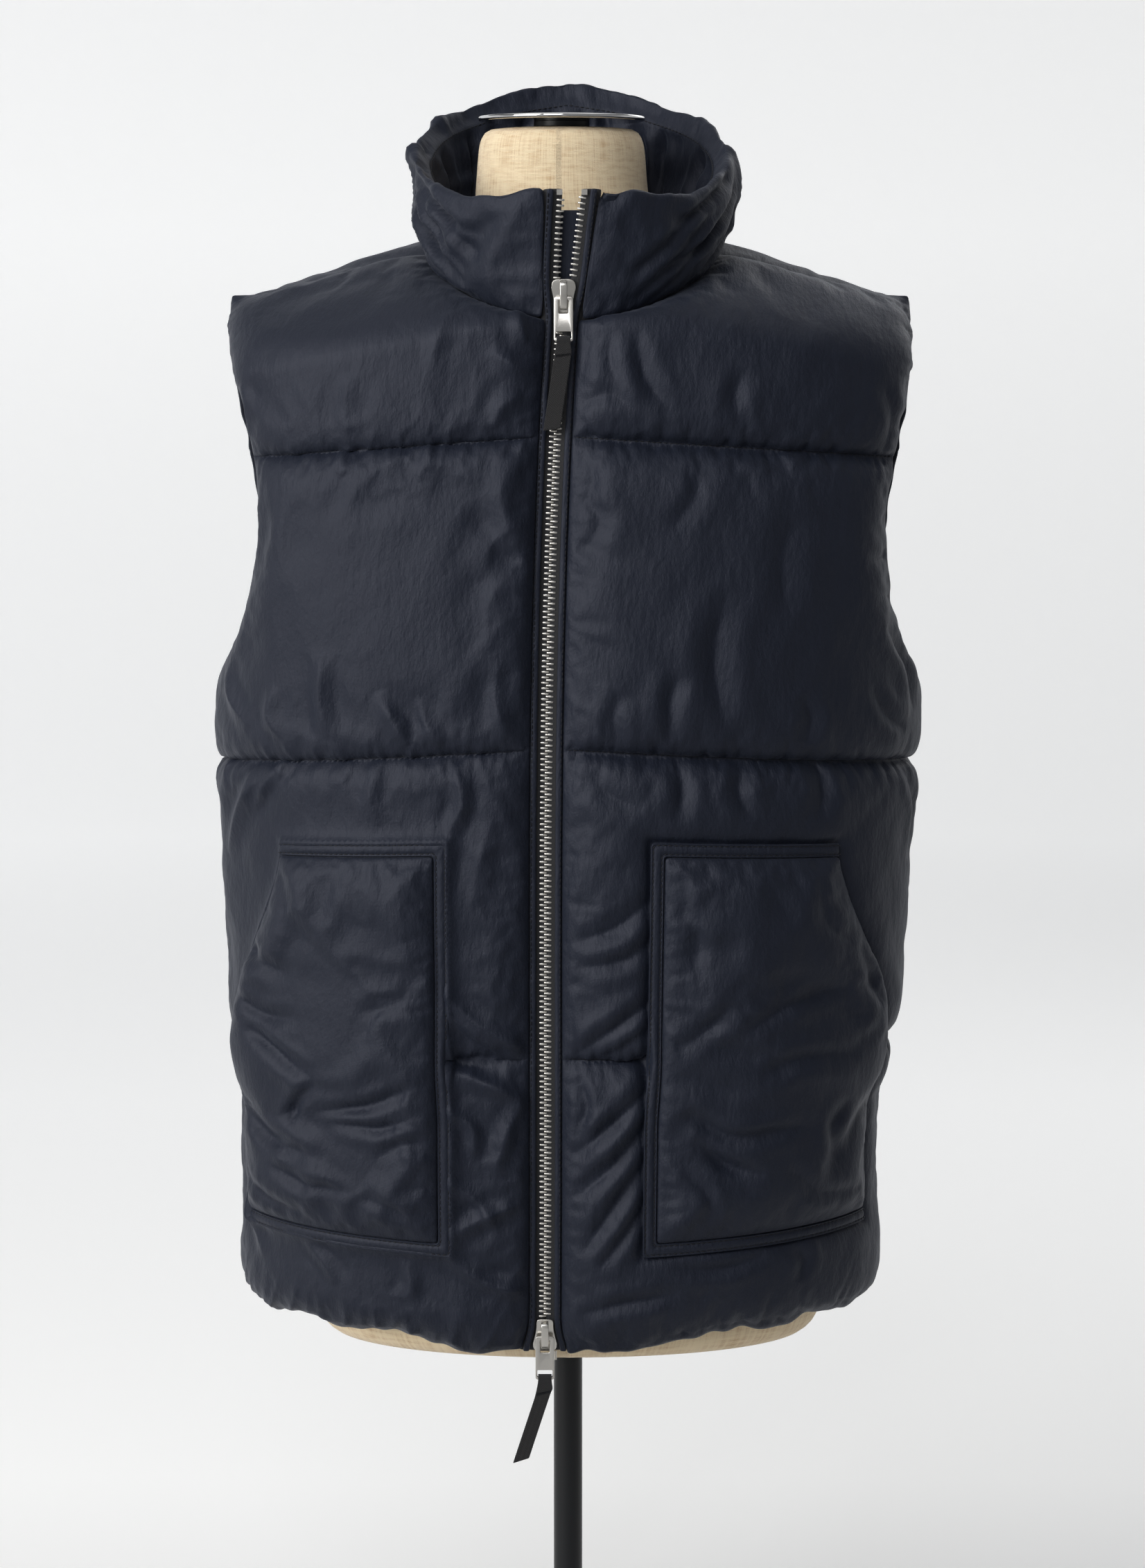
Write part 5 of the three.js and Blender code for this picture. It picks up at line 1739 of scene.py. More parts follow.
# ------------------------------------------------------------------ pockets
class Pocket:
    """A patch pocket: a padded bag with a slanted hand opening, and the raised border sewn round it."""

    SPACING = 4.2
    STITCH_SHARES = (0.17, 0.83)
    ROLL = ((0.0, 0.5), (0.05, 0.85), (0.17, 0.3), (0.3, 0.9), (0.5, 1.0), (0.7, 0.9), (0.83, 0.3))
    ROLL_END = ((0.95, 0.85), (1.0, 0.5))

    def __init__(self, panel: FrontPanel, creases: Sequence[Crease]) -> None:
        """Plan the pocket that lies on a front panel, with its folds."""
        self.panel = panel
        self.side = panel.side
        self.word = "left" if panel.side < 0 else "right"
        self.creases = creases

    def on_panel(self, cloth: Array) -> tuple[Array, Array]:
        """Find the panel's outer face and its outward direction at points of the flat cloth."""
        step = 1.0
        middle = self.panel.middle(cloth)
        across = self.panel.middle(cloth + [step, 0]) - middle
        up = self.panel.middle(cloth + [0, step]) - middle
        normal = unit(np.cross(across, up))
        normal *= np.where(normal[:, 1:2] > 0, -1, 1)
        full = self.panel.fullness(cloth, middle)
        return middle + normal * (PAD.seam + PAD.out * full)[:, None], normal

    def bag(self, material: bpy.types.Material) -> bpy.types.Object:
        """Make the padded bag: cut it, blow it up, back it and press its folds in."""
        outline = pocket_outline(self.side, POCKET.trim + GAP, self.SPACING)
        cloth, faces = triangulated(outline, (), self.SPACING)
        under, normal = self.on_panel(cloth)
        ring = np.concatenate([outline, outline[:1]])
        from_edge = to_line(cloth, ring)
        outer = under + normal * (GAP + 1.6 + (POCKET.full + 1.4) * risen(from_edge))[:, None]
        rim = len(outline)
        held = np.zeros(len(cloth))
        held[:rim] = 1
        swelling = Swelling(pressure=3, growth=0.02, least=-3, most=6)
        name = f"vest_pocket_{self.word}"
        outer = swelling.settle(name, outer, faces, held, normal, SEED + 600 + self.side)
        points = np.concatenate([outer, under + normal * GAP])
        quads = [face.tolist() for face in faces]
        quads += [[int(i) + len(outer) for i in face[::-1]] for face in faces]
        quads += [[b, a, len(outer) + a, len(outer) + b] for a, b in outline_edges(faces, rim)]
        both = np.concatenate([cloth, cloth])
        obj = mesh_object(name, points, facing_out(points, quads), material, both)
        return pressed_by(remembered(obj, both, np.repeat([1.0, 0.0], len(cloth))), self.folded)

    def folded(self, cloth: Array, is_outer: Array) -> tuple[Array, float]:
        """Say how far the folds, and the gathers along the border, move each point out."""
        lift = 0.3 * Noise(SEED + 610 + self.side, 28).at(cloth)
        for crease in self.creases:
            lift += crease.lift(cloth)
        levels = np.arange(POCKET.low, POCKET.high + 1, 2.0)
        edges = [pocket_edges(self.side, value)[0] for value in levels]
        away = cloth[:, 0] - np.interp(cloth[:, 1], levels, edges) - POCKET.trim
        lift += BORDER_GATHERS.lift(cloth[:, 1], away, SEED + 620)
        for number, height in enumerate((POCKET.low + POCKET.trim, POCKET.high - POCKET.trim)):
            lift += BORDER_GATHERS.lift(cloth[:, 0], cloth[:, 1] - height, SEED + 630 + number)
        outline = pocket_outline(self.side, POCKET.trim + GAP, 5.0)
        from_edge = to_line(cloth, np.concatenate([outline, outline[:1]]))
        return lift * is_outer * smooth(from_edge / 5), 0.0

    def border_path(self, inset: float) -> Array:
        """Draw the border's line at a distance in from the pocket's outline, from its low far end."""
        low, high = POCKET.low + inset, POCKET.high - inset
        low_near, low_far = pocket_edges(self.side, low)
        high_near, high_far = pocket_edges(self.side, high)
        bottom = np.linspace([low_far, low], [low_near + inset, low], 42, endpoint=False)
        levels = np.linspace(low, high, 62, endpoint=False)
        rise = [[pocket_edges(self.side, v)[0] + inset, v] for v in levels]
        top = np.linspace([high_near + inset, high], [high_far, high], 34)
        return np.concatenate([bottom, rise, top])

    def border(self, material: bpy.types.Material) -> bpy.types.Object:
        """Make the raised border, with gathers across it between its two rows of stitching."""
        profile = self.ROLL + self.ROLL_END
        draw = np.random.default_rng(SEED + 640 + self.side)
        upper, lower, cloths = [], [], []
        stations = len(self.border_path(0))
        gathers = 1 - 0.28 * np.abs(np.sin(np.cumsum(draw.uniform(0.9, 2.2, stations)))) ** 1.5
        for share, height in profile:
            path = self.border_path(share * POCKET.trim)
            under, normal = self.on_panel(path)
            between = math.sin(math.pi * share) ** 2
            raised = POCKET.trim_thick * height * mix(1.0, gathers, between)
            upper.append(under + normal * (GAP + raised)[:, None])
            lower.append(under + normal * GAP)
            cloths.append(path)
        points, faces = sandwich(np.array(upper), np.array(lower))
        cloth = np.concatenate([np.array(cloths).reshape(-1, 2)] * 2)
        name = f"vest_pocket_border_{self.word}"
        return subdivided(mesh_object(name, points, faces, material, cloth))

    def stitch_lines(self) -> list[Array]:
        """Draw the border's two rows of stitching, with their outward directions."""
        lines = []
        for share in self.STITCH_SHARES:
            path = spaced(self.border_path(share * POCKET.trim), 3.0)
            under, normal = self.on_panel(path)
            lines.append(np.concatenate([under + normal * (GAP + 0.45 * POCKET.trim_thick), normal], 1))
        return lines


# ------------------------------------------------------------------ metal parts
def bevelled(
    name: str,
    outlines: Sequence[Sequence[tuple[float, float]]],
    low: float,
    high: float,
    bevel: float,
    matrix: Matrix,
    material: bpy.types.Material,
) -> bpy.types.Object:
    """Cut a plate from an outline with holes, and round its edges.

    Args:
        name: The plate's name.
        outlines: The outline, then its holes, as corners in millimetres.
        low: The height of its underside.
        high: The height of its top.
        bevel: How far its edges are rounded.
        matrix: Where it goes, in millimetres.
        material: Its finish.

    Returns:
        The plate as a closed mesh.
    """
    curve = bpy.data.curves.new(name, "CURVE")
    curve.dimensions = "2D"
    curve.fill_mode = "BOTH"
    curve.extrude = (high - low) / 2 - bevel
    curve.bevel_depth = bevel
    curve.bevel_resolution = 2
    curve.offset = -bevel
    for corners in outlines:
        spline = curve.splines.new("POLY")
        spline.points.add(len(corners) - 1)
        for point, (x, y) in zip(spline.points, corners):
            point.co = (x, y, 0, 1)
        spline.use_cyclic_u = True
    obj = bpy.data.objects.new(name, curve)
    bpy.context.scene.collection.objects.link(obj)
    flat = obj.evaluated_get(bpy.context.evaluated_depsgraph_get())
    mesh = bpy.data.meshes.new_from_object(flat)
    bpy.data.objects.remove(obj)
    mesh.transform(Matrix.Translation((0, 0, (low + high) / 2)))
    mesh.transform(matrix)
    mesh.transform(Matrix.Scale(MM, 4))
    return welded(name, mesh, material)


def welded(name: str, mesh: bpy.types.Mesh, material: bpy.types.Material) -> bpy.types.Object:
    """Merge a mesh's doubled points, turn its faces out and make it a named object."""
    work = bmesh.new()
    work.from_mesh(mesh)
    bmesh.ops.remove_doubles(work, verts=work.verts, dist=0.00001)
    bmesh.ops.recalc_face_normals(work, faces=work.faces)
    work.to_mesh(mesh)
    work.free()
    mesh.materials.clear()
    mesh.materials.append(material)
    mesh.shade_smooth()
    mesh.set_sharp_from_angle(angle=math.radians(38))
    obj = bpy.data.objects.new(name, mesh)
    bpy.context.scene.collection.objects.link(obj)
    return obj


def rounded(
    corners: Sequence[tuple[float, float]], radius: float, steps: int = 4
) -> list[tuple[float, float]]:
    """Round the corners of an outline.

    Args:
        corners: The outline's corners.
        radius: The rounding's reach along each side.
        steps: How many points each corner becomes, less one.

    Returns:
        The rounded outline.
    """
    result = []
    ring = np.array(corners, float)
    for before, here, after in zip(np.roll(ring, 1, 0), ring, np.roll(ring, -1, 0)):
        reach_in = min(radius, float(np.linalg.norm(here - before)) * 0.48)
        reach_out = min(radius, float(np.linalg.norm(after - here)) * 0.48)
        a, b = here + unit(before - here) * reach_in, here + unit(after - here) * reach_out
        for t in np.linspace(0, 1, steps + 1):
            point = (1 - t) ** 2 * a + 2 * t * (1 - t) * here + t * t * b
            result.append((float(point[0]), float(point[1])))
    return result


def box_corners(left: float, right: float, low: float, high: float) -> list[tuple[float, float]]:
    """List a rectangle's corners."""
    return [(left, low), (right, low), (right, high), (left, high)]


@dataclass(frozen=True)
class ZipPullSizes:
    """Where one slider sits on the zip, and how its tab and webbing hang."""

    word: str
    body: Body
    z: float
    webbing_lean: float
    hang_out: float
    mouth_up: int
    shoulder: float = 15.8
    neck: float = 10.8
    length: float = 23.0
    plate: float = 1.2
    slot: float = 2.8
    pull_out: float = 3.0
    width: float = 12.0
    reach: float = 26.0
    bar: float = 2.0
    thick: float = 1.5


FACING_FRONT = Matrix(((1, 0, 0, 0), (0, 0, -1, 0), (0, 1, 0, 0), (0, 0, 0, 1)))
FACING_SIDE = Matrix(((0, 0, -1, 0), (-1, 0, 0, 0), (0, 1, 0, 0), (0, 0, 0, 1)))
TAPE_MIDDLE = -2.7


class ZipPull:
    """A zip slider with its bail, its pull tab and the webbing loop on the tab."""

    # The webbing, in millimetres: how far it hangs, the middle radius and thickness of its loop,
    # its half width and where below the bar the thread closes the loop.
    HANG, LOOP_RADIUS, WEBBING_THICK = 56.5, 2.15, 0.95
    WEBBING_HALF = 5.4
    LOOP_END = 9.5

    def __init__(self, sizes: ZipPullSizes) -> None:
        """Work out where the slider and its tab are from their sizes."""
        self.sizes = sizes
        reach = sizes.length / 2
        rise = float(front_y(sizes.z - reach) - front_y(sizes.z + reach))
        lean = math.atan2(rise, sizes.length)
        place = Matrix.Translation((ZIP.x(sizes.z), float(front_y(sizes.z)), sizes.z))
        self.on_zip = place @ Matrix.Rotation(lean, 4, "X")
        hang = Matrix.Rotation(-math.radians(sizes.hang_out) - lean, 4, "X")
        self.hanging = self.on_zip @ Matrix.Translation((0, -sizes.pull_out, 0)) @ hang

    def outline(self) -> list[tuple[float, float]]:
        """Draw the slider's heart-shaped plate, wide at its mouth."""
        wide, narrow, half = self.sizes.shoulder / 2, self.sizes.neck / 2, self.sizes.length / 2
        one = [(narrow - 1, -half), (narrow, -half + 1.4), (narrow + 0.2, -half / 3)]
        one += [(wide - 0.8, half * 0.3), (wide, half * 0.55)]
        one += [(wide - 0.7, half - 1.6), (wide - 2.6, half)]
        ring = one + [(-x, y) for x, y in reversed(one)]
        ring = [(x, y * self.sizes.mouth_up) for x, y in ring]
        return rounded(ring if self.sizes.mouth_up > 0 else ring[::-1], 2.0, 3)

    def slider(self, material: bpy.types.Material) -> bpy.types.Object:
        """Make the slider: two plates, the post between them and the domed bail."""
        sizes = self.sizes
        high, low = TAPE_MIDDLE + sizes.slot / 2, TAPE_MIDDLE - sizes.slot / 2
        place = self.on_zip @ FACING_FRONT
        ring = self.outline()
        front = bevelled("front_plate", [ring], high, high + sizes.plate, 0.4, place, material)
        back = bevelled("back_plate", [ring], low - sizes.plate, low, 0.4, place, material)
        turn = np.linspace(0, 2 * math.pi, 16, endpoint=False)
        middle = 8.5 * sizes.mouth_up
        circle = [(1.6 * math.cos(a), middle + 1.6 * math.sin(a)) for a in turn]
        post = bevelled("post", [circle], low - 0.2, high + 0.2, 0.1, place, material)
        inside_top = sizes.pull_out + math.hypot(sizes.bar, sizes.thick) / 2 + GAP
        top = inside_top + 1.2
        seat = high + 0.5 * sizes.plate
        shape = [(seat, -7), (top - 1.4, -7), (top, -4.6), (top + 0.25, 2), (top, 8.6), (top - 1.4, 11)]
        shape += [(seat, 11), (seat, 8.4), (inside_top - 0.8, 8.4), (inside_top, 7.6)]
        shape += [(inside_top, -3.6), (inside_top - 0.8, -4.4), (seat, -4.4)]
        side = self.on_zip @ FACING_SIDE
        bail = bevelled("bail", [rounded(shape, 0.8, 2)], -2.3, 2.3, 0.55, side, material)
        return joined(f"zip_slider_{sizes.word}", [front, back, post, bail])

    def tab(self, material: bpy.types.Material) -> bpy.types.Object:
        """Make the pull tab, with a slot for the bail and an eye for the webbing."""
        sizes = self.sizes
        half, low, top = sizes.width / 2, -sizes.reach - sizes.bar / 2, sizes.bar / 2
        plate = rounded(box_corners(-half, half, low, top), 1.7, 4)
        slot = rounded(box_corners(-3.1, 3.1, -1.0 - 8.5, -1.0), 1.2, 3)[::-1]
        eye = rounded(box_corners(-4.8, 4.8, low + 2.0, low + 6.2), 0.7, 3)[::-1]
        outlines, place = [plate, slot, eye], self.hanging @ FACING_FRONT
        name, deep = f"zip_pull_{sizes.word}", sizes.thick / 2
        return bevelled(name, outlines, -deep, deep, 0.35, place, material)

    def webbing_place(self, down: Array, across: Array, out: Array) -> Array:
        """Place points of the webbing by their way down from the eye's bar, leaning below the loop."""
        lean = math.radians(self.sizes.webbing_lean)
        bend = smooth((down - 6.5) / 4)
        hang = down - 7.0
        x = across * np.cos(lean * bend) + np.where(down > 7, hang, 0) * math.sin(lean)
        z = -np.where(down > 7, 7 + hang * math.cos(lean), down) + across * np.sin(-lean * bend)
        local = np.stack([x, -out, z - self.sizes.reach], -1)
        flat = np.array(self.hanging.to_3x3())
        return local @ flat.T + np.array(self.hanging.translation)

    def webbing_wave(self, down: Array) -> Array:
        """Say how far the webbing waves outward on its way down."""
        return 0.25 * np.sin(down / 9.0 + 0.8)

    def webbing(self, material: bpy.types.Material) -> bpy.types.Object:
        """Make the webbing: one strip that runs up the front, round the bar and down the back."""
        turn = np.linspace(math.radians(-50), math.radians(230), 15)
        around = self.LOOP_RADIUS * np.stack([-np.sin(turn), np.cos(turn)], 1)
        downs = np.concatenate([np.linspace(self.HANG, self.LOOP_END, 22), [7.0, 4.5]])
        front = np.stack([downs, np.interp(downs, [4.5, self.LOOP_END], [1.25, 0.6])], 1)
        path = np.concatenate([front, around, front[::-1] * (1, -1)])
        tangent = unit(np.gradient(path, axis=0))
        normal = np.stack([-tangent[:, 1], tangent[:, 0]], 1)
        if normal[0, 1] < 0:
            normal = -normal
        half = np.interp(path[:, 0], [3, 8], [4.3, self.WEBBING_HALF])
        shares = np.array([-1.0, -0.93, -0.5, 0.0, 0.5, 0.93, 1.0])
        wave = self.webbing_wave(path[:, 0])
        sheets = []
        for way in (1, -1):
            rows = path + normal * way * self.WEBBING_THICK / 2 * 0.97
            across = half[:, None] * shares
            down = np.repeat(rows[:, :1], len(shares), axis=1)
            out = rows[:, 1:2] + wave[:, None] + 0 * across
            sheets.append(self.webbing_place(down, across, out))
        points, faces = sandwich(sheets[0], sheets[1])
        along = running(path)
        cloth = np.stack(np.meshgrid(shares * self.WEBBING_HALF, along), -1).reshape(-1, 2)
        name = f"zip_webbing_{self.sizes.word}"
        return subdivided(mesh_object(name, points, faces, material, np.concatenate([cloth, cloth])))

    def bartack(self, material: bpy.types.Material) -> bpy.types.Object:
        """Make the zigzag of thread that closes the loop."""
        count = 25
        across = np.linspace(-4.6, 4.6, count)
        down = 9.6 + np.where(np.arange(count) % 2, 0.75, -0.75)
        path = self.webbing_place(down, across, 1.15 + self.webbing_wave(down))
        tangent = unit(np.gradient(path, axis=0))
        out = np.array(self.hanging.to_3x3() @ Vector((0, -1, 0)))
        beside = unit(np.cross(tangent, out))
        turn = np.linspace(0, 2 * math.pi, 6, endpoint=False)
        rings = [path + 0.26 * (math.cos(a) * beside + math.sin(a) * out) for a in turn]
        points, faces = tube(np.array(rings).transpose(1, 0, 2))
        return mesh_object(f"zip_bartack_{self.sizes.word}", points, faces, material)


class ZipChain:
    """The two rows of metal teeth, clamped on the tapes' edges."""

    PITCH = 3.4
    CLOSED = (374.0, 1006.0)
    OPEN = (1030.5, 1079.5)
    TOOTH = ((-1.1, 0.7, 0.34), (-0.7, 1.15, 0.62), (0.5, 1.2, 0.6), (1.3, 1.3, 0.68), (3.6, 1.3, 0.68))
    TOOTH_END = ((4.1, 1.0, 0.5),)

    def tooth(self, side: int, material: bpy.types.Material) -> bpy.types.Object:
        """Make one tooth with Z along the row and Y outwards, reaching over the centre line."""
        rings = []
        for x, deep, thick in self.TOOTH + self.TOOTH_END:
            cut = 0.3
            ring = [(deep, thick - cut), (deep - cut, thick), (cut - deep, thick), (-deep, thick - cut)]
            ring += [(-y, -z) for y, z in ring]
            rings.append([(-side * x, y, z) for y, z in ring])
        points, faces = tube(np.array(rings))
        return mesh_object(f"tooth_{side}", points, faces, material)

    def lines(self, side: int) -> list[Array]:
        """Draw the closed and the open part of one row, with their outward direction."""
        result = []
        for low, high in (self.CLOSED, self.OPEN):
            half = self.PITCH / 2 if side > 0 else 0.0
            count = int((high - low) / self.PITCH)
            heights = np.linspace(low + half, low + half + count * self.PITCH, 60)
            points = along_zip(side, heights, 0.0, TAPE_MIDDLE)
            facing = np.tile([0.0, -1.0, 0.0], (len(points), 1))
            result.append(np.concatenate([points, facing], 1))
        return result

    def build(self, material: bpy.types.Material) -> bpy.types.Object:
        """Make both rows as one piece."""
        rows = []
        for side in (-1, 1):
            tooth = self.tooth(side, material)
            word = "left" if side < 0 else "right"
            row = RowOfPieces(f"zip_teeth_{word}", tooth, material)
            rows += row.laid(self.lines(side), self.PITCH)
            bpy.data.objects.remove(tooth)
        return joined("zip_teeth", rows)


# ------------------------------------------------------------------ folds, listed one by one
def on_front(side: int, x: float, z: float) -> tuple[float, float]:
    """Find the place on a front's flat cloth that is seen at x and z from straight ahead."""
    level = z
    distance = 0.0
    for _ in range(8):
        level = float(np.clip(level, HEM, TIP))
        curve = FRONT.curve(level, side)
        order = np.argsort(curve.points[:, 0])
        distance = float(np.interp(x, curve.points[order, 0], curve.lengths[order]))
        level += 0.9 * (z - float(curve.at(distance)[2]))
    return distance, float(FRONT.cloth_height(np.clip(level, HEM, TIP)))


def folds(side: int, *rows: tuple[Any, ...]) -> tuple[Crease, ...]:
    """Read a table of folds.

    Args:
        side: -1 for the left front and +1 for the right one.
        *rows: The width and depth of each fold, then its points as x and z from straight ahead.

    Returns:
        The folds on the flat cloth.
    """
    return tuple(Crease(tuple(on_front(side, *p) for p in row[2:]), row[0], row[1]) for row in rows)


LEFT_CREASES = folds(
    -1,
    (7, 4.1, (-182, 727), (-198, 697), (-207, 662)),
    (4, 2.7, (-170, 730), (-182, 717), (-191, 693)),
    (5, 3.5, (-69, 730), (-64, 706), (-73, 685)),
    (6, 2.4, (-118, 731), (-120, 708), (-115, 689)),
    (7, 2.7, (-45, 697), (-55, 664), (-58, 639)),
    (5, 4.6, (-77, 589), (-61, 571), (-27, 551)),
    (4, 3.5, (-77, 576), (-57, 560), (-41, 550)),
    (5, 4.3, (-73, 535), (-45, 525), (-23, 513)),
    (4, 3.0, (-75, 513), (-58, 497), (-57, 479)),
    (5, 3.2, (-26, 518), (-38, 496), (-46, 467)),
    (5, 3.5, (-73, 428), (-53, 441), (-27, 451)),
    (5, 3.5, (-75, 415), (-48, 398), (-25, 390)),
    (4, 2.7, (-76, 467), (-56, 452), (-41, 429)),
    (5, 2.7, (-161, 417), (-149, 404), (-142, 391)),
    (5, 2.7, (-99, 412), (-96, 395), (-101, 382)),
    (6, 3.0, (-198, 458), (-194, 425), (-187, 399)),
    (6, 3.5, (-148, 796), (-149, 771), (-145, 745)),
    (5, 3.2, (-115, 774), (-106, 757), (-97, 743)),
    (5, 3.0, (-90, 771), (-85, 754), (-76, 744)),
    (5, 2.7, (-177, 775), (-180, 758), (-173, 743)),
    (6, 3.5, (-209, 780), (-203, 762), (-193, 748)),
    (5, 2.7, (-43, 794), (-44, 771), (-38, 747)),
    (8, 3.0, (-34, 921), (-41, 893), (-36, 872)),
    (9, 3.0, (-28, 879), (-49, 863), (-54, 842)),
    (9, 2.7, (-38, 847), (-50, 821), (-48, 800)),
    (8, 2.7, (-187, 897), (-196, 868), (-198, 843)),
    (5, 3.0, (-42, 1003), (-27, 992), (-19, 984)),
    (5, 2.7, (-48, 984), (-32, 975), (-19, 972)),
    (7, 2.2, (-131, 970), (-135, 949), (-133, 936)),
    (6, 1.9, (-86, 998), (-81, 981), (-77, 968)),
    (6, 2.7, (-28, 960), (-41, 950), (-46, 939)),
    (5, 2.4, (-198, 931), (-196, 949), (-198, 964)),
    (5, 2.2, (-90, 930), (-86, 918), (-91, 905)),
    (5, 2.2, (-135, 928), (-138, 918), (-135, 907)),
)
RIGHT_CREASES = folds(
    1,
    (7, 3.2, (11, 727), (25, 711), (46, 701)),
    (6, 2.7, (67, 731), (69, 710), (64, 693)),
    (6, 3.2, (108, 730), (104, 712), (111, 694)),
    (6, 3.0, (152, 730), (155, 710), (150, 692)),
    (6, 3.5, (54, 649), (30, 628), (3, 617)),
    (5, 3.0, (54, 622), (34, 607), (4, 601)),
    (5, 4.6, (53, 583), (30, 565), (3, 547)),
    (4, 3.2, (53, 567), (34, 554), (14, 544)),
    (5, 4.3, (52, 529), (28, 503), (2, 481)),
    (5, 4.1, (52, 510), (33, 482), (4, 454)),
    (5, 3.8, (51, 486), (30, 452), (7, 416)),
    (4, 3.0, (50, 458), (37, 434), (19, 409)),
    (4, 3.0, (7, 532), (11, 513), (4, 492)),
    (5, 3.5, (7, 378), (34, 386), (67, 391)),
    (5, 3.2, (63, 409), (92, 405), (121, 412)),
    (5, 2.7, (136, 416), (143, 404), (140, 390)),
    (6, 3.2, (208, 722), (211, 689), (208, 655)),
    (6, 3.2, (195, 496), (191, 458), (193, 429)),
    (6, 3.2, (41, 997), (47, 969), (67, 945)),
    (6, 2.7, (27, 998), (25, 981), (34, 960)),
    (5, 2.4, (5, 952), (25, 959), (42, 948)),
    (6, 2.2, (104, 939), (102, 957), (108, 973)),
    (7, 2.2, (9, 924), (15, 905), (10, 888)),
    (6, 1.9, (83, 918), (77, 894), (63, 874)),
    (5, 1.9, (122, 924), (129, 912), (136, 905)),
    (9, 3.8, (97, 839), (89, 796), (96, 748)),
    (9, 2.4, (138, 884), (130, 855), (132, 821)),
    (6, 3.0, (68, 787), (62, 767), (63, 745)),
    (6, 3.0, (33, 775), (28, 760), (30, 744)),
    (7, 2.4, (7, 897), (19, 879), (7, 859)),
    (7, 3.8, (194, 814), (208, 785), (211, 754)),
    (5, 3.0, (183, 775), (193, 757), (205, 745)),
    (6, 2.7, (141, 772), (147, 757), (145, 743)),
    (6, 2.4, (191, 964), (199, 939), (195, 924)),
)
LEFT_POCKET_CREASES = folds(
    -1,
    (6, 3.5, (-196, 622), (-183, 601), (-161, 592)),
    (5, 3.2, (-193, 576), (-173, 563), (-157, 565)),
    (4, 3.8, (-185, 555), (-165, 538), (-148, 529)),
    (4, 3.2, (-147, 529), (-158, 513), (-161, 494)),
    (4, 3.5, (-147, 508), (-120, 514), (-91, 528)),
    (4, 3.0, (-140, 500), (-115, 498), (-89, 510)),
    (5, 3.2, (-188, 499), (-170, 482), (-142, 475)),
    (4, 2.7, (-174, 469), (-150, 457), (-124, 457)),
    (5, 3.0, (-189, 458), (-174, 443), (-155, 436)),
    (6, 2.4, (-127, 571), (-103, 578), (-85, 588)),
    (4, 2.4, (-115, 479), (-99, 489), (-86, 491)),
    (4, 2.2, (-120, 454), (-103, 447), (-90, 435)),
    (7, 2.4, (-173, 659), (-165, 639), (-167, 618)),
)
RIGHT_POCKET_CREASES = folds(
    1,
    (5, 3.0, (64, 550), (84, 565), (96, 580)),
    (5, 3.2, (101, 560), (131, 578), (165, 586)),
    (5, 3.0, (110, 535), (141, 544), (168, 541)),
    (5, 3.5, (67, 512), (98, 495), (134, 501)),
    (4, 3.0, (73, 494), (96, 475), (113, 471)),
    (5, 3.0, (170, 612), (179, 588), (182, 567)),
    (5, 2.7, (162, 521), (150, 496), (155, 471)),
    (4, 2.4, (67, 473), (83, 454), (84, 439)),
    (5, 2.4, (125, 475), (146, 454), (170, 449)),
    (7, 2.4, (146, 655), (150, 630), (166, 613)),
    (5, 2.2, (67, 643), (77, 618), (73, 601)),
)


def cloth_folds(*rows: tuple[Any, ...]) -> tuple[Crease, ...]:
    """Read a table of folds: each one's width and depth, then its points on the flat cloth."""
    return tuple(Crease(tuple(row[2:]), row[0], row[1]) for row in rows)


# Distances from the centre back and heights on the flat cloth.
BACK_CREASES = cloth_folds(
    (7, 2.6, (-212, 732), (-204, 764), (-210, 802)),
    (6, 2.2, (-150, 728), (-156, 752), (-148, 780)),
    (8, 2.4, (-96, 726), (-90, 770), (-102, 820)),
    (7, 2.0, (-30, 728), (-24, 760), (-32, 786)),
    (6, 2.2, (44, 726), (50, 752), (42, 778)),
    (8, 2.6, (108, 728), (116, 772), (104, 824)),
    (7, 2.4, (176, 730), (168, 762), (178, 796)),
    (7, 2.6, (238, 734), (230, 772), (240, 806)),
    (7, 2.4, (-232, 712), (-226, 676), (-236, 640)),
    (6, 2.2, (-168, 714), (-176, 684), (-166, 650)),
    (7, 2.0, (-92, 712), (-84, 670), (-92, 628)),
    (6, 2.2, (-18, 714), (-26, 682), (-16, 652)),
    (7, 2.4, (62, 712), (70, 668), (58, 624)),
    (6, 2.2, (140, 714), (132, 680), (142, 646)),
    (7, 2.6, (214, 712), (222, 672), (210, 630)),
    (7, 2.6, (-220, 534), (-170, 496), (-120, 480)),
    (6, 2.2, (-60, 536), (-72, 496), (-58, 456)),
    (7, 2.4, (30, 534), (70, 500), (122, 486)),
    (6, 2.2, (196, 536), (184, 498), (200, 462)),
    (7, 2.4, (-236, 550), (-196, 586), (-150, 600)),
    (6, 2.2, (-84, 548), (-74, 584), (-88, 612)),
    (7, 2.2, (86, 548), (78, 590), (92, 628)),
    (6, 2.4, (226, 552), (190, 588), (150, 604)),
    (8, 2.0, (-150, 926), (-140, 962), (-152, 1000)),
    (8, 2.0, (128, 926), (120, 966), (134, 1006)),
    (7, 1.8, (-60, 910), (-66, 876), (-56, 846)),
    (7, 1.8, (70, 908), (78, 872), (66, 840)),
    (8, 2.0, (-196, 880), (-178, 836), (-184, 800)),
    (8, 2.0, (198, 876), (182, 834), (190, 796)),
)
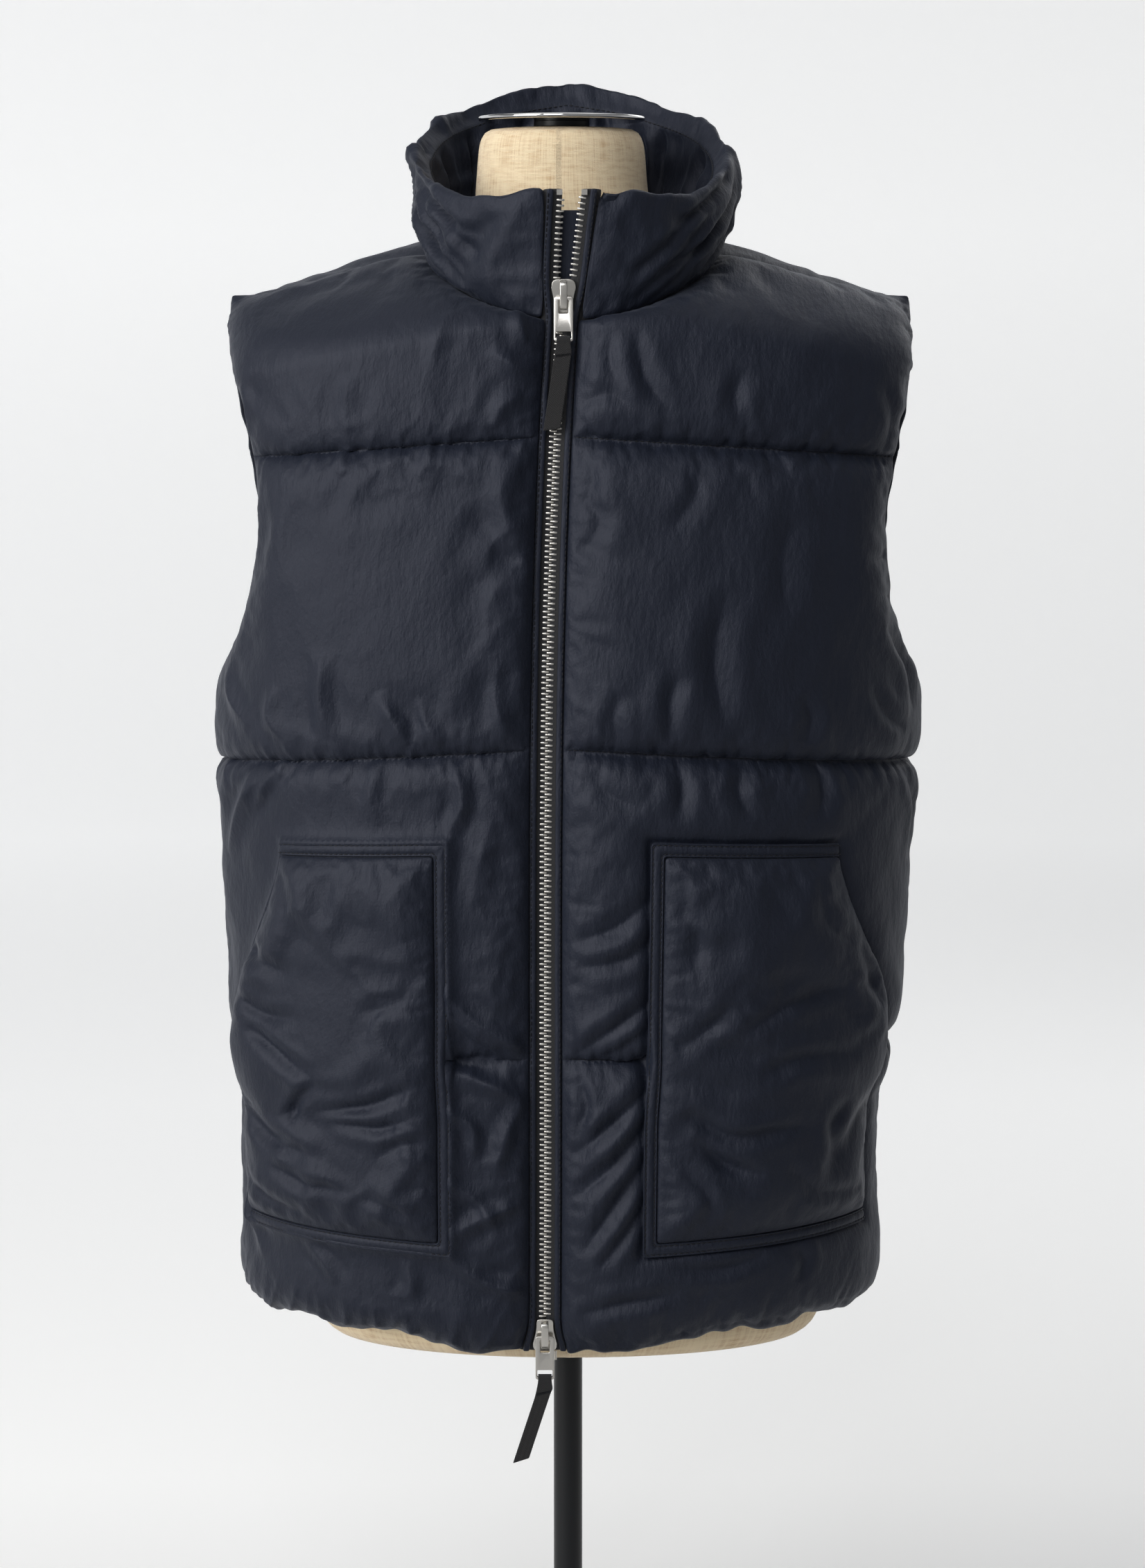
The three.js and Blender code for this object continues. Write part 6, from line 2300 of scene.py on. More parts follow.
# Distances from the centre back and heights: 0 is the outer seam, 83 the top edge and 166 the inner
# seam. A negative depth stands up as a ridge.
COLLAR_CREASES = cloth_folds(
    (5.5, -5.1, (-152, 98), (-154, 82), (-164, 58), (-180, 30)),
    (5.5, -3.7, (-100, 98), (-104, 82), (-116, 56), (-124, 36)),
    (5.5, -5.1, (150, 98), (152, 82), (162, 58), (178, 30)),
    (5.5, -3.5, (96, 98), (100, 82), (112, 56), (120, 36)),
    (4.5, 6.5, (-172, 66), (-210, 42), (-252, 12)),
    (4.5, 5.7, (-178, 44), (-206, 22), (-232, 4)),
    (4.5, 4.6, (-182, 76), (-224, 66), (-262, 52)),
    (4.5, 3, (-140, 70), (-146, 40), (-164, 10)),
    (4.5, 6.2, (170, 64), (212, 46), (256, 26)),
    (4.5, 5.9, (166, 50), (198, 26), (228, 6)),
    (4.5, 4.9, (186, 76), (222, 70), (258, 60)),
    (4.5, 3, (138, 68), (146, 38), (160, 8)),
    (4.5, 3, (-84, 70), (-78, 40), (-86, 12)),
    (5.5, 3.2, (-36, 72), (-42, 44), (-34, 14)),
    (4.5, 2.7, (14, 70), (20, 42), (12, 16)),
    (5.5, 3.2, (62, 72), (56, 42), (64, 12)),
    (4.5, 6, (-84, 98), (-80, 120), (-86, 142)),
    (4.5, 6.4, (-62, 99), (-66, 124), (-58, 150)),
    (5.5, 6.9, (-38, 98), (-34, 126), (-42, 152)),
    (4.5, 5.7, (-18, 99), (-22, 120), (-16, 140)),
    (5.5, 7.1, (4, 98), (10, 124), (2, 150)),
    (4.5, 5.7, (24, 99), (20, 122), (28, 144)),
    (4.5, 6.4, (44, 98), (50, 122), (42, 148)),
    (4.5, 6, (70, 98), (64, 122), (72, 146)),
    (5.5, 5.7, (-124, 98), (-118, 124), (-126, 150)),
    (5.5, 5.7, (118, 98), (112, 124), (122, 150)),
    (5.5, 6, (-196, 92), (-204, 112), (-198, 140)),
    (5.5, 6, (190, 92), (200, 114), (194, 142)),
    (4.5, 3.4, (232, 70), (256, 48), (280, 24)),
    (4.5, 3.2, (204, 54), (236, 28), (262, 6)),
    (4.5, 3, (222, 62), (250, 32), (274, 8)),
    (4.5, 3.2, (-186, 62), (-214, 34), (-246, 8)),
    (4.5, 3.4, (-212, 78), (-236, 58), (-264, 34)),
    (4.5, 3, (-200, 70), (-226, 44), (-256, 18)),
)


# ------------------------------------------------------------------ dress form and stand
class FormRing(NamedTuple):
    """A level ring of the dress form: its height, half width, depths and squareness."""

    z: float
    half: float
    front: float
    back: float
    square: float


FORM_RINGS = (
    FormRing(337, 150, 88, 80, 2.1),
    FormRing(339, 157, 95, 87, 2.1),
    FormRing(345, 164, 102, 92, 2.1),
    FormRing(358, 168, 105, 95, 2.1),
    FormRing(390, 169, 107, 96, 2.1),
    FormRing(450, 167, 107, 95, 2.1),
    FormRing(540, 158, 104, 88, 2.1),
    FormRing(620, 154, 104, 84, 2.1),
    FormRing(700, 160, 107, 88, 2.1),
    FormRing(780, 170, 110, 94, 2.1),
    FormRing(850, 180, 109, 98, 2.1),
    FormRing(920, 189, 103, 99, 2.1),
    FormRing(965, 191, 92, 94, 2.1),
    FormRing(995, 187, 76, 84, 2.0),
    FormRing(1005, 180, 67, 76, 1.9),
    FormRing(1012, 170, 60, 69, 1.8),
    FormRing(1019, 156, 55, 65, 1.7),
    FormRing(1028, 130, 50, 59, 1.6),
    FormRing(1036, 104, 48, 55, 1.6),
    FormRing(1042, 86, 47, 53, 1.7),
    FormRing(1050, 69, 47, 52, 1.9),
    FormRing(1062, 60, 48, 51, 2),
    FormRing(1085, 56, 49, 50, 2),
    FormRing(1118, 53, 48, 49, 2),
    FormRing(1125, 50, 45, 46, 2),
    FormRing(1128, 44, 39, 40, 2),
)


@dataclass(frozen=True)
class DressForm:
    """A limbless torso covered in linen, with its disc, pole and round base."""

    x: float = 0.6
    neck_lean: float = -4.6
    lean_from: float = 1050.0
    sides: int = 96
    plate_radius: float = 54.0
    plate_thick: float = 3.0
    plate_lift: float = 3.5
    plate_round: float = 1.4
    boss_radius: float = 18.0
    pole_radius: float = 9.5
    base_radius: float = 170.0
    base_thick: float = 9.0
    hub_radius: float = 24.0
    hub_top: float = 26.0

    def torso(self, material: bpy.types.Material) -> bpy.types.Object:
        """Make the covered torso."""
        zs = [ring.z for ring in FORM_RINGS]
        reads = [track(zs, [ring[k] for ring in FORM_RINGS]) for k in range(1, 5)]
        heights = np.unique(np.concatenate([zs, np.arange(345, 1120, 8.0)]))
        turn = np.linspace(0, 2 * math.pi, self.sides, endpoint=False)
        rings, cloth = [], []
        for z in heights:
            half, front, back, square = (float(read(z)) for read in reads)
            power = 2 / square
            lean = self.x + self.neck_lean * float(smooth((z - self.lean_from) / 40))
            y = signed_power(-np.cos(turn), power)
            x = lean + half * signed_power(np.sin(turn), power)
            y = y * np.where(y < 0, front, back)
            rings.append(np.stack([x, y, np.full(self.sides, z)], 1))
            cloth.append(np.stack([turn * 165, np.full(self.sides, z)], 1))
        points, faces = tube(np.array(rings))
        obj = mesh_object("form_torso", points, faces, material, np.concatenate(cloth))
        return subdivided(obj)

    def turned(
        self,
        name: str,
        profile: Sequence[tuple[float, float]],
        x: float,
        sides: int,
        material: bpy.types.Material,
    ) -> bpy.types.Object:
        """Turn a profile round an upright axis.

        Args:
            name: The piece's name.
            profile: Radius and height of each ring, from the underside round to the top.
            x: The axis's place.
            sides: How many sides it has.
            material: Its finish.

        Returns:
            The turned piece.
        """
        turn = np.linspace(0, 2 * math.pi, sides, endpoint=False)
        rings = [[(x + r * math.cos(a), r * math.sin(a), z) for a in turn] for r, z in profile]
        points, faces = tube(np.array(rings))
        obj = mesh_object(name, points, faces, material)
        obj.data.set_sharp_from_angle(angle=math.radians(32))
        return obj

    def boss(self, material: bpy.types.Material) -> bpy.types.Object:
        """Make the short dark boss that carries the disc."""
        bottom = FORM_RINGS[-1].z + GAP
        profile = [(self.boss_radius, z) for z in (bottom, bottom + self.plate_lift - 0.2)]
        return self.turned("form_disc_boss", profile, self.x + self.neck_lean, 64, material)

    def disc(self, material: bpy.types.Material) -> bpy.types.Object:
        """Make the polished disc on the neck."""
        bottom = FORM_RINGS[-1].z + GAP
        low, edge = bottom + self.plate_lift, self.plate_radius
        high = low + self.plate_thick
        profile = [(edge - self.plate_round, low)]
        for degrees in np.linspace(-90, 90, 9):
            angle = math.radians(degrees)
            out = self.plate_round * math.cos(angle)
            up = self.plate_thick / 2 * math.sin(angle)
            profile.append((edge - self.plate_round + out, (low + high) / 2 + up))
        return self.turned("form_neck_disc", profile, self.x + self.neck_lean, 128, material)

    def pole(self, material: bpy.types.Material) -> bpy.types.Object:
        """Make the pole between the base and the torso."""
        low, high = self.base_thick + GAP, FORM_RINGS[0].z - GAP
        profile = [(self.pole_radius, low), (self.pole_radius, high)]
        return self.turned("form_pole", profile, 0.0, 64, material)

    def base(self, material: bpy.types.Material) -> bpy.types.Object:
        """Make the round base with its hub."""
        radius, thick, hub, top = self.base_radius, self.base_thick, self.hub_radius, self.hub_top
        hole = self.pole_radius + GAP
        profile = [(radius - 2, 0.0), (radius - 0.6, 0.6), (radius, 2.0), (radius, thick - 2)]
        profile += [(radius - 0.6, thick - 0.6), (radius - 2, thick), (hub + 2, thick)]
        profile += [(hub, thick + 2), (hub, top - 2), (hub - 0.6, top - 0.6), (hub - 2, top)]
        profile += [(hole, top), (hole, thick)]
        return self.turned("form_base", profile, 0.0, 128, material)


# ------------------------------------------------------------------ finishes
def linear(colour: str) -> tuple[float, float, float, float]:
    """Turn an sRGB hex colour into linear light."""
    parts = [int(colour[i : i + 2], 16) / 255 for i in (1, 3, 5)]
    red, green, blue = (p / 12.92 if p <= 0.04045 else ((p + 0.055) / 1.055) ** 2.4 for p in parts)
    return red, green, blue, 1.0


class Weave(Enum):
    """How a cloth is woven, which fixes the pattern of its bumps."""

    NONE = "none"
    SATIN = "satin"
    PLAIN = "plain"
    HERRINGBONE = "herringbone"
    TAPE = "tape"


@dataclass(frozen=True)
class Finish:
    """What a surface is made of and how it looks.

    Attributes:
        name: The material's common name and how its surface was made.
        colour: Its sRGB colour.
        roughness: How much it spreads reflections.
        metallic: 1 for a bare metal.
        sheen: How much light its fibres catch at grazing angles.
        weave: How it is woven.
        thread: The weave's pitch, in metres.
        bump: How high the weave stands, in metres.
        other: A second sRGB colour that varies with the first, for thick and thin yarns and for painted
            shade between the threads.
        ior: Its index of refraction. A metal keeps the default.
        anisotropy: How much its reflections stretch along its threads.
        reflection: The sRGB tint of its reflections.
    """

    name: str
    colour: str
    roughness: float
    metallic: float = 0.0
    sheen: float = 0.0
    weave: Weave = Weave.NONE
    thread: float = 0.0005
    bump: float = 0.0
    other: str = ""
    ior: float = 1.5
    anisotropy: float = 0.0
    reflection: str = "#ffffff"

    def build(self) -> bpy.types.Material:
        """Make the material."""
        material = bpy.data.materials.new(self.name)
        material.use_nodes = True
        board = ClothBoard(material.node_tree)
        skin = board.tree.nodes["Principled BSDF"]
        skin.inputs["Base Color"].default_value = linear(self.colour)
        skin.inputs["Roughness"].default_value = self.roughness
        skin.inputs["Metallic"].default_value = self.metallic
        skin.inputs["Sheen Weight"].default_value = self.sheen
        skin.inputs["Sheen Roughness"].default_value = 0.45
        skin.inputs["Sheen Tint"].default_value = linear("#c3cbe0" if self.sheen else "#ffffff")
        skin.inputs["Anisotropic"].default_value = self.anisotropy
        skin.inputs["Specular Tint"].default_value = linear(self.reflection)
        if not self.metallic:
            skin.inputs["IOR"].default_value = self.ior
        if self.weave is not Weave.NONE:
            board.weave(self, skin)
        elif self.bump:
            board.grain(self, skin)
        return material


class ClothBoard(Board):
    """Wires a cloth's or a coating's pattern into its material."""

    def sine(self, value: bpy.types.NodeSocket, pitch: float, phase: Any = 0.0) -> bpy.types.NodeSocket:
        """Draw a wave from 0 to 1 along a coordinate in metres."""
        values = {"0": value, "1": 2 * math.pi / pitch}
        scaled = self.add("ShaderNodeMath", values, operation="MULTIPLY")
        moved = self.add("ShaderNodeMath", {"0": scaled.outputs[0], "1": phase}, operation="ADD")
        wave = self.add("ShaderNodeMath", {"0": moved.outputs[0]}, operation="SINE")
        half = {"0": wave.outputs[0], "1": 0.5, "2": 0.5}
        return self.add("ShaderNodeMath", half, operation="MULTIPLY_ADD").outputs[0]

    def weave(self, finish: Finish, skin: bpy.types.Node) -> None:
        """Raise the threads of a woven cloth and vary its colour, with painted shade between the
        threads.

        Args:
            finish: The cloth's finish.
            skin: The shader.
        """
        cloth = self.add("ShaderNodeUVMap", uv_map="cloth").outputs[0]
        parts = self.add("ShaderNodeSeparateXYZ", {"0": cloth})
        u, v = parts.outputs[0], parts.outputs[1]
        pitch = finish.thread
        if finish.weave is Weave.HERRINGBONE:
            height = self._herringbone(u, v, pitch)
        elif finish.weave is Weave.SATIN:
            height = self.sine(v, pitch)
        else:
            across, up = self.sine(u, pitch), self.sine(v, pitch)
            height = self.add("ShaderNodeMath", {"0": across, "1": up}, operation="MULTIPLY").outputs[0]
        bump = self.add("ShaderNodeBump", {"Height": height, "Distance": finish.bump, "Strength": 1.0})
        crumple = self._crumple(finish, cloth)
        if crumple is not None:
            values = {"Height": crumple, "Distance": 0.0011, "Strength": 1.0}
            soft = self.add("ShaderNodeBump", values)
            self.tree.links.new(soft.outputs[0], bump.inputs["Normal"])
        self.tree.links.new(bump.outputs[0], skin.inputs["Normal"])
        if finish.other:
            self._yarns_and_painted_thread_shade(finish, cloth, height, skin)

    def _herringbone(
        self, u: bpy.types.NodeSocket, v: bpy.types.NodeSocket, pitch: float
    ) -> bpy.types.NodeSocket:
        """Draw slanting ribs that turn back at every column."""
        fold = self.add("ShaderNodeMath", {"0": u, "1": 0.0018}, operation="PINGPONG").outputs[0]
        slant = self.add("ShaderNodeMath", {"0": v, "1": fold}, operation="ADD").outputs[0]
        return self.sine(slant, pitch)

    def _crumple(self, finish: Finish, cloth: bpy.types.NodeSocket) -> bpy.types.NodeSocket | None:
        """Draw the fine unevenness of a thin cloth over its filling."""
        if finish.weave is not Weave.SATIN:
            return None
        turning = {"Vector": cloth, "Rotation": (0, 0, 0.3), "Scale": (190, 80, 1)}
        turned = self.add("ShaderNodeMapping", turning)
        values = {"Vector": turned.outputs[0], "Scale": 1.0, "Detail": 6.0, "Roughness": 0.62}
        return self.add("ShaderNodeTexNoise", values).outputs["Fac"]

    def _yarns_and_painted_thread_shade(
        self,
        finish: Finish,
        cloth: bpy.types.NodeSocket,
        height: bpy.types.NodeSocket,
        skin: bpy.types.Node,
    ) -> None:
        """Paint shade between the threads and draw thick and thin yarns both ways."""
        # Painted shade: the weave's height darkens the colour between the threads.
        total = height
        for scale in ((30.0, 420.0, 1.0), (420.0, 30.0, 1.0)):
            turned = self.add("ShaderNodeMapping", {"Vector": cloth, "Scale": scale})
            noise = {"Vector": turned.outputs[0], "Scale": 1.0, "Detail": 2.0}
            yarn = self.add("ShaderNodeTexNoise", noise)
            values = {"0": yarn.outputs["Fac"], "1": 1.3, "2": total}
            total = self.add("ShaderNodeMath", values, operation="MULTIPLY_ADD").outputs[0]
        share = self.add("ShaderNodeMapRange", {"Value": total, "From Min": 0.6, "From Max": 1.5})
        blend = self.add("ShaderNodeMix", {"Factor": share.outputs[0]}, data_type="RGBA")
        blend.inputs[6].default_value = linear(finish.other)
        blend.inputs[7].default_value = linear(finish.colour)
        self.tree.links.new(blend.outputs[2], skin.inputs["Base Color"])

    def grain(self, finish: Finish, skin: bpy.types.Node) -> None:
        """Raise the fine grain of a coating or casting."""
        place = self.add("ShaderNodeTexCoord").outputs["Object"]
        values = {"Vector": place, "Scale": 1 / finish.thread, "Detail": 2.0}
        noise = self.add("ShaderNodeTexNoise", values).outputs["Fac"]
        values = {"Height": noise, "Distance": finish.bump, "Strength": 1.0}
        bump = self.add("ShaderNodeBump", values)
        self.tree.links.new(bump.outputs[0], skin.inputs["Normal"])


# Satin-weave nylon over filling: dark navy, with soft broad highlights that follow each fold. Its
# real threads are 0.1 mm apart, and they are drawn 0.5 mm apart so that they show.
SHELL_NYLON = Finish(
    "satin_nylon",
    "#0f1420",
    0.54,
    sheen=0.1,
    weave=Weave.SATIN,
    thread=0.0005,
    bump=0.00003,
    ior=1.38,
    reflection="#edf0ff",
)
# Woven polyester zip tape: matt black.
ZIP_TAPE = Finish(
    "polyester_tape", "#1a1a1c", 0.8, sheen=0.2, weave=Weave.TAPE, thread=0.0009, bump=0.0001, ior=1.55
)
# Herringbone cotton-blend webbing: matt black ribs that turn back every 1.8 mm.
HERRINGBONE = Finish(
    "herringbone_webbing",
    "#141314",
    0.85,
    sheen=0.12,
    weave=Weave.HERRINGBONE,
    thread=0.0014,
    bump=0.00022,
)
# Cast zinc with satin nickel plate: a light grey metal with soft edges to its reflections.
NICKEL = Finish("satin_nickel", "#cfccc6", 0.27, metallic=1.0, thread=0.0004, bump=0.000008)
# Spun steel with polished chrome: sharp, nearly neutral reflections.
CHROME = Finish("polished_chrome", "#dcdcdc", 0.07, metallic=1.0)
# Plain-weave natural linen: matt, with thick and thin yarns and painted shade between the threads. Its
# 0.8 mm threads are drawn true.
LINEN = Finish(
    "natural_linen",
    "#f3dfbb",
    0.9,
    sheen=0.25,
    weave=Weave.PLAIN,
    thread=0.0009,
    bump=0.00018,
    other="#b68852",
)
# Steel with black satin powder coat: dark, with soft upright highlights on the pole.
POWDER_COAT = Finish("black_powder_coat", "#0d0f12", 0.42, thread=0.0007, bump=0.00002, ior=1.4)
# Spun polyester sewing thread, dyed to match the shell.
THREAD = Finish("sewing_thread", "#0b0c12", 0.7, sheen=0.05, ior=1.4)


# ------------------------------------------------------------------ studio
@dataclass(frozen=True)
class Softbox:
    """A large studio light: its place and aim in metres, its size, power and colour."""

    name: str
    place: tuple[float, float, float]
    aim: tuple[float, float, float]
    size: tuple[float, float]
    power: float
    colour: str = "#ffffff"

    def build(self) -> bpy.types.Object:
        """Hang the light."""
        light = bpy.data.lights.new(self.name, "AREA")
        light.shape = "RECTANGLE"
        light.size, light.size_y = self.size
        light.energy = self.power
        light.color = linear(self.colour)[:3]
        obj = bpy.data.objects.new(self.name, light)
        obj.location = self.place
        toward = Vector(self.aim) - Vector(self.place)
        obj.rotation_euler = toward.to_track_quat("-Z", "Y").to_euler()
        bpy.context.scene.collection.objects.link(obj)
        return obj


class Studio:
    """The pale seamless sweep, the lights and the camera."""

    LIGHTS = (
        Softbox("key_left", (-2.4, -1.9, 1.9), (0.0, 0.0, 0.75), (2.0, 2.6), 104.0, "#fffefc"),
        Softbox("front_high", (-0.7, -3.1, 2.9), (0.0, 0.0, 0.9), (1.5, 1.2), 36.0, "#fdfdff"),
        Softbox("top", (0.0, 0.3, 3.0), (0.0, 0.0, 0.9), (2.4, 2.0), 12.0),
        Softbox("behind", (1.6, 2.6, 2.4), (0.0, 0.0, 0.7), (1.6, 1.6), 12.0),
    )

    # The round sheet of paper, in millimetres: its radius, its curve's radius and its top.
    RADIUS, CURVE, WALL, SIDES = 6500.0, 1200.0, 4500.0, 96

    # How strongly the paper glows as painted light at places from 6.5 m in front to 6.5 m behind, as
    # shares.
    GLOW = ((0.001, 0.0), (0.446, 0.0), (0.558, 0.2), (0.696, 0.34), (0.86, 0.37), (0.999, 0.375))

    def sweep(self) -> bpy.types.Object:
        """Make the round floor that curves up into the backdrop all round."""
        flat, curve = self.RADIUS - self.CURVE, np.linspace(0, math.pi / 2, 24)
        profile = [(flat + self.CURVE * math.sin(a), self.CURVE * (1 - math.cos(a))) for a in curve]
        profile.append((self.RADIUS, self.WALL))
        angles = np.linspace(0, 2 * math.pi, self.SIDES, endpoint=False)
        points = [(r * math.cos(a), r * math.sin(a), z) for r, z in profile for a in angles]
        around = grid_faces(len(profile), self.SIDES, around=True)
        faces = [list(range(self.SIDES))] + [face[::-1] for face in around]
        return mesh_object("studio_sweep", np.array(points), faces, self.paper())

    def paper(self) -> bpy.types.Material:
        """Make the matt backdrop paper with painted light: a painted shade that is grey in front of the
        form and paler behind it, and a painted glow behind it and round its rim that is weaker towards
        the right.
        """
        material = Finish("graduated_background_paper", "#f4f4f3", 0.95).build()
        board = Board(material.node_tree)
        skin = board.tree.nodes["Principled BSDF"]
        skin.inputs["Emission Color"].default_value = linear("#f4f5f7")
        place = board.add("ShaderNodeTexCoord").outputs["Object"]
        across, depth = board.add("ShaderNodeSeparateXYZ", {"0": place}).outputs[:2]

        def ranged(value: Any, low: float, high: float, first: float = 0.0, last: float = 1.0) -> Any:
            """Map a value's range onto another one."""
            values = {"0": value, "1": low, "2": high, "3": first, "4": last}
            return board.add("ShaderNodeMapRange", values).outputs[0]

        # Painted shade: the paper's colour is grey in front of the form and pale behind it.
        shade = board.add("ShaderNodeMix", {"0": ranged(depth, -0.7, 0.8)}, data_type="RGBA")
        shade.inputs[6].default_value = linear("#b4b4b4")
        shade.inputs[7].default_value = linear("#f4f4f3")
        # Painted light: the paper glows behind the form and round its rim, though it is no lamp.
        behind = board.add("ShaderNodeValToRGB", {"Fac": ranged(depth, -6.5, 6.5)})
        ramp = behind.color_ramp.elements
        for share, strength in self.GLOW:
            ramp.new(share).color = (strength, strength, strength, 1.0)
        ramp.remove(ramp[0])
        ramp.remove(ramp[-1])
        reach = board.add("ShaderNodeVectorMath", {"0": place}, operation="LENGTH").outputs[1]
        rim = ranged(reach, 2.8, 5.6, 0.0, 0.18)
        glow = board.add("ShaderNodeMath", {"0": behind.outputs[0], "1": rim}, operation="MAXIMUM")
        # Painted shade: the glow is weaker towards the right.
        for fall in (ranged(across, -1.5, 1.5, 1.07, 0.88), ranged(across, 1.5, 4.5, 1.0, 0.3)):
            values = {"0": glow.outputs[0], "1": fall}
            glow = board.add("ShaderNodeMath", values, operation="MULTIPLY")
        board.tree.links.new(shade.outputs[2], skin.inputs["Base Color"])
        board.tree.links.new(glow.outputs[0], skin.inputs["Emission Strength"])
        return material

    def camera(self) -> bpy.types.Object:
        """Place the camera straight in front, a little above the chest."""
        data = bpy.data.cameras.new("camera")
        data.sensor_fit = "VERTICAL"
        data.sensor_height = 36
        data.lens = 93.06
        obj = bpy.data.objects.new("camera", data)
        obj.location = (0.003, -2.65, 1.003)
        obj.rotation_euler = (math.radians(90 - 6.5), 0, 0)
        bpy.context.scene.collection.objects.link(obj)
        bpy.context.scene.camera = obj
        return obj

    def build(self) -> None:
        """Set up the studio."""
        world = bpy.data.worlds.new("studio")
        world.use_nodes = True
        sky = world.node_tree.nodes["Background"]
        sky.inputs[0].default_value = linear("#f6f8fc")
        sky.inputs[1].default_value = 0.14
        bpy.context.scene.world = world
        self.sweep()
        for light in self.LIGHTS:
            light.build()
        self.camera()
        bpy.context.scene.view_settings.view_transform = "Standard"


# ------------------------------------------------------------------ the whole object
STITCH_PITCH = 3.6


def stitch(material: bpy.types.Material) -> bpy.types.Object:
    """Make one stitch: a short thread with Z along the row and Y outwards."""
    rings = []
    for z, size in ((-1.35, 0.12), (-0.9, 0.34), (0.9, 0.34), (1.35, 0.12)):
        turn = np.linspace(0, 2 * math.pi, 6, endpoint=False)
        rings.append([(size * math.cos(a), 0.5 * size + size * math.sin(a), z) for a in turn])
    points, faces = tube(np.array(rings))
    return mesh_object("stitch", points, faces, material)


def quilting_lines(panel: PaddedPanel) -> list[Array]:
    """Draw the stitching in a panel's quilting, with its outward directions."""
    result = []
    for line in panel.seam_lines():
        cloth = spaced(line, 4.0)[1:-1]
        middle = panel.middle(cloth)
        across = panel.middle(cloth + [0.5, 0]) - panel.middle(cloth - [0.5, 0])
        up = panel.middle(cloth + [0, 0.5]) - panel.middle(cloth - [0, 0.5])
        normal = unit(np.cross(across, up))
        normal *= np.where(np.sign(normal[:, 1:2]) == panel.half.facing, 1, -1)
        result.append(np.concatenate([middle + normal * (PAD.seam - 0.7), normal], 1))
    return result


def placket_lines(side: int) -> Array:
    """Draw the placket's edge stitching, with its outward directions."""
    heights = np.linspace(354, 1081, 240)
    points = along_zip(side, heights, 9.2, 1.5)
    facing = np.tile([0.0, -1.0, 0.0], (len(points), 1))
    return np.concatenate([points, facing], 1)


def zip_guard(material: bpy.types.Material) -> bpy.types.Object:
    """Make the flat flap of shell cloth behind the zip."""
    heights = np.concatenate([[353.0, 354.0], np.arange(362, 1064, 9.0), [1068.0, 1071.0, 1072.0]])
    narrow = np.interp(heights, [1062, 1072], [1.0, 0.7])
    sheets = []
    for out in (-6.0, -7.0):
        columns = []
        for share in (-1.0, -0.95, -0.5, 0.0, 0.5, 0.95, 1.0):
            away = 9.4 * abs(share) * narrow + zip_parting(heights) * (abs(share) - 1)
            columns.append(along_zip(-1 if share < 0 else 1, heights, away, out))
        sheets.append(np.array(columns).transpose(1, 0, 2))
    points, faces = sandwich(sheets[0], sheets[1])
    cloth = np.stack([points[:, 0], points[:, 2]], 1)
    return subdivided(mesh_object("vest_zip_guard", points, faces, material, cloth))


@dataclass(frozen=True)
class SeamBinding:
    """The flat tape that binds the neck and side seams inside the vest.

    Attributes:
        half: Half its width, in millimetres.
        inward: How far inside the seam it lies, in millimetres.
        thick: Its thickness, in millimetres.
    """

    half: float = 3.2
    inward: float = 3.0
    thick: float = 0.6

    def strip(self, seam: Array, outward: Array) -> tuple[Array, list[list[int]]]:
        """Lay the tape along a seam.

        Args:
            seam: The seam's points, in millimetres.
            outward: The direction out of the garment at each.

        Returns:
            The tape's points and faces.
        """
        across = unit(np.cross(np.gradient(seam, axis=0), outward))
        sheets = []
        for depth in (self.inward, self.inward + self.thick):
            columns = [seam - outward * depth + across * w for w in (-self.half, 0.0, self.half)]
            sheets.append(np.array(columns).transpose(1, 0, 2))
        return sandwich(sheets[0], sheets[1])

    def seams(self) -> list[tuple[Array, Array]]:
        """List the neck and side seams with their outward directions."""
        result = []
        for side in (-1, 1):
            edge = float(front_edge_x(side, FRONT.z(FRONT.neck_level)))
            angles = np.linspace(math.asin(edge / NECK.half), math.pi, 70)
            neck = placed(side, NECK.point(angles))
            result.append((neck, np.array([neck_mitre(side, float(angle)) for angle in angles])))
            levels = np.linspace(HEM + 3, UNDERARM, 60)
            flank = np.array([FRONT.curve(level, side).points[-1] for level in levels])
            flank[:, 1] = SEAM_Y
            result.append((flank, np.tile([float(side), 0.0, 0.0], (len(levels), 1))))
        return result

    def build(self, material: bpy.types.Material) -> bpy.types.Object:
        """Make all the bindings as one piece."""
        points: list[Array] = []
        faces: list[list[int]] = []
        for seam, outward in self.seams():
            count = sum(len(chunk) for chunk in points)
            made, quads = self.strip(seam, outward)
            points.append(made)
            faces += [[i + count for i in face] for face in quads]
        everything = np.concatenate(points)
        cloth = everything[:, [1, 2]]
        return mesh_object("vest_seam_binding", everything, faces, material, cloth)


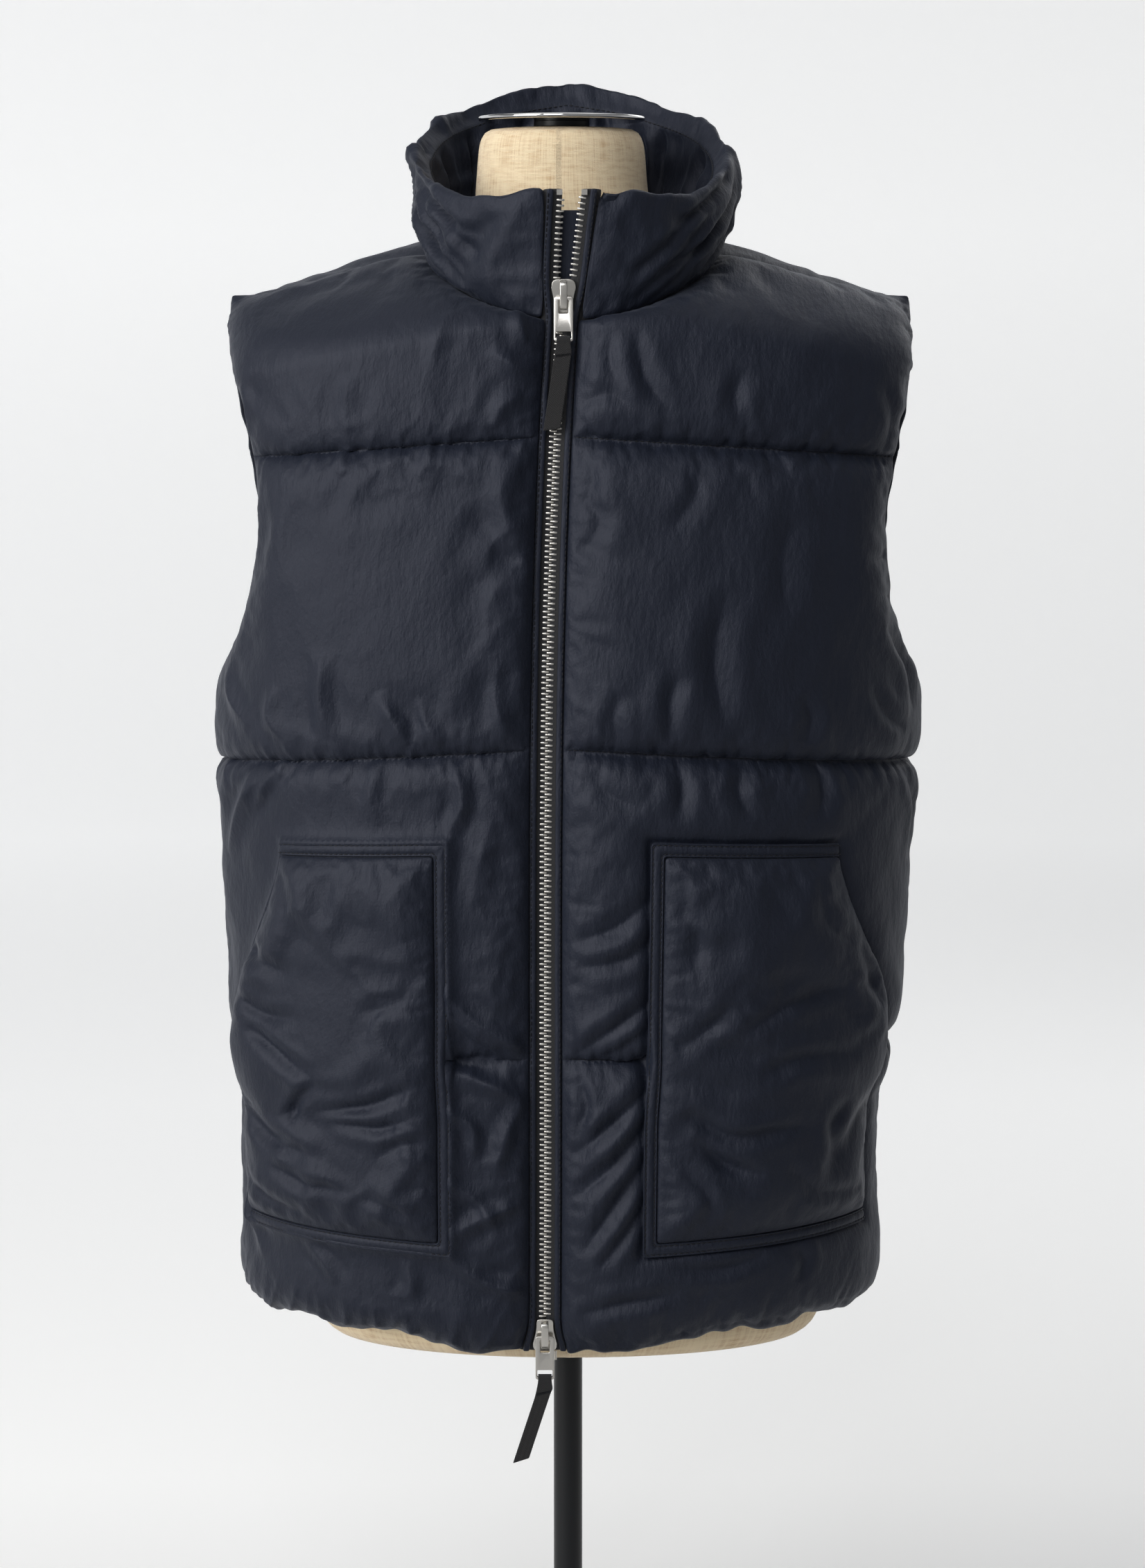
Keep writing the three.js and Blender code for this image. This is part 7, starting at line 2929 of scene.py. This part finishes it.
def build_vest(materials: Mapping[str, bpy.types.Material]) -> None:
    """Build the padded cloth: the fronts, back, collar, front edges, pockets and stitching."""
    shell = materials["shell"]
    fronts = [FrontPanel(-1, LEFT_CREASES), FrontPanel(1, RIGHT_CREASES)]
    back = BackPanel(BACK_CREASES)
    for panel in (*fronts, back):
        piece = rides(panel.build(shell), Body.MAIN, [panel.node])
    collar = Collar(CollarSizes(), COLLAR_CREASES)
    collar_piece = rides(collar.build(shell), Body.MAIN, ["collar"])
    stitching = [*quilting_lines(fronts[0]), *quilting_lines(fronts[1]), *quilting_lines(back)]
    stitching.append(collar.stitch_line())
    for panel, creases in zip(fronts, (LEFT_POCKET_CREASES, RIGHT_POCKET_CREASES)):
        pocket = Pocket(panel, creases)
        bag = rides(pocket.bag(shell), Body.MAIN, [f"pocket_{pocket.word}"])
        border = rides(pocket.border(shell), Body.MAIN, [f"pocket_trim_{pocket.word}"])
        stitching += pocket.stitch_lines()
    for side in (-1, 1):
        edge = FrontEdge(side)
        placket = rides(edge.placket(shell), Body.MAIN, [f"placket_{edge.word}"])
        tape = rides(edge.tape(materials["tape"]), Body.MAIN, [f"zip_tape_{edge.word}"])
        stitching.append(placket_lines(side))
    binding = rides(SeamBinding().build(materials["tape"]), Body.MAIN)
    guard = rides(zip_guard(shell), Body.MAIN)
    thread = stitch(materials["thread"])
    rows = RowOfPieces("stitches", thread, materials["thread"]).laid(stitching, STITCH_PITCH)
    bpy.data.objects.remove(thread)
    rides(joined("vest_stitching", rows), Body.MAIN)


def build_zip(materials: Mapping[str, bpy.types.Material]) -> None:
    """Build the teeth, both sliders with their tabs and webbing, and dress the stops and the pin."""
    metal, webbing = materials["zip_metal"], materials["webbing"]
    rides(ZipChain().build(metal), Body.MAIN)
    for sizes in (
        ZipPullSizes("top", Body.TOP_PULL, 1018.0, -8.5, 8.0, 1),
        ZipPullSizes("bottom", Body.BOTTOM_PULL, 361.0, -18.0, 0.0, -1),
    ):
        pull = ZipPull(sizes)
        rides(pull.slider(metal), Body.MAIN, [f"slider_{sizes.word}"])
        tab = rides(pull.tab(metal), sizes.body, [f"pull_{sizes.word}"])
        strap = rides(pull.webbing(webbing), sizes.body, [f"webbing_{sizes.word}"])
        bartack = rides(pull.bartack(materials["thread"]), sizes.body)
    for name in ("stop_left", "stop_right", "zip_pin"):
        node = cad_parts[name]
        node.data.materials.clear()
        node.data.materials.append(metal)


def build_form(materials: Mapping[str, bpy.types.Material]) -> None:
    """Build the dress form's torso, disc, pole and base."""
    form = DressForm()
    rides(form.torso(materials["linen"]), Body.MAIN, ["torso"])
    rides(form.disc(materials["chrome"]), Body.MAIN, ["neck_plate"])
    rides(form.boss(materials["stand"]), Body.MAIN, [])
    rides(form.pole(materials["stand"]), Body.MAIN, ["pole"])
    rides(form.base(materials["stand"]), Body.MAIN, ["base"])


def main() -> None:
    """Build the vest, its zip, the dress form and the studio."""
    logging.basicConfig(level=logging.INFO, format="%(name)s: %(message)s")
    finishes = {
        "shell": SHELL_NYLON,
        "tape": ZIP_TAPE,
        "webbing": HERRINGBONE,
        "zip_metal": NICKEL,
        "linen": LINEN,
        "chrome": CHROME,
        "stand": POWDER_COAT,
        "thread": THREAD,
    }
    materials = {slot: finish.build() for slot, finish in finishes.items()}
    build_vest(materials)
    build_zip(materials)
    build_form(materials)
    Studio().build()


def plain(bounds: Any) -> list[list[float]]:
    """Turn a box into plain lists."""
    return [[float(value) for value in corner] for corner in bounds]


if __name__ == "__main__":
    main()
